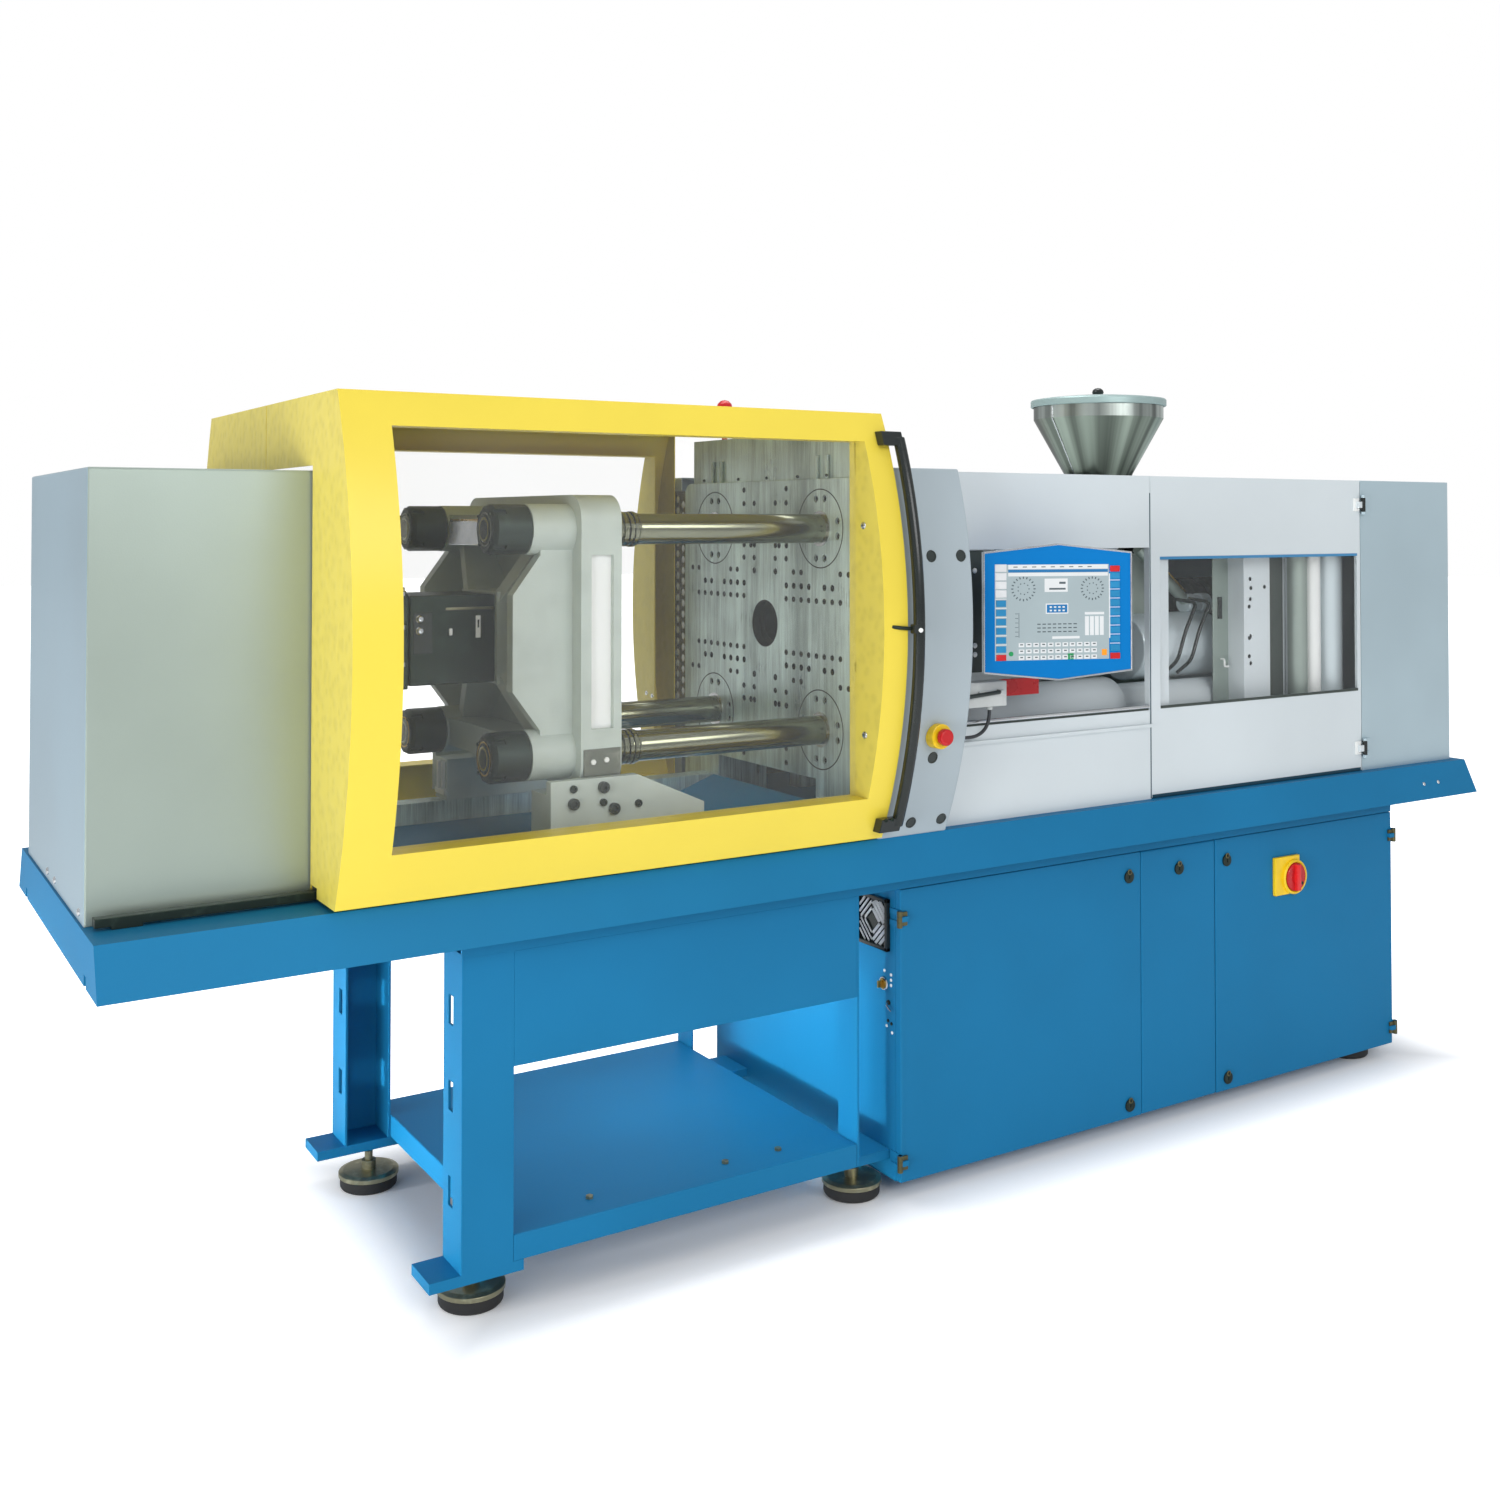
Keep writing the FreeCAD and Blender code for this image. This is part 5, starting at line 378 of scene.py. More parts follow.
@dataclass(frozen=True)
class PolishedSteel:
    """Hard chrome or bright turned steel, with faint rings round the X axis."""

    colour: Colour
    roughness: float = 0.12
    rings: float = 0.004

    def write(self, recipe: Recipe) -> None:
        """Writes the finish into a recipe."""
        rings = recipe.clouds(self.rings, 2.0, recipe.place((1, 0.02, 0.02)))
        smears = recipe.clouds(0.05, 3.0, recipe.place((0.2, 1, 1)))
        recipe.surface(
            Base_Color=recipe.mixed(dimmed(self.colour, 0.8), self.colour, smears.span(0.3, 0.7)),
            Roughness=self.roughness + (smears - 0.5) * 0.1 + (rings - 0.5) * 0.06,
            Metallic=1.0,
            Normal=recipe.relief(rings, 0.00006, 0.5),
        )


@dataclass(frozen=True)
class SpunSteel:
    """Sheet stainless steel rolled into a cone: dark and bright bands of painted reflection that fan out
    from its axis.
    """

    colour: Colour
    axis: tuple[float, float]

    def write(self, recipe: Recipe) -> None:
        """Writes the finish into a recipe."""
        centred = recipe.place(shift=(-self.axis[0], -self.axis[1], 0))
        across, along, high = recipe.parts(centred)
        # the base colour runs from a fifth of the steel's colour to all of it by angle: painted reflection,
        # also used a little for roughness
        angle = recipe.maths("ARCTAN2", along, across)
        fan = recipe.node("ShaderNodeCombineXYZ", None, {0: angle * 1.0, 1: high * 0.05})
        painted_reflection_streaks = recipe.clouds(0.4, 3.0, fan.outputs[0])
        grain = recipe.clouds(0.004, 2.0, fan.outputs[0])
        recipe.surface(
            Base_Color=recipe.mixed(dimmed(self.colour, 0.2), self.colour, painted_reflection_streaks.span(0.36, 0.66)),
            Roughness=0.3 + (painted_reflection_streaks - 0.5) * 0.1 + (grain - 0.5) * 0.1,
            Metallic=1.0,
            Normal=recipe.relief(grain, 0.0001, 0.4),
        )


@dataclass(frozen=True)
class Moulded:
    """Moulded plastic or rubber with a fine grain."""

    colour: Colour
    roughness: float = 0.4
    grain: float = 0.0009
    depth: float = 0.00005

    def write(self, recipe: Recipe) -> None:
        """Writes the finish into a recipe."""
        grain = recipe.clouds(self.grain, 2.0)
        wear = recipe.clouds(0.05, 3.0)
        recipe.surface(
            Base_Color=recipe.mixed(dimmed(self.colour, 0.88), self.colour, wear.span(0.3, 0.7)),
            Roughness=self.roughness + (wear - 0.5) * 0.14,
            Normal=recipe.relief(grain, self.depth, 0.6),
        )


@dataclass(frozen=True)
class DarkMetal:
    """Blued or phosphated steel: a dull dark metal with paler rubbed patches."""

    colour: Colour
    roughness: float = 0.42
    metal: float = 0.7

    def write(self, recipe: Recipe) -> None:
        """Writes the finish into a recipe."""
        rubbed = recipe.clouds(0.03, 5.0)
        pits = recipe.clouds(0.002, 2.0)
        recipe.surface(
            Base_Color=recipe.mixed(self.colour, dimmed(self.colour, 1.8), rubbed.span(0.5, 0.8)),
            Roughness=self.roughness + (rubbed - 0.5) * 0.25,
            Metallic=self.metal,
            Normal=recipe.relief(pits, 0.0001, 0.4),
        )


@dataclass(frozen=True)
class ClearSheet:
    """Clear polycarbonate: nearly all of the light goes through, with faint wiping marks."""

    tint: Colour
    body: float = 0.03

    def write(self, recipe: Recipe) -> None:
        """Writes the finish into a recipe."""
        wiped = recipe.clouds(0.3, 3.0)
        recipe.surface(
            Base_Color=self.tint,
            Roughness=0.06 + (wiped - 0.5) * 0.05,
            Alpha=self.body + (wiped - 0.5) * 0.02,
        )


@dataclass(frozen=True)
class Lit:
    """A lit patch of a screen behind a satin cover."""

    colour: Colour
    light: float = 0.6

    def write(self, recipe: Recipe) -> None:
        """Writes the finish into a recipe."""
        haze = recipe.clouds(0.09, 2.0)
        tone = recipe.mixed(dimmed(self.colour, 0.93), self.colour, haze.span(0.3, 0.7))
        recipe.surface(
            Base_Color=dimmed(self.colour, 0.3),
            Roughness=0.25,
            Emission_Color=tone,
            Emission_Strength=self.light,
        )


HOPPER_AXIS = (0.930, 0.0)


class Finish(Enum):
    """The finishes of the machine; each name that the record knows is its material slot."""

    BED_BLUE = PowderCoat(shade(26, 114, 160), 0.5, shine=0.12)
    COVER_GREY = PowderCoat(shade(206, 214, 217), 0.33, clouding=0.03)
    SATIN_GREY = PowderCoat(shade(163, 176, 168), 0.36, clouding=0.04, metal=0.6)
    # a bluer, paler copy of the left cover's grey for its left face: painted light, that side lit more from
    # the left
    SIDE_GREY = PowderCoat(shade(163, 186, 198), 0.36, clouding=0.04, metal=0.6)
    END_GREY = PowderCoat(shade(186, 206, 214), 0.36, clouding=0.04, metal=0.5)
    COLUMN_GREY = PowderCoat(shade(164, 176, 182), 0.34)
    GATE_YELLOW = PowderCoat(shade(230, 207, 72), 0.34, clouding=0.03)
    GATE_HAMMER = HammerCoat(shade(208, 192, 84))
    CASTING_GREY = CastPaint(shade(188, 199, 192))
    GROUND_STEEL = GroundSteel(shade(190, 206, 199))
    HARD_CHROME = PolishedSteel(shade(142, 144, 122), 0.16)
    STAINLESS = SpunSteel(shade(176, 186, 172), HOPPER_AXIS)
    # a paler copy of the cone's steel for the band round the top: painted reflection on the same sheet
    HOPPER_BAND = SpunSteel(shade(218, 228, 222), HOPPER_AXIS)
    BRIGHT_STEEL = PolishedSteel(shade(222, 222, 220), 0.24)
    DARK_STEEL = DarkMetal(shade(44, 55, 49))
    ZINC = DarkMetal(shade(150, 146, 120), 0.34, 0.9)
    RUBBER = Moulded(shade(34, 34, 34), 0.62, 0.002, 0.0002)
    CLEAR_PANE = ClearSheet(shade(235, 240, 240))
    RED_PLASTIC = Moulded(shade(196, 24, 30), 0.28)
    YELLOW_PLASTIC = Moulded(shade(245, 205, 30), 0.34)
    BLACK_PLASTIC = Moulded(shade(28, 34, 33), 0.22)
    GREY_PLASTIC = Moulded(shade(206, 210, 208), 0.36)
    PANEL_BLUE = PowderCoat(shade(4, 112, 182), 0.34, clouding=0.03, shine=0.1)
    CABLE_JACKET = Moulded(shade(52, 55, 58), 0.45)
    SCREEN_GREY = Lit(shade(176, 192, 197))
    SCREEN_WHITE = Lit(shade(238, 242, 244))
    SCREEN_BLUE = Lit(shade(38, 124, 186))
    SCREEN_MARK = Lit(shade(92, 104, 110))
    KEY_GREY = Moulded(shade(214, 216, 218), 0.34)
    KEY_BLUE = Moulded(shade(20, 128, 178), 0.34)
    KEY_GREEN = Moulded(shade(20, 140, 80), 0.34)
    KEY_ORANGE = Moulded(shade(250, 150, 20), 0.34)
    SIGNAL_RED = Moulded(shade(226, 40, 40), 0.26)
    BRASS = PolishedSteel(shade(190, 160, 90), 0.28)
    BRONZE = DarkMetal(shade(98, 94, 66), 0.4)
    SILVER_TRIM = PolishedSteel(shade(225, 228, 230), 0.2)
    SLAT_GREY = Moulded(shade(178, 182, 184), 0.36)
    WHITE_PAINT = PowderCoat(shade(232, 234, 232), 0.34)
    TRIM_BLUE = PowderCoat(shade(64, 132, 178), 0.34)
    TRIM_DARK = PowderCoat(shade(24, 62, 78), 0.4)
    # dark grey standing in for the shade inside the covers, in gaps and in openings: painted shade
    INNER_DARK = PowderCoat(shade(60, 68, 64), 0.5)
    # near black for the insides of bores, holes and counterbores and the ring round each flange: painted
    # shade
    BORE_DARK = Moulded(shade(16, 18, 17), 0.6)
    # pale paint on the cylinders and pipes inside the covers stands in for the bright reflections of their
    # steel: painted reflection
    CYLINDER_STEEL = PowderCoat(shade(214, 226, 230), 0.26, clouding=0.04, metal=0.25)
    PLATE_STEEL = DarkMetal(shade(118, 122, 112), 0.36, 0.8)
    LID_GREY = PowderCoat(shade(160, 182, 180), 0.34, metal=0.3)
    PLUG_GREY = Moulded(shade(44, 52, 50), 0.3)

    def slot(self) -> str:
        """Gives the record's material slot that the finish belongs to."""
        return SLOT_OF.get(self.name, self.name.lower())

    def material(self) -> bpy.types.Material:
        """Gives the finish's material, made on its first use."""
        name = "finish_" + self.name.lower()
        made = bpy.data.materials.get(name)
        if made is None:
            made = bpy.data.materials.new(name)
            made.use_nodes = True
            self.value.write(Recipe(made.node_tree))
        return made


SLOT_OF = {name: slot for slot, names in {
    "cover_grey": "SATIN_GREY END_GREY SIDE_GREY INNER_DARK CYLINDER_STEEL",
    "panel_blue": "TRIM_DARK TRIM_BLUE SCREEN_BLUE KEY_BLUE",
    "gate_yellow": "GATE_HAMMER",
    "hard_chrome": "BRIGHT_STEEL SILVER_TRIM",
    "zinc": "BRASS BRONZE",
    "black_plastic": "CABLE_JACKET",
    "grey_plastic": "SCREEN_GREY SCREEN_WHITE SCREEN_MARK KEY_GREY KEY_GREEN SLAT_GREY WHITE_PAINT"
                    " PLUG_GREY",
    "yellow_plastic": "KEY_ORANGE",
    "red_plastic": "SIGNAL_RED",
    "dark_steel": "BORE_DARK PLATE_STEEL",
    "stainless": "LID_GREY HOPPER_BAND",
}.items() for name in names.split()}


def linked(name: str, data: Any) -> bpy.types.Object:
    """Makes an object of some data and links it into the scene."""
    made = bpy.data.objects.new(name, data)
    bpy.context.scene.collection.objects.link(made)
    return made


def circle(sides: int) -> list[float]:
    """Gives the angles of a circle's corners."""
    return [2 * math.pi * n / sides for n in range(sides)]


def lying(foot: Point, axis: Point) -> Matrix:
    """Gives the axes whose Z starts at a foot and runs along an axis."""
    return Matrix.Translation(Vector(foot)) @ Vector(axis).to_track_quat("Z", "Y").to_matrix().to_4x4()


def round_x(degrees: float) -> Vector:
    """Gives the unit vector at an angle about the X axis."""
    turn = math.radians(degrees)
    return Vector((0, math.cos(turn), math.sin(turn)))


@dataclass(frozen=True)
class Patch:
    """Faces of a node that get a finish of their own, by where they face or lie, in millimetres."""

    finish: Finish
    facing: Point | None = None
    low: Point = (-9999.0, -9999.0, -9999.0)
    high: Point = (9999.0, 9999.0, 9999.0)

    def holds(self, face: bmesh.types.BMFace) -> bool:
        """Tells whether a face belongs to the patch."""
        if self.facing is not None and face.normal.dot(Vector(self.facing)) < SAME_WAY:
            return False
        middle = face.calc_center_median() / MM
        return all(a <= v <= b for a, v, b in zip(self.low, middle, self.high))


@dataclass(frozen=True)
class Dressing:
    """How one node of the frame is dressed: its finish, how soft its edges are and its patches."""

    finish: Finish
    edge: float = 0.0
    patches: tuple[Patch, ...] = ()


SHARP = math.radians(32)
FLAT = math.radians(0.5)


def flat_regions(mesh: bmesh.types.BMesh) -> dict[int, float]:
    """Gives the mean width of the smooth region that each face belongs to.

    Args:
        mesh: The merged mesh.

    Returns:
        Each face's index and its region's width: twice its area over its rim.
    """
    widths: dict[int, float] = {}
    for start in mesh.faces:
        if start.index in widths:
            continue
        region, waiting, rim = {start.index: start}, [start], 0.0
        while waiting:
            for edge in waiting.pop().edges:
                if len(edge.link_faces) != 2 or edge.calc_face_angle(0.0) > SHARP:
                    rim += edge.calc_length()
                    continue
                for face in edge.link_faces:
                    if face.index not in region:
                        region[face.index] = face
                        waiting.append(face)
        width = 2 * sum(face.calc_area() for face in region.values()) / max(rim, 1e-6)
        widths.update(dict.fromkeys(region, width))
    return widths


def mark_edges(mesh: bmesh.types.BMesh, width: float) -> None:
    """Marks how far each sharp outer edge may be rounded, from the narrower region beside it.

    Args:
        mesh: The merged mesh.
        width: The wanted radius, in metres.
    """
    mesh.faces.index_update()
    widths = flat_regions(mesh)
    layer = mesh.edges.layers.float.new("bevel_weight_edge")
    for edge in mesh.edges:
        if len(edge.link_faces) == 2 and edge.is_convex and edge.calc_face_angle(0.0) > SHARP:
            narrow = min(widths[face.index] for face in edge.link_faces)
            edge[layer] = min(1.0, 0.4 * narrow / width)


def round_edges(piece: bpy.types.Object, width: float) -> None:
    """Rounds a piece's marked edges.

    Args:
        piece: The piece.
        width: The wanted radius, in metres.
    """
    soft = piece.modifiers.new("soft_edges", "BEVEL")
    soft.limit_method = "WEIGHT"
    soft.segments = 2
    soft.width = width
    soft.use_clamp_overlap = False
    soft.loop_slide = False


def bends(edge: bmesh.types.BMEdge) -> bool:
    """Tells whether two faces meet gently at an edge, as the facets of a curve do."""
    return len(edge.link_faces) == 2 and FLAT < edge.calc_face_angle(0.0) < SHARP


def shade_curves(mesh: bpy.types.Mesh) -> None:
    """Smooths the shading of a mesh's curved faces and keeps its flat ones flat."""
    work = bmesh.new()
    work.from_mesh(mesh)
    widths = {}
    for face in work.faces:
        bent = sum(edge.calc_length() for edge in face.edges if bends(edge))
        widths[face] = 2 * face.calc_area() / bent if bent else math.inf
    for face in work.faces:
        narrow = [min(widths[other] for other in edge.link_faces) for edge in face.edges if bends(edge)]
        face.smooth = bool(narrow) and widths[face] < 3 * max(narrow)
    for edge in work.edges:
        edge.smooth = len(edge.link_faces) != 2 or edge.calc_face_angle(0.0) < SHARP
    work.to_mesh(mesh)
    work.free()


def spoilt(piece: bpy.types.Object, plain: BVHTree) -> float:
    """Gives the area, in square metres, that rounding has turned over."""
    graph = bpy.context.evaluated_depsgraph_get()
    mesh = piece.evaluated_get(graph).data
    mesh.calc_loop_triangles()
    area = 0.0
    for part in mesh.loop_triangles:
        middle = sum((mesh.vertices[n].co for n in part.vertices), Vector()) / 3
        normal = plain.find_nearest(middle)[1]
        if normal.dot(part.normal) < TURNED_OVER:
            area += part.area
    return area


def node_mesh(node: str, dressing: Dressing, merged: bool) -> bpy.types.Mesh:
    """Copies a CAD node's mesh, with its patches and the marks of its edges.

    Args:
        node: The node's name.
        dressing: Its finish, edge and patches.
        merged: True to join the triangles of a plane into one face.

    Returns:
        The mesh.
    """
    mesh = bpy.data.meshes.new(node + "_skin")
    work = bmesh.new()
    work.from_mesh(frame["nodes"][node].data)
    bmesh.ops.remove_doubles(work, verts=work.verts, dist=WELD)
    if merged:
        bmesh.ops.dissolve_limit(work, angle_limit=PLANE, use_dissolve_boundaries=False,
                                 verts=work.verts, edges=work.edges)
    if dressing.edge:
        mark_edges(work, dressing.edge)
    for face in work.faces:
        for number, patch in enumerate(dressing.patches):
            if patch.holds(face):
                face.material_index = number + 1
    work.to_mesh(mesh)
    work.free()
    for name in ("custom_normal", "UVMap"):
        if name in mesh.attributes:
            mesh.attributes.remove(mesh.attributes[name])
    for finish in (dressing.finish, *(patch.finish for patch in dressing.patches)):
        mesh.materials.append(finish.material())
    return mesh


def dress_node(node: str, body: str, dressing: Dressing) -> bpy.types.Object:
    """Makes the shown piece of a CAD node, its edges rounded as far as its faces stay whole.

    Args:
        node: The node's name.
        body: The body that it rides on.
        dressing: Its finish, edge and patches.

    Returns:
        The piece.
    """
    source = frame["nodes"][node].data
    plain = BVHTree.FromPolygons([corner.co for corner in source.vertices],
                                 [face.vertices for face in source.polygons])
    piece = settle(node_mesh(node, dressing, False), node + "_skin", body)
    whole = piece.data
    for merged, share in EDGE_TRIES:
        if not dressing.edge:
            break
        piece.data = node_mesh(node, dressing, merged)
        shade_curves(piece.data)
        round_edges(piece, dressing.edge * share)
        if spoilt(piece, plain) < SPOILT_LIMIT:
            break
        piece.modifiers.clear()
        piece.data = whole
    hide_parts(node)
    return piece


def settle(mesh: bpy.types.Mesh, name: str, body: str) -> bpy.types.Object:
    """Puts a finished mesh into the scene as a piece.

    Args:
        mesh: The mesh, in the frame's own axes.
        name: The piece's name.
        body: The body that it rides on.

    Returns:
        The piece.
    """
    shade_curves(mesh)
    piece = linked(name, mesh)
    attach(piece, body)
    LOG.info("%s on %s", name, body)
    return piece


def rounded_route(route: Sequence[Point], bend: float) -> list[Vector]:
    """Gives a route of straight runs whose corners are arcs.

    Args:
        route: Its corners.
        bend: The distance from a corner at which its arc starts.

    Returns:
        The points of the rounded line.
    """
    corners = [Vector(point) for point in route]
    line = [corners[0]]
    for before, corner, after in zip(corners, corners[1:], corners[2:]):
        start = corner + (before - corner).normalized() * bend
        end = corner + (after - corner).normalized() * bend
        for step in range(7):
            t = step / 6
            line.append(start * (1 - t) ** 2 + corner * 2 * t * (1 - t) + end * t ** 2)
    return line + [corners[-1]]


class Form:
    """Solids in millimetres, gathered by finish into pieces of one body."""

    def __init__(self, name: str, body: str, frame_at: Matrix | None = None) -> None:
        """Starts empty.

        Args:
            name: The name that its pieces start with.
            body: The body that they ride on.
            frame_at: Where its own axes lie, or None for the machine's.
        """
        self.name = name
        self.body = body
        self.frame_at = frame_at or Matrix()
        self.meshes: dict[Finish, bmesh.types.BMesh] = {}

    def take(self, part: bmesh.types.BMesh, finish: Finish) -> None:
        """Adds a solid, its faces turned outwards."""
        bmesh.ops.recalc_face_normals(part, faces=part.faces)
        step = bpy.data.meshes.new("step")
        part.to_mesh(step)
        part.free()
        self.meshes.setdefault(finish, bmesh.new()).from_mesh(step)
        bpy.data.meshes.remove(step)

    def block(self, x: Span, y: Span, z: Span, finish: Finish, edge: float = 0.0) -> None:
        """Adds a box with rounded edges.

        Args:
            x: Its reach along X.
            y: Its reach along Y.
            z: Its reach along Z.
            finish: Its finish.
            edge: The radius of its edges.
        """
        part = bmesh.new()
        size = [abs(pair[1] - pair[0]) for pair in (x, y, z)]
        middle = Vector([(pair[1] + pair[0]) / 2 for pair in (x, y, z)])
        bmesh.ops.create_cube(part, size=1.0, matrix=Matrix.Diagonal((*size, 1.0)))
        if edge:
            bmesh.ops.bevel(part, geom=part.edges[:], offset=min(edge, min(size) * 0.45), segments=2,
                            affect="EDGES", profile=0.5)
        bmesh.ops.transform(part, matrix=Matrix.Translation(middle), verts=part.verts)
        self.take(part, finish)

    def turned(self, foot: Point, axis: Point, profile: Sequence[tuple[float, float]],
               finish: Finish, sides: int = 28) -> None:
        """Adds a turned solid.

        Args:
            foot: Where its axis starts.
            axis: The way its axis runs.
            profile: Its outline: the way along the axis and the radius there, from end to end.
            finish: Its finish.
            sides: How many sides it has.
        """
        part = bmesh.new()
        rings = []
        for along, radius in profile:
            rings.append([part.verts.new((radius * math.cos(t), radius * math.sin(t), along))
                          for t in (circle(sides) if radius else [0.0])])
        for ring, following in zip(rings, rings[1:]):
            for n in range(sides):
                corners = [ring[n % len(ring)], ring[(n + 1) % len(ring)],
                           following[(n + 1) % len(following)], following[n % len(following)]]
                part.faces.new(list(dict.fromkeys(corners)))
        for ring in (rings[0], rings[-1]):
            if len(ring) > 1:
                part.faces.new(ring)
        bmesh.ops.transform(part, matrix=lying(foot, axis), verts=part.verts)
        self.take(part, finish)

    def rod(self, foot: Point, axis: Point, length: float, radius: float, finish: Finish,
            edge: float = 0.5, sides: int = 20) -> None:
        """Adds a round bar with chamfered ends."""
        profile = [(0, radius - edge), (edge, radius), (length - edge, radius),
                   (length, radius - edge)]
        self.turned(foot, axis, profile, finish, sides)

    def hoop(self, foot: Point, axis: Point, radii: Span, depth: float, finish: Finish,
             sides: int = 32) -> None:
        """Adds a flat ring.

        Args:
            foot: The middle of its back.
            axis: The way that it faces.
            radii: Its inner and outer radius.
            depth: Its depth.
            finish: Its finish.
            sides: How many sides it has.
        """
        lie = lying(foot, axis)
        rings = []
        for radius, along in ((radii[0], 0), (radii[1], 0), (radii[1], depth), (radii[0], depth)):
            rings.append([lie @ Vector((radius * math.cos(t), radius * math.sin(t), along))
                          for t in circle(sides)])
        self.loft(rings, finish, closed=False)

    def slab(self, outline: Sequence[tuple[float, float]], depth: Span, finish: Finish) -> None:
        """Adds an outline in the XY plane, drawn out along Z.

        Args:
            outline: Its corners.
            depth: Its reach along Z.
            finish: Its finish.
        """
        part = bmesh.new()
        base = part.faces.new([part.verts.new((a, b, depth[0])) for a, b in outline])
        drawn = bmesh.ops.extrude_face_region(part, geom=[base])["geom"]
        tops = [item for item in drawn if isinstance(item, bmesh.types.BMVert)]
        bmesh.ops.translate(part, vec=(0, 0, depth[1] - depth[0]), verts=tops)
        self.take(part, finish)

    def loft(self, rings: Sequence[Sequence[Point]], finish: Finish, closed: bool = True) -> None:
        """Adds a skin through rings of the same number of points.

        Args:
            rings: The rings, one after another.
            finish: Its finish.
            closed: True to close both ends, False to join the last ring to the first.
        """
        part = bmesh.new()
        made = [[part.verts.new(point) for point in ring] for ring in rings]
        count = len(made[0])
        pairs = list(zip(made, made[1:])) + ([] if closed else [(made[-1], made[0])])
        for ring, following in pairs:
            for n in range(count):
                part.faces.new((ring[n], ring[(n + 1) % count], following[(n + 1) % count],
                                following[n]))
        if closed:
            part.faces.new(made[0])
            part.faces.new(made[-1])
        self.take(part, finish)

    def pipe(self, route: Sequence[Point], radius: float, finish: Finish, bend: float = 20.0,
             sides: int = 14) -> None:
        """Adds a bent pipe.

        Args:
            route: The corners of its line.
            radius: Its radius.
            finish: Its finish.
            bend: How far before each corner it starts to bend.
            sides: How many sides it has.
        """
        line = rounded_route(route, bend)
        heading = (line[1] - line[0]).normalized()
        across = heading.orthogonal().normalized()
        rings = []
        for number, point in enumerate(line):
            ahead = line[min(number + 1, len(line) - 1)] - line[max(number - 1, 0)]
            across = heading.rotation_difference(ahead.normalized()) @ across
            heading = ahead.normalized()
            upward = heading.cross(across)
            rings.append([point + across * (radius * math.cos(t)) + upward * (radius * math.sin(t))
                          for t in circle(sides)])
        self.loft(rings, finish)

    def pieces(self) -> list[bpy.types.Object]:
        """Puts the gathered solids into the scene, one piece for each finish."""
        made = []
        lie = self.frame_at @ Matrix.Scale(MM, 4)
        for finish, work in self.meshes.items():
            name = self.name + "_" + finish.name.lower()
            mesh = bpy.data.meshes.new(name)
            bmesh.ops.transform(work, matrix=lie, verts=work.verts)
            work.to_mesh(mesh)
            work.free()
            mesh.materials.append(finish.material())
            made.append(settle(mesh, name, self.body))
        return made


class Skin:
    """The surface of a CAD node, on which small pieces are seated."""

    def __init__(self, node: str) -> None:
        """Reads the node's mesh."""
        mesh = frame["nodes"][node].data
        self.tree = BVHTree.FromPolygons([corner.co for corner in mesh.vertices],
                                         [face.vertices for face in mesh.polygons])

    def seat(self, place: Point, way: Point) -> tuple[Vector, Vector]:
        """Finds where a line from outside meets the surface.

        Args:
            place: A place on the line, in millimetres.
            way: The way back out along the line.

        Returns:
            The seat in millimetres and the surface's normal there.
        """
        outward = Vector(way).normalized()
        start = (Vector(place) + outward * SEAT_START) * MM
        hit, normal, _, _ = self.tree.ray_cast(start, -outward, SEAT_REACH)
        if hit is None:
            raise ValueError(f"nothing to sit on at {place}")
        return hit / MM, normal


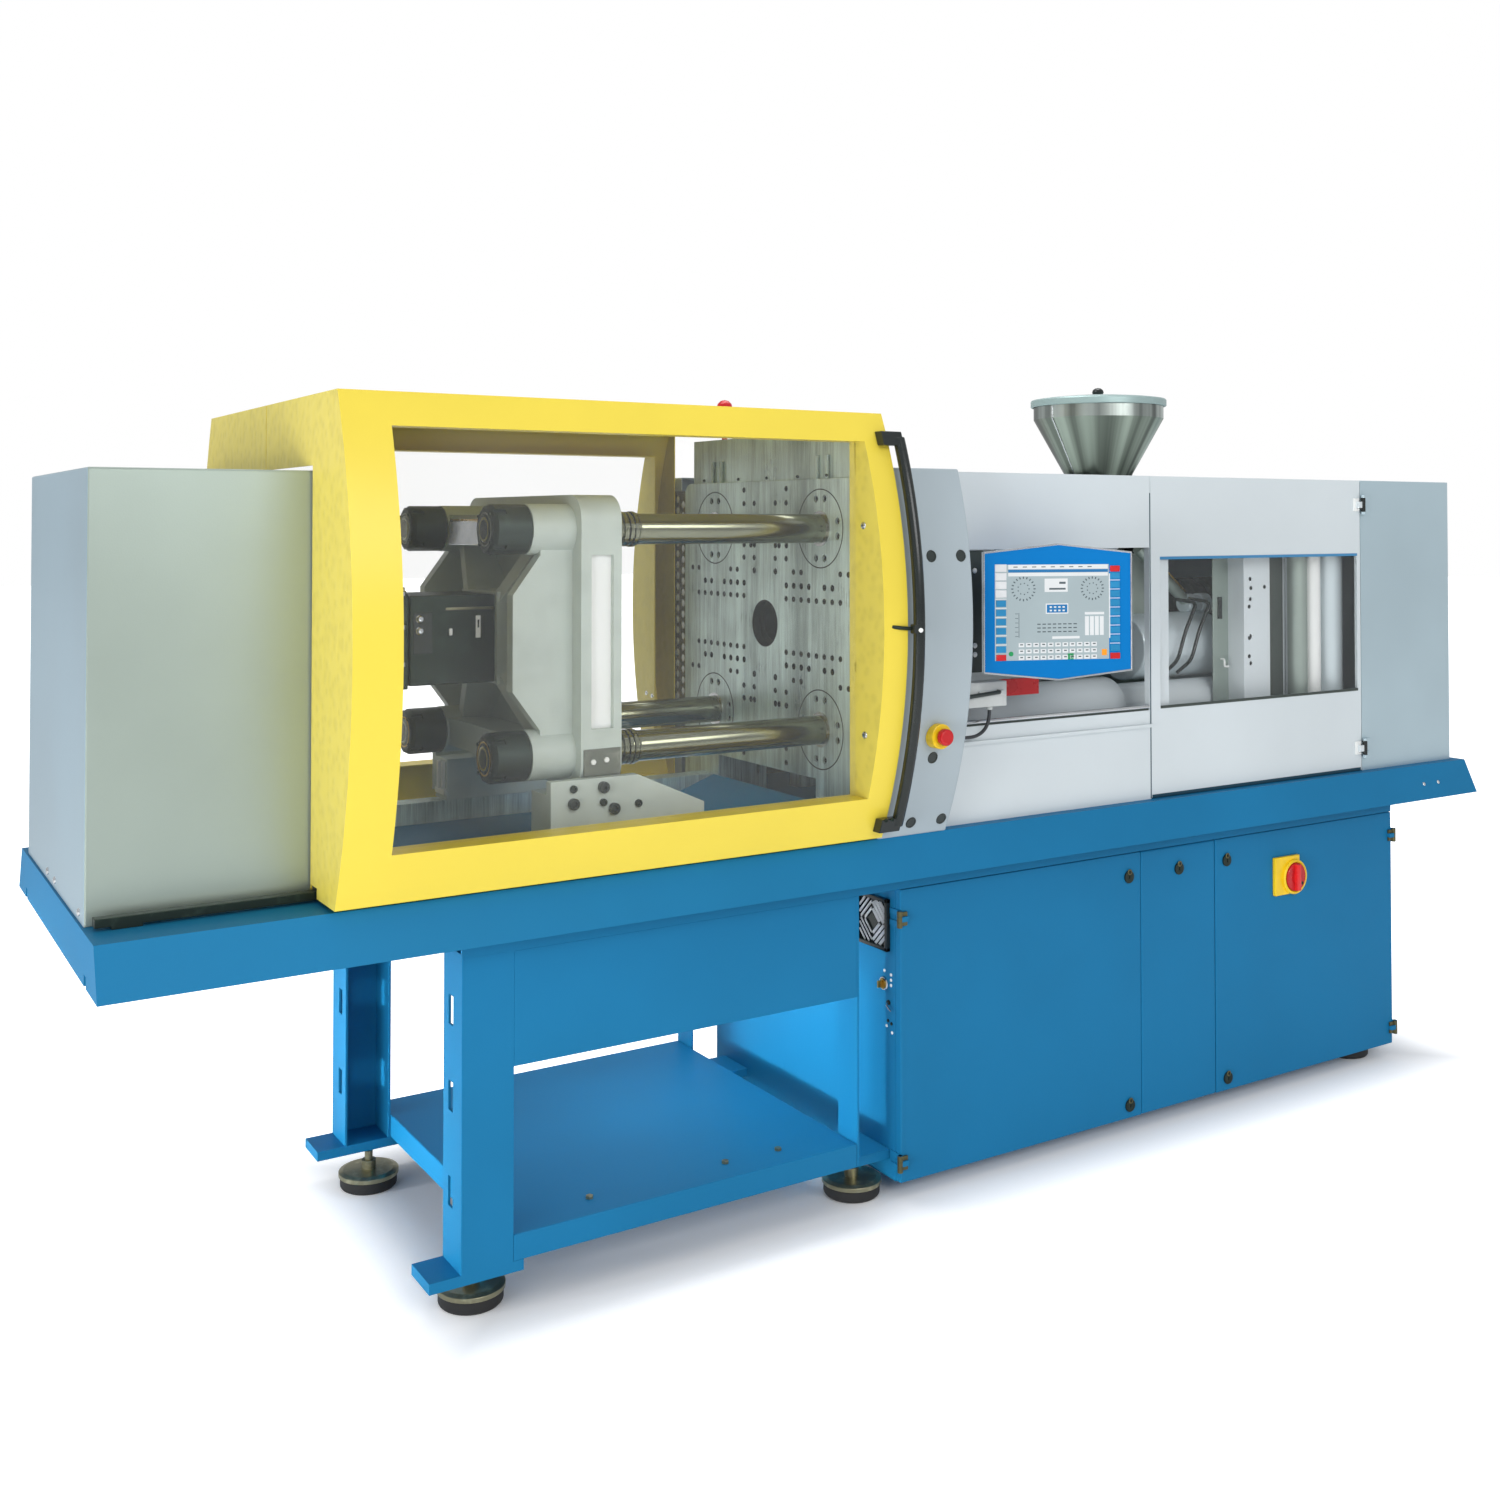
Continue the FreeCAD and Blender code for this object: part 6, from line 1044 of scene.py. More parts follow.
class Growth(NodeBook):
    """A Geometry Nodes tree with named inputs, run once for each piece that it makes."""

    def __init__(self, name: str, inputs: dict[str, str]) -> None:
        """Starts the tree.

        Args:
            name: The tree's name.
            inputs: The sockets' names and their kinds: Float, Int, Vector, Object or Material.
        """
        super().__init__(bpy.data.node_groups.new(name, "GeometryNodeTree"))
        face = self.tree.interface
        face.new_socket("Geometry", in_out="OUTPUT", socket_type="NodeSocketGeometry")
        for label, kind in {"Geometry": "Geometry", **inputs, "Finish": "Material"}.items():
            face.new_socket(label, in_out="INPUT", socket_type="NodeSocket" + kind)
        self.given = self.tree.nodes.new("NodeGroupInput").outputs

    def level(self, label: str) -> Level:
        """Gives a number input as a Level."""
        return Level(self, self.given[label])

    def vector(self, x: Any = 0.0, y: Any = 0.0, z: Any = 0.0) -> bpy.types.NodeSocket:
        """Joins three numbers into a vector."""
        return self.node("ShaderNodeCombineXYZ", None, {0: x, 1: y, 2: z}).outputs[0]

    def cuboid(self, x: Any, y: Any, z: Any) -> bpy.types.NodeSocket:
        """Gives a box of three sizes round the origin."""
        made = self.node("GeometryNodeMeshCube", None, {"Size": self.vector(x, y, z)})
        return made.outputs["Mesh"]

    def row(self, count: Any, step: Any) -> bpy.types.NodeSocket:
        """Gives a row of points, one step after another."""
        made = self.node("GeometryNodeMeshLine", {"mode": "OFFSET"}, {"Count": count, "Offset": step})
        return made.outputs[0]

    def spread(self, points: Any, pattern: Any, **values: Any) -> bpy.types.NodeSocket:
        """Puts a pattern on every point."""
        inputs = {"Points": points, "Instance": pattern, **values}
        return self.node("GeometryNodeInstanceOnPoints", None, inputs).outputs[0]

    def close(self, geometry: bpy.types.NodeSocket) -> "Growth":
        """Ends the tree: instances are made real and the finish is set."""
        real = self.node("GeometryNodeRealizeInstances", None, {0: geometry}).outputs[0]
        values = {"Geometry": real, "Material": self.given["Finish"]}
        dressed = self.node("GeometryNodeSetMaterial", None, values).outputs[0]
        self.node("NodeGroupOutput", None, {0: dressed})
        return self

    def grow(self, finish: Finish, base: bpy.types.Mesh | None = None,
             **values: Any) -> bpy.types.Mesh:
        """Runs the tree once.

        Args:
            finish: The finish of what grows.
            base: The mesh that it grows on.
            **values: The inputs; underscores in a name stand for spaces.

        Returns:
            The plain mesh.
        """
        holder = linked("holder", base or bpy.data.meshes.new("empty"))
        modifier = holder.modifiers.new("growth", "NODES")
        modifier.node_group = self.tree
        wanted = {key.replace("_", " "): value for key, value in values.items()}
        wanted["Finish"] = finish.material()
        for socket in self.tree.interface.items_tree:
            if socket.in_out == "INPUT" and socket.name in wanted:
                modifier[socket.identifier] = wanted[socket.name]
        graph = bpy.context.evaluated_depsgraph_get()
        mesh = bpy.data.meshes.new_from_object(holder.evaluated_get(graph), depsgraph=graph)
        holder.modifiers.remove(modifier)
        bpy.data.objects.remove(holder)
        return mesh


@lru_cache
def stud_growth() -> Growth:
    """Writes the tree that puts a fastener's head on every point, along the point's facing."""
    tree = Growth("studs", {"Pattern": "Object", "Radius": "Float"})
    pattern = tree.node("GeometryNodeObjectInfo", None, {"Object": tree.given["Pattern"]})
    facing = tree.node("GeometryNodeInputNamedAttribute", {"data_type": "FLOAT_VECTOR"},
                       {"Name": "facing"}).outputs[0]
    turn = tree.node("FunctionNodeAlignRotationToVector", {"axis": "Z"}, {"Vector": facing})
    radius = tree.level("Radius")
    heads = tree.spread(tree.given["Geometry"], pattern.outputs["Geometry"],
                        Rotation=turn.outputs[0], Scale=tree.vector(radius, radius, radius))
    return tree.close(heads)


@lru_cache
def field_growth() -> Growth:
    """Writes the tree that lays out key caps in rows and columns."""
    tree = Growth("key_field", {
        "Columns": "Int", "Rows": "Int", "Pitch Across": "Float", "Pitch Up": "Float",
        "Width": "Float", "Height": "Float", "Depth": "Float", "Taper": "Float"})
    upward = tree.parts(tree.node("GeometryNodeInputNormal").outputs[0])[2]
    top = tree.maths("GREATER_THAN", upward, 0.5)
    cap = tree.cuboid(tree.level("Width"), tree.level("Height"), tree.level("Depth"))
    cap = tree.node("GeometryNodeScaleElements", None,
                    {"Geometry": cap, "Selection": top, "Scale": tree.level("Taper")}).outputs[0]
    column = tree.row(tree.given["Rows"], tree.vector(y=tree.level("Pitch Up")))
    across = tree.row(tree.given["Columns"], tree.vector(tree.level("Pitch Across")))
    return tree.close(tree.spread(across, tree.spread(column, cap)))


@lru_cache
def tick_growth() -> Growth:
    """Writes the tree that sets marks round a dial."""
    tree = Growth("dial_ticks", {"Count": "Int", "Radius": "Float", "Length": "Float",
                                 "Width": "Float", "Depth": "Float"})
    ring = tree.node("GeometryNodeMeshCircle", None,
                     {"Vertices": tree.given["Count"], "Radius": tree.given["Radius"]}).outputs[0]
    place = tree.node("GeometryNodeInputPosition").outputs[0]
    turn = tree.node("FunctionNodeAlignRotationToVector", {"axis": "Y"}, {"Vector": place})
    mark = tree.cuboid(tree.level("Width"), tree.level("Length"), tree.level("Depth"))
    return tree.close(tree.spread(ring, mark, Rotation=turn.outputs[0]))


@lru_cache
def slat_growth() -> Growth:
    """Writes the tree that stacks slanted slats."""
    tree = Growth("slats", {"Count": "Int", "Pitch": "Float", "Length": "Float", "Depth": "Float",
                            "Sheet": "Float", "Slant": "Float"})
    stack = tree.row(tree.given["Count"], tree.vector(z=tree.level("Pitch")))
    slat = tree.cuboid(tree.level("Length"), tree.level("Depth"), tree.level("Sheet"))
    turn = tree.vector(tree.level("Slant"))
    return tree.close(tree.spread(stack, slat, Rotation=turn))


@lru_cache
def turning_growth() -> Growth:
    """Writes the tree that turns an outline of (radius, 0, height) points round the Z axis."""
    tree = Growth("turning", {"Sides": "Int"})
    outline = tree.given["Geometry"]
    count = tree.node("GeometryNodeAttributeDomainSize", None, {0: outline}).outputs[0]
    sides = tree.level("Sides")
    values = {"Vertices X": sides + 1, "Vertices Y": count}
    grid = tree.node("GeometryNodeMeshGrid", None, values).outputs[0]
    number = Level(tree, tree.node("GeometryNodeInputIndex").outputs[0])
    step = tree.maths("FLOOR", number / Level(tree, count) + 0.001)
    along = number - step * Level(tree, count)
    spot = tree.node("GeometryNodeSampleIndex", {"data_type": "FLOAT_VECTOR"}, {
        "Geometry": outline, "Index": along, "Value": tree.node("GeometryNodeInputPosition").outputs[0]})
    radius, _, height = tree.parts(spot.outputs[0])
    angle = step * (2 * math.pi) / sides
    place = tree.vector(radius * tree.maths("COSINE", angle), radius * tree.maths("SINE", angle), height)
    moved = tree.node("GeometryNodeSetPosition", None, {"Geometry": grid, "Position": place})
    merged = tree.node("GeometryNodeMergeByDistance", None,
                       {"Geometry": moved.outputs[0], "Distance": 0.00001})
    return tree.close(merged.outputs[0])


class Head(Enum):
    """Outlines of small turned heads for a radius of one: (way along the axis, radius)."""

    SOCKET = ((0.0, 1.0), (0.8, 1.0), (0.95, 0.85), (0.95, 0.5), (0.4, 0.45), (0.4, 0.0))
    DOME = ((0.0, 1.0), (0.2, 0.97), (0.42, 0.78), (0.55, 0.42), (0.58, 0.0))
    HEX = ((0.0, 1.0), (0.6, 1.0), (0.72, 0.86), (0.72, 0.0))
    RECESS = ((0.0, 1.0), (0.12, 0.94), (0.12, 0.8), (0.02, 0.74), (0.02, 0.0))

    def pattern(self) -> bpy.types.Object:
        """Gives the head as an object to be repeated, made on its first use."""
        name = "pattern_" + self.name.lower()
        made = bpy.data.objects.get(name)
        if made is None:
            form = Form(name, "")
            form.turned((0, 0, 0), UPWARDS, self.value, Finish.ZINC, 6 if self is Head.HEX else 18)
            mesh = bpy.data.meshes.new(name)
            form.meshes[Finish.ZINC].to_mesh(mesh)
            made = bpy.data.objects.new(name, mesh)
        return made


def stud(name: str, body: str, head: Head, radius: float, finish: Finish,
         seats: Iterable[tuple[Any, Any]]) -> bpy.types.Object:
    """Makes a set of equal fasteners.

    Args:
        name: The piece's name.
        body: The body that it rides on.
        head: The shape of the heads.
        radius: Their radius in millimetres.
        finish: Their finish.
        seats: Each one's place in millimetres and the way that it faces.

    Returns:
        The piece.
    """
    seats = list(seats)
    base = bpy.data.meshes.new(name)
    base.from_pydata([Vector(place) * MM for place, _ in seats], [], [])
    facing = base.attributes.new("facing", "FLOAT_VECTOR", "POINT")
    for item, (_, way) in zip(facing.data, seats):
        item.vector = way
    mesh = stud_growth().grow(finish, base, Pattern=head.pattern(), Radius=radius * MM)
    return settle(mesh, name, body)


DRESSINGS: dict[str, Dressing] = {node: Dressing(finish, edge) for finish, edge, nodes in (
    (Finish.BED_BLUE, 0.003, "machine_bed support_legs lower_shelf cabinet_shell"),
    (Finish.BED_BLUE, 0.002, "chute_sheets"),
    (Finish.BED_BLUE, 0.004, "cabinet_left_door cabinet_right_door cabinet_middle_panel"),
    (Finish.RUBBER, 0.003, "levelling_pads"),
    (Finish.ZINC, 0.001, "levelling_discs"),
    (Finish.DARK_STEEL, 0.001, "lock_left_upper lock_left_lower lock_middle lock_right_upper"
                               " lock_right_lower gate_rails"),
    (Finish.DARK_STEEL, 0.002, "tie_bar_nuts ejector_housing"),
    (Finish.DARK_STEEL, 0.003, "screw_drive"),
    (Finish.DARK_STEEL, 0.004, "power_pack"),
    (Finish.BRASS, 0.001, "key_switch"),
    (Finish.CLEAR_PANE, 0.0, "front_gate_window rear_gate_window window_door_pane"),
    (Finish.BLACK_PLASTIC, 0.002, "front_gate_handle rear_gate_handle"),
    (Finish.GROUND_STEEL, 0.001, "platen_rails tie_bar_flanges injection_rails"),
    (Finish.COVER_GREY, 0.003, "front_cover window_door"),
    (Finish.COVER_GREY, 0.004, "clamp_cylinders"),
    (Finish.HARD_CHROME, 0.001, "tie_bars"),
    (Finish.BRIGHT_STEEL, 0.001, "ejector_rod barrel screw"),
    (Finish.CASTING_GREY, 0.003, "slide_shoes"),
    (Finish.CASTING_GREY, 0.004, "injection_carriage"),
    (Finish.COLUMN_GREY, 0.002, "panel_arm"),
    (Finish.COLUMN_GREY, 0.004, "side_columns"),
    (Finish.YELLOW_PLASTIC, 0.002, "emergency_stop_base"),
    (Finish.RED_PLASTIC, 0.001, "emergency_stop_button beacon"),
    (Finish.END_GREY, 0.004, "end_cover"),
    (Finish.GREY_PLASTIC, 0.002, "connector_box"),
    (Finish.CYLINDER_STEEL, 0.004, "injection_cylinders"),
) for node in nodes.split()}
DRESSINGS.update({
    # the left face gets its own paler, bluer grey: painted light
    "left_cover": Dressing(Finish.SATIN_GREY, 0.004, (Patch(Finish.SIDE_GREY, LEFTWARDS),)),
    "front_gate_frame": Dressing(Finish.GATE_YELLOW, 0.006, (Patch(Finish.GATE_HAMMER, LEFTWARDS),)),
    "rear_gate_frame": Dressing(Finish.GATE_YELLOW, 0.006, (Patch(Finish.GATE_HAMMER, LEFTWARDS),)),
    "fixed_platen": Dressing(Finish.GROUND_STEEL, 0.002, (
        # faces inside the fixed platen's bores and recesses get near black: painted shade
        Patch(Finish.BORE_DARK, low=(-302.5, -428.0, 1018.0), high=(-144.0, 428.0, 1778.0)),)),
    "platen_guards": Dressing(Finish.GROUND_STEEL, 0.0, (
        Patch(Finish.BRONZE, low=(-304.0, 431.0, 1100.0), high=(-299.0, 493.0, 1770.0)),)),
    "moving_platen": Dressing(Finish.CASTING_GREY, 0.008, (
        Patch(Finish.WHITE_PAINT, OUT, (-1000.0, -341.0, 1200.0), (-915.0, -290.0, 1580.0)),)),
    # the rear cover's inner face, seen through the window, is painted dark: painted shade
    "rear_cover": Dressing(Finish.COVER_GREY, 0.003, (Patch(Finish.INNER_DARK, OUT),)),
    "inner_posts": Dressing(Finish.COVER_GREY, 0.002, tuple(
        Patch(finish, low=(left, front, 0.0), high=(right, back, 2000.0))
        for finish, left, right, front, back in (
            (Finish.SATIN_GREY, 1374.0, 1440.0, -430.0, -350.0),
            (Finish.SATIN_GREY, 1040.0, 1122.0, -430.0, -330.0),
            (Finish.WHITE_PAINT, 1442.0, 1500.0, -430.0, -350.0),
            (Finish.CYLINDER_STEEL, 1525.0, 1615.0, -440.0, -340.0)))),
})


@dataclass
class Studio:
    """The camera, the lamps, the white surround and the pale floor."""

    eye: Point = (-2.535, -3.488, 1.671)
    heading: float = math.radians(57.93)
    tilt: float = math.radians(1.15)
    lens: float = 36.98
    shift: float = -0.173
    floor_reach: float = 40.0
    footprint: tuple[float, float] = (1.45, 0.36)
    middle: float = 0.26

    def camera(self) -> None:
        """Puts the camera where the photograph was taken from."""
        data = bpy.data.cameras.new("camera")
        data.lens = self.lens
        data.sensor_width = 36.0
        data.shift_y = self.shift
        data.clip_end = 200.0
        camera = linked("camera", data)
        camera.location = self.eye
        camera.rotation_euler = (math.pi / 2 + self.tilt, 0.0, self.heading - math.pi / 2)
        bpy.context.scene.camera = camera

    def lamp(self, name: str, place: Point, aim: Point, size: tuple[float, float],
             power: float, mirrored: bool = True, spread: float = 180.0) -> None:
        """Adds one soft box.

        Args:
            name: Its name.
            place: Where it hangs.
            aim: The point that it faces.
            size: Its width and height.
            power: Its power in watts.
            mirrored: False to keep it out of reflections.
            spread: How wide it throws its light, in degrees.
        """
        data = bpy.data.lights.new(name, "AREA")
        data.shape = "RECTANGLE"
        data.size, data.size_y = size
        data.energy = power
        data.spread = math.radians(spread)
        lamp = linked(name, data)
        lamp.location = place
        lamp.visible_glossy = mirrored
        lamp.rotation_euler = (Vector(aim) - Vector(place)).to_track_quat("-Z", "Y").to_euler()

    def lamps(self) -> None:
        """Hangs the soft boxes; two small ones light the room under the bed."""
        self.lamp("left_box", (-12.0, -2.6, 1.2), (-1.0, 0.0, 0.8), (6.0, 2.2), 600.0, False)
        self.lamp("low_box", (-5.0, -2.6, 0.6), (-0.5, -0.1, 0.4), (2.0, 1.0), 70.0, False)
        self.lamp("under_box", (-4.6, 0.3, 0.3), (0.0, 0.0, 0.33), (0.5, 0.3), 3.6, False, 24.0)
        self.lamp("shelf_box", (-0.42, 0.02, 0.74), (-0.42, 0.02, 0.0), (1.0, 0.5), 5.0, False)
        self.lamp("front_box", (-0.5, -6.0, 3.6), (0.4, 0.0, 1.0), (4.0, 2.0), 120.0)
        self.lamp("top_box", (0.0, 0.6, 5.0), (0.0, 0.0, 1.0), (5.0, 2.0), 110.0)

    def surround(self) -> None:
        """Makes the surround: white to the camera, a lit room to everything else."""
        world = bpy.data.worlds.new("studio")
        bpy.context.scene.world = world
        world.use_nodes = True
        recipe = Recipe(world.node_tree)
        direction = recipe.node("ShaderNodeTexCoord").outputs["Generated"]
        stops = [(0.0, (0.3, 0.3, 0.3)), (0.49, (0.35, 0.35, 0.35)), (0.53, (0.55, 0.56, 0.57)),
                 (1.0, (0.6, 0.61, 0.63))]
        height = recipe.parts(direction)[2] * 0.5 + 0.5
        room = recipe.node("ShaderNodeValToRGB", {"stops": stops}, {0: height}).outputs[0]
        seen = recipe.node("ShaderNodeLightPath").outputs["Is Camera Ray"]
        colour = recipe.mixed(room, (1.0, 1.0, 1.0), Level(recipe, seen))
        light = recipe.node("ShaderNodeBackground", None, {"Color": colour, "Strength": 1.0})
        recipe.node("ShaderNodeOutputWorld", None, {"Surface": light.outputs[0]})

    def floor(self) -> None:
        """Lays the pale floor; it glows white to the camera away from the machine's footprint and not near
        it, painted light that leaves shadow only close round the machine.
        """
        mesh = bpy.data.meshes.new("studio_floor")
        reach = self.floor_reach
        corners = [(-reach, -reach, 0), (reach, -reach, 0), (reach, reach, 0), (-reach, reach, 0)]
        mesh.from_pydata(corners, [], [(0, 1, 2, 3)])
        paint = bpy.data.materials.new("studio_floor")
        paint.use_nodes = True
        recipe = Recipe(paint.node_tree)
        tone = recipe.clouds(1.5, 2.0)
        across, along, _ = recipe.parts(recipe.place())
        beyond = [recipe.maths("ABSOLUTE", side) - edge
                  for side, edge in zip((across - self.middle, along), self.footprint)]
        away = recipe.maths("MAXIMUM", *beyond)
        seen = Level(recipe, recipe.node("ShaderNodeLightPath").outputs["Is Camera Ray"])
        recipe.surface(
            Base_Color=recipe.mixed((0.93, 0.93, 0.93), (0.95, 0.95, 0.95), tone),
            Roughness=0.7,
            Specular_IOR_Level=0.1,
            # the glow rises from nothing at the footprint to full white 0.45 m out: painted light on the
            # floor
            Emission_Color=recipe.mixed((0.0, 0.0, 0.0), (1.0, 1.0, 1.0), away.span(0.0, 0.45) * seen),
            Emission_Strength=1.0,
        )
        mesh.materials.append(paint)
        linked("studio_floor", mesh)

    def build(self) -> None:
        """Sets the whole studio up."""
        self.camera()
        self.surround()
        self.lamps()
        self.floor()
        bpy.context.scene.view_settings.view_transform = "Standard"


@dataclass
class ConnectorCable:
    """The cable that runs from the connector box into the front column."""

    thickness: float = 0.009
    length: float = 0.195
    route: tuple[Point, ...] = (
        (0.066, -0.483, 1.193),
        (0.066, -0.483, 1.172),
        (0.051, -0.486, 1.145),
        (0.021, -0.490, 1.130),
        (-0.016, -0.493, 1.128),
        (-0.053, -0.494, 1.132),
        (-0.090, -0.494, 1.132),
    )

    def build(self) -> None:
        """Lays the cable along its route."""
        line = bpy.data.curves.new("connector_cable_jacket", "CURVE")
        line.dimensions = "3D"
        line.bevel_depth = self.thickness / 2
        line.bevel_resolution = 4
        line.resolution_u = 10
        spline = line.splines.new("NURBS")
        spline.points.add(len(self.route) - 1)
        for point, place in zip(spline.points, self.route):
            point.co = (*place, 1.0)
        spline.order_u = 3
        spline.use_endpoint_u = True
        line.materials.append(Finish.CABLE_JACKET.material())
        cable = linked("connector_cable_jacket", line)
        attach(cable, "machine_base")
        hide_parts("connector_cable")


@dataclass
class ControlPanel:
    """The swivelling operator panel: rim, face, housing, lugs, keys and a generic screen."""

    pivot: tuple[float, float] = (187.0, -566.0)
    turn: float = math.radians(-19.0)
    centre: float = 1445.0
    reach: float = 71.0
    half_width: float = 200.0
    side: float = 150.0
    apex: float = 171.0
    rim: float = 4.0
    recess: float = 2.5
    plate: float = 12.0
    housing: float = 38.0
    lug: tuple[float, float, float] = (20.0, 35.3, 12.0)
    screen: tuple[float, float, float, float] = (-143.0, 143.0, -138.0, 126.0)
    page: tuple[float, float, float] = (0.957, 0.9, 5.1)
    key_pitch: float = 25.2

    def face_frame(self) -> Matrix:
        """Gives the face's axes: X along it, Y upwards and Z out of it, from its middle."""
        along = Vector((math.cos(self.turn), math.sin(self.turn), 0.0))
        outward = Vector((math.sin(self.turn), -math.cos(self.turn), 0.0))
        middle = Vector((*self.pivot, self.centre)) + outward * self.reach
        columns = Matrix((along, UPWARDS, outward)).transposed().to_4x4()
        return Matrix.Translation(middle * MM) @ columns

    def page_frame(self) -> Matrix:
        """Gives the axes of what the screen shows: the face's, drawn together a little."""
        across, upward, lift = self.page
        return (self.face_frame() @ Matrix.Translation((0, lift * MM, 0))
                @ Matrix.Diagonal((across, upward, 1.0, 1.0)))

    def outline(self, inset: float) -> list[tuple[float, float]]:
        """Gives the six-sided outline, moved in by an inset."""
        half, side, apex = (v - inset for v in (self.half_width, self.side, self.apex))
        return [(-half, -side), (0, -apex), (half, -side), (half, side), (0, apex), (-half, side)]

    def ring(self, inset: float, out: float) -> list[Point]:
        """Gives the outline as points at a height over the face."""
        return [(a, b, out) for a, b in self.outline(inset)]

    def body_pieces(self) -> None:
        """Makes the rim, the face, the housing behind it and the two lugs."""
        form = Form("control_panel", "control_panel", self.face_frame())
        rings = [self.ring(0, -self.plate), self.ring(0, -1), self.ring(1, 0),
                 self.ring(self.rim - 1, 0), self.ring(self.rim, -1), self.ring(self.rim, -self.plate)]
        form.loft(rings, Finish.SILVER_TRIM, closed=False)
        form.slab(self.outline(self.rim), (-self.plate, -self.recess), Finish.PANEL_BLUE)
        back = -self.plate - self.housing
        form.loft([self.ring(18, -self.plate), self.ring(34, back + 4), self.ring(38, back)],
                  Finish.PANEL_BLUE)
        radius, low, height = self.lug
        for foot in (low, -low - height):
            form.rod((0, foot, -self.reach), (0, 1, 0), height, radius, Finish.PANEL_BLUE, 1.0, 28)
            form.block((-radius, radius), (foot, foot + height), (-self.reach, back), Finish.PANEL_BLUE)
        for piece in form.pieces():
            if piece.name.endswith("panel_blue"):
                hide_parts("control_panel")

    def field(self, name: str, finish: Finish, corner: tuple[float, float], counts: tuple[int, int],
              pitch: tuple[float, float], cap: Point, taper: float = 0.94) -> None:
        """Lays out a field of equal caps on the face.

        Args:
            name: The piece's name.
            finish: Its finish.
            corner: The middle of its lower left cap.
            counts: Columns and rows.
            pitch: From cap to cap across and upwards.
            cap: A cap's width, height and depth.
            taper: How much narrower its top is.
        """
        mesh = field_growth().grow(
            finish, Columns=counts[0], Rows=counts[1], Pitch_Across=pitch[0] * MM,
            Pitch_Up=pitch[1] * MM, Width=cap[0] * MM, Height=cap[1] * MM, Depth=cap[2] * MM,
            Taper=taper)
        out = -self.recess + cap[2] / 2
        mesh.transform(self.page_frame() @ Matrix.Translation(Vector((*corner, out)) * MM))
        settle(mesh, "panel_" + name, "control_panel")

    def keys(self) -> None:
        """Makes the two key columns."""
        tall = (self.key_pitch, self.key_pitch)
        for name, finish, corner, counts, pitch, cap in (
                ("menu_keys", Finish.KEY_GREY, (-160.5, 46.0), (1, 4), (1, 23.6), (32.0, 21.0, 2.0)),
                ("left_keys", Finish.KEY_BLUE, (-160.0, -107.0), (1, 6), tall, (28.0, 18.5, 2.0)),
                ("right_keys", Finish.KEY_BLUE, (160.0, -107.5), (1, 9), tall, (28.0, 18.5, 2.0)),
                ("left_key_rules", Finish.SCREEN_WHITE, (-160.0, -94.4), (1, 6), tall, (31.0, 2.0, 0.9)),
                ("right_key_rules", Finish.SCREEN_WHITE, (160.0, -94.9), (1, 9), tall, (29.0, 2.0, 0.9)),
                ("left_stop_key", Finish.RED_PLASTIC, (-160.0, -129.5), (1, 1), tall, (28, 17, 2.2)),
                ("right_stop_keys", Finish.RED_PLASTIC, (160.0, -130.0), (1, 2), (1, 243.5), (28, 17, 2.2))):
            self.field(name, finish, corner, counts, pitch, cap)

    def picture(self) -> None:
        """Draws the screen's generic page: bars, dials, fields and a table."""
        left, right, low, high = self.screen
        form = Form("panel_screen", "control_panel", self.page_frame())
        base = -self.recess
        for finish, across, upward, back, front, edge in (
                (Finish.SCREEN_GREY, (left, right), (low, high), -1, 0.5, 0.4),
                (Finish.SCREEN_GREY, (-177, left), (low, high), -1, 0.2, 0.2),
                (Finish.SCREEN_WHITE, (right, 146.5), (-80, 100), -1, 0.3, 0.2),
                (Finish.SCREEN_WHITE, (left + 3, right - 3), (113.7, 125.8), 0, 0.8, 0.2),
                (Finish.SCREEN_BLUE, (left + 3, right - 3), (104.5, 112.3), 0, 0.8, 0.2),
                (Finish.SCREEN_WHITE, (left + 3, right - 3), (94.0, 103.5), 0, 0.8, 0.2),
                (Finish.SCREEN_WHITE, (-39, 26), (50, 87), 0, 0.8, 0.3),
                (Finish.SCREEN_WHITE, (-36, 27.5), (-10.5, 18), 0, 0.7, 0.3),
                (Finish.SCREEN_BLUE, (-33, 24.5), (-7.5, 15), 0, 1.0, 0.3),
                (Finish.SCREEN_WHITE, (74, 129), (-14, -7), 0, 0.8, 0.2),
                (Finish.SCREEN_WHITE, (-18, 59), (-80, -73), 0, 0.8, 0.2),
                (Finish.SCREEN_MARK, (-111.4, -110), (-75, -7), 0, 0.8, 0.2),
                (Finish.KEY_GREEN, (25, 42), (-138, -121), 0, 1.2, 0.4),
                (Finish.KEY_ORANGE, (122, 136), (-128, -111), 0, 1.2, 0.4)):
            form.block(across, upward, (base + back, base + front), finish, edge)
        form.rod((-133, -119.5, base), UPWARDS, 1.6, 6.5, Finish.KEY_GREEN, 0.3)
        for across, upward in (((2, 20), (72, 78)), ((-26, 20), (56, 61))):
            form.block(across, upward, (base, base + 1.0), Finish.SCREEN_MARK, 0.2)
        form.pieces()
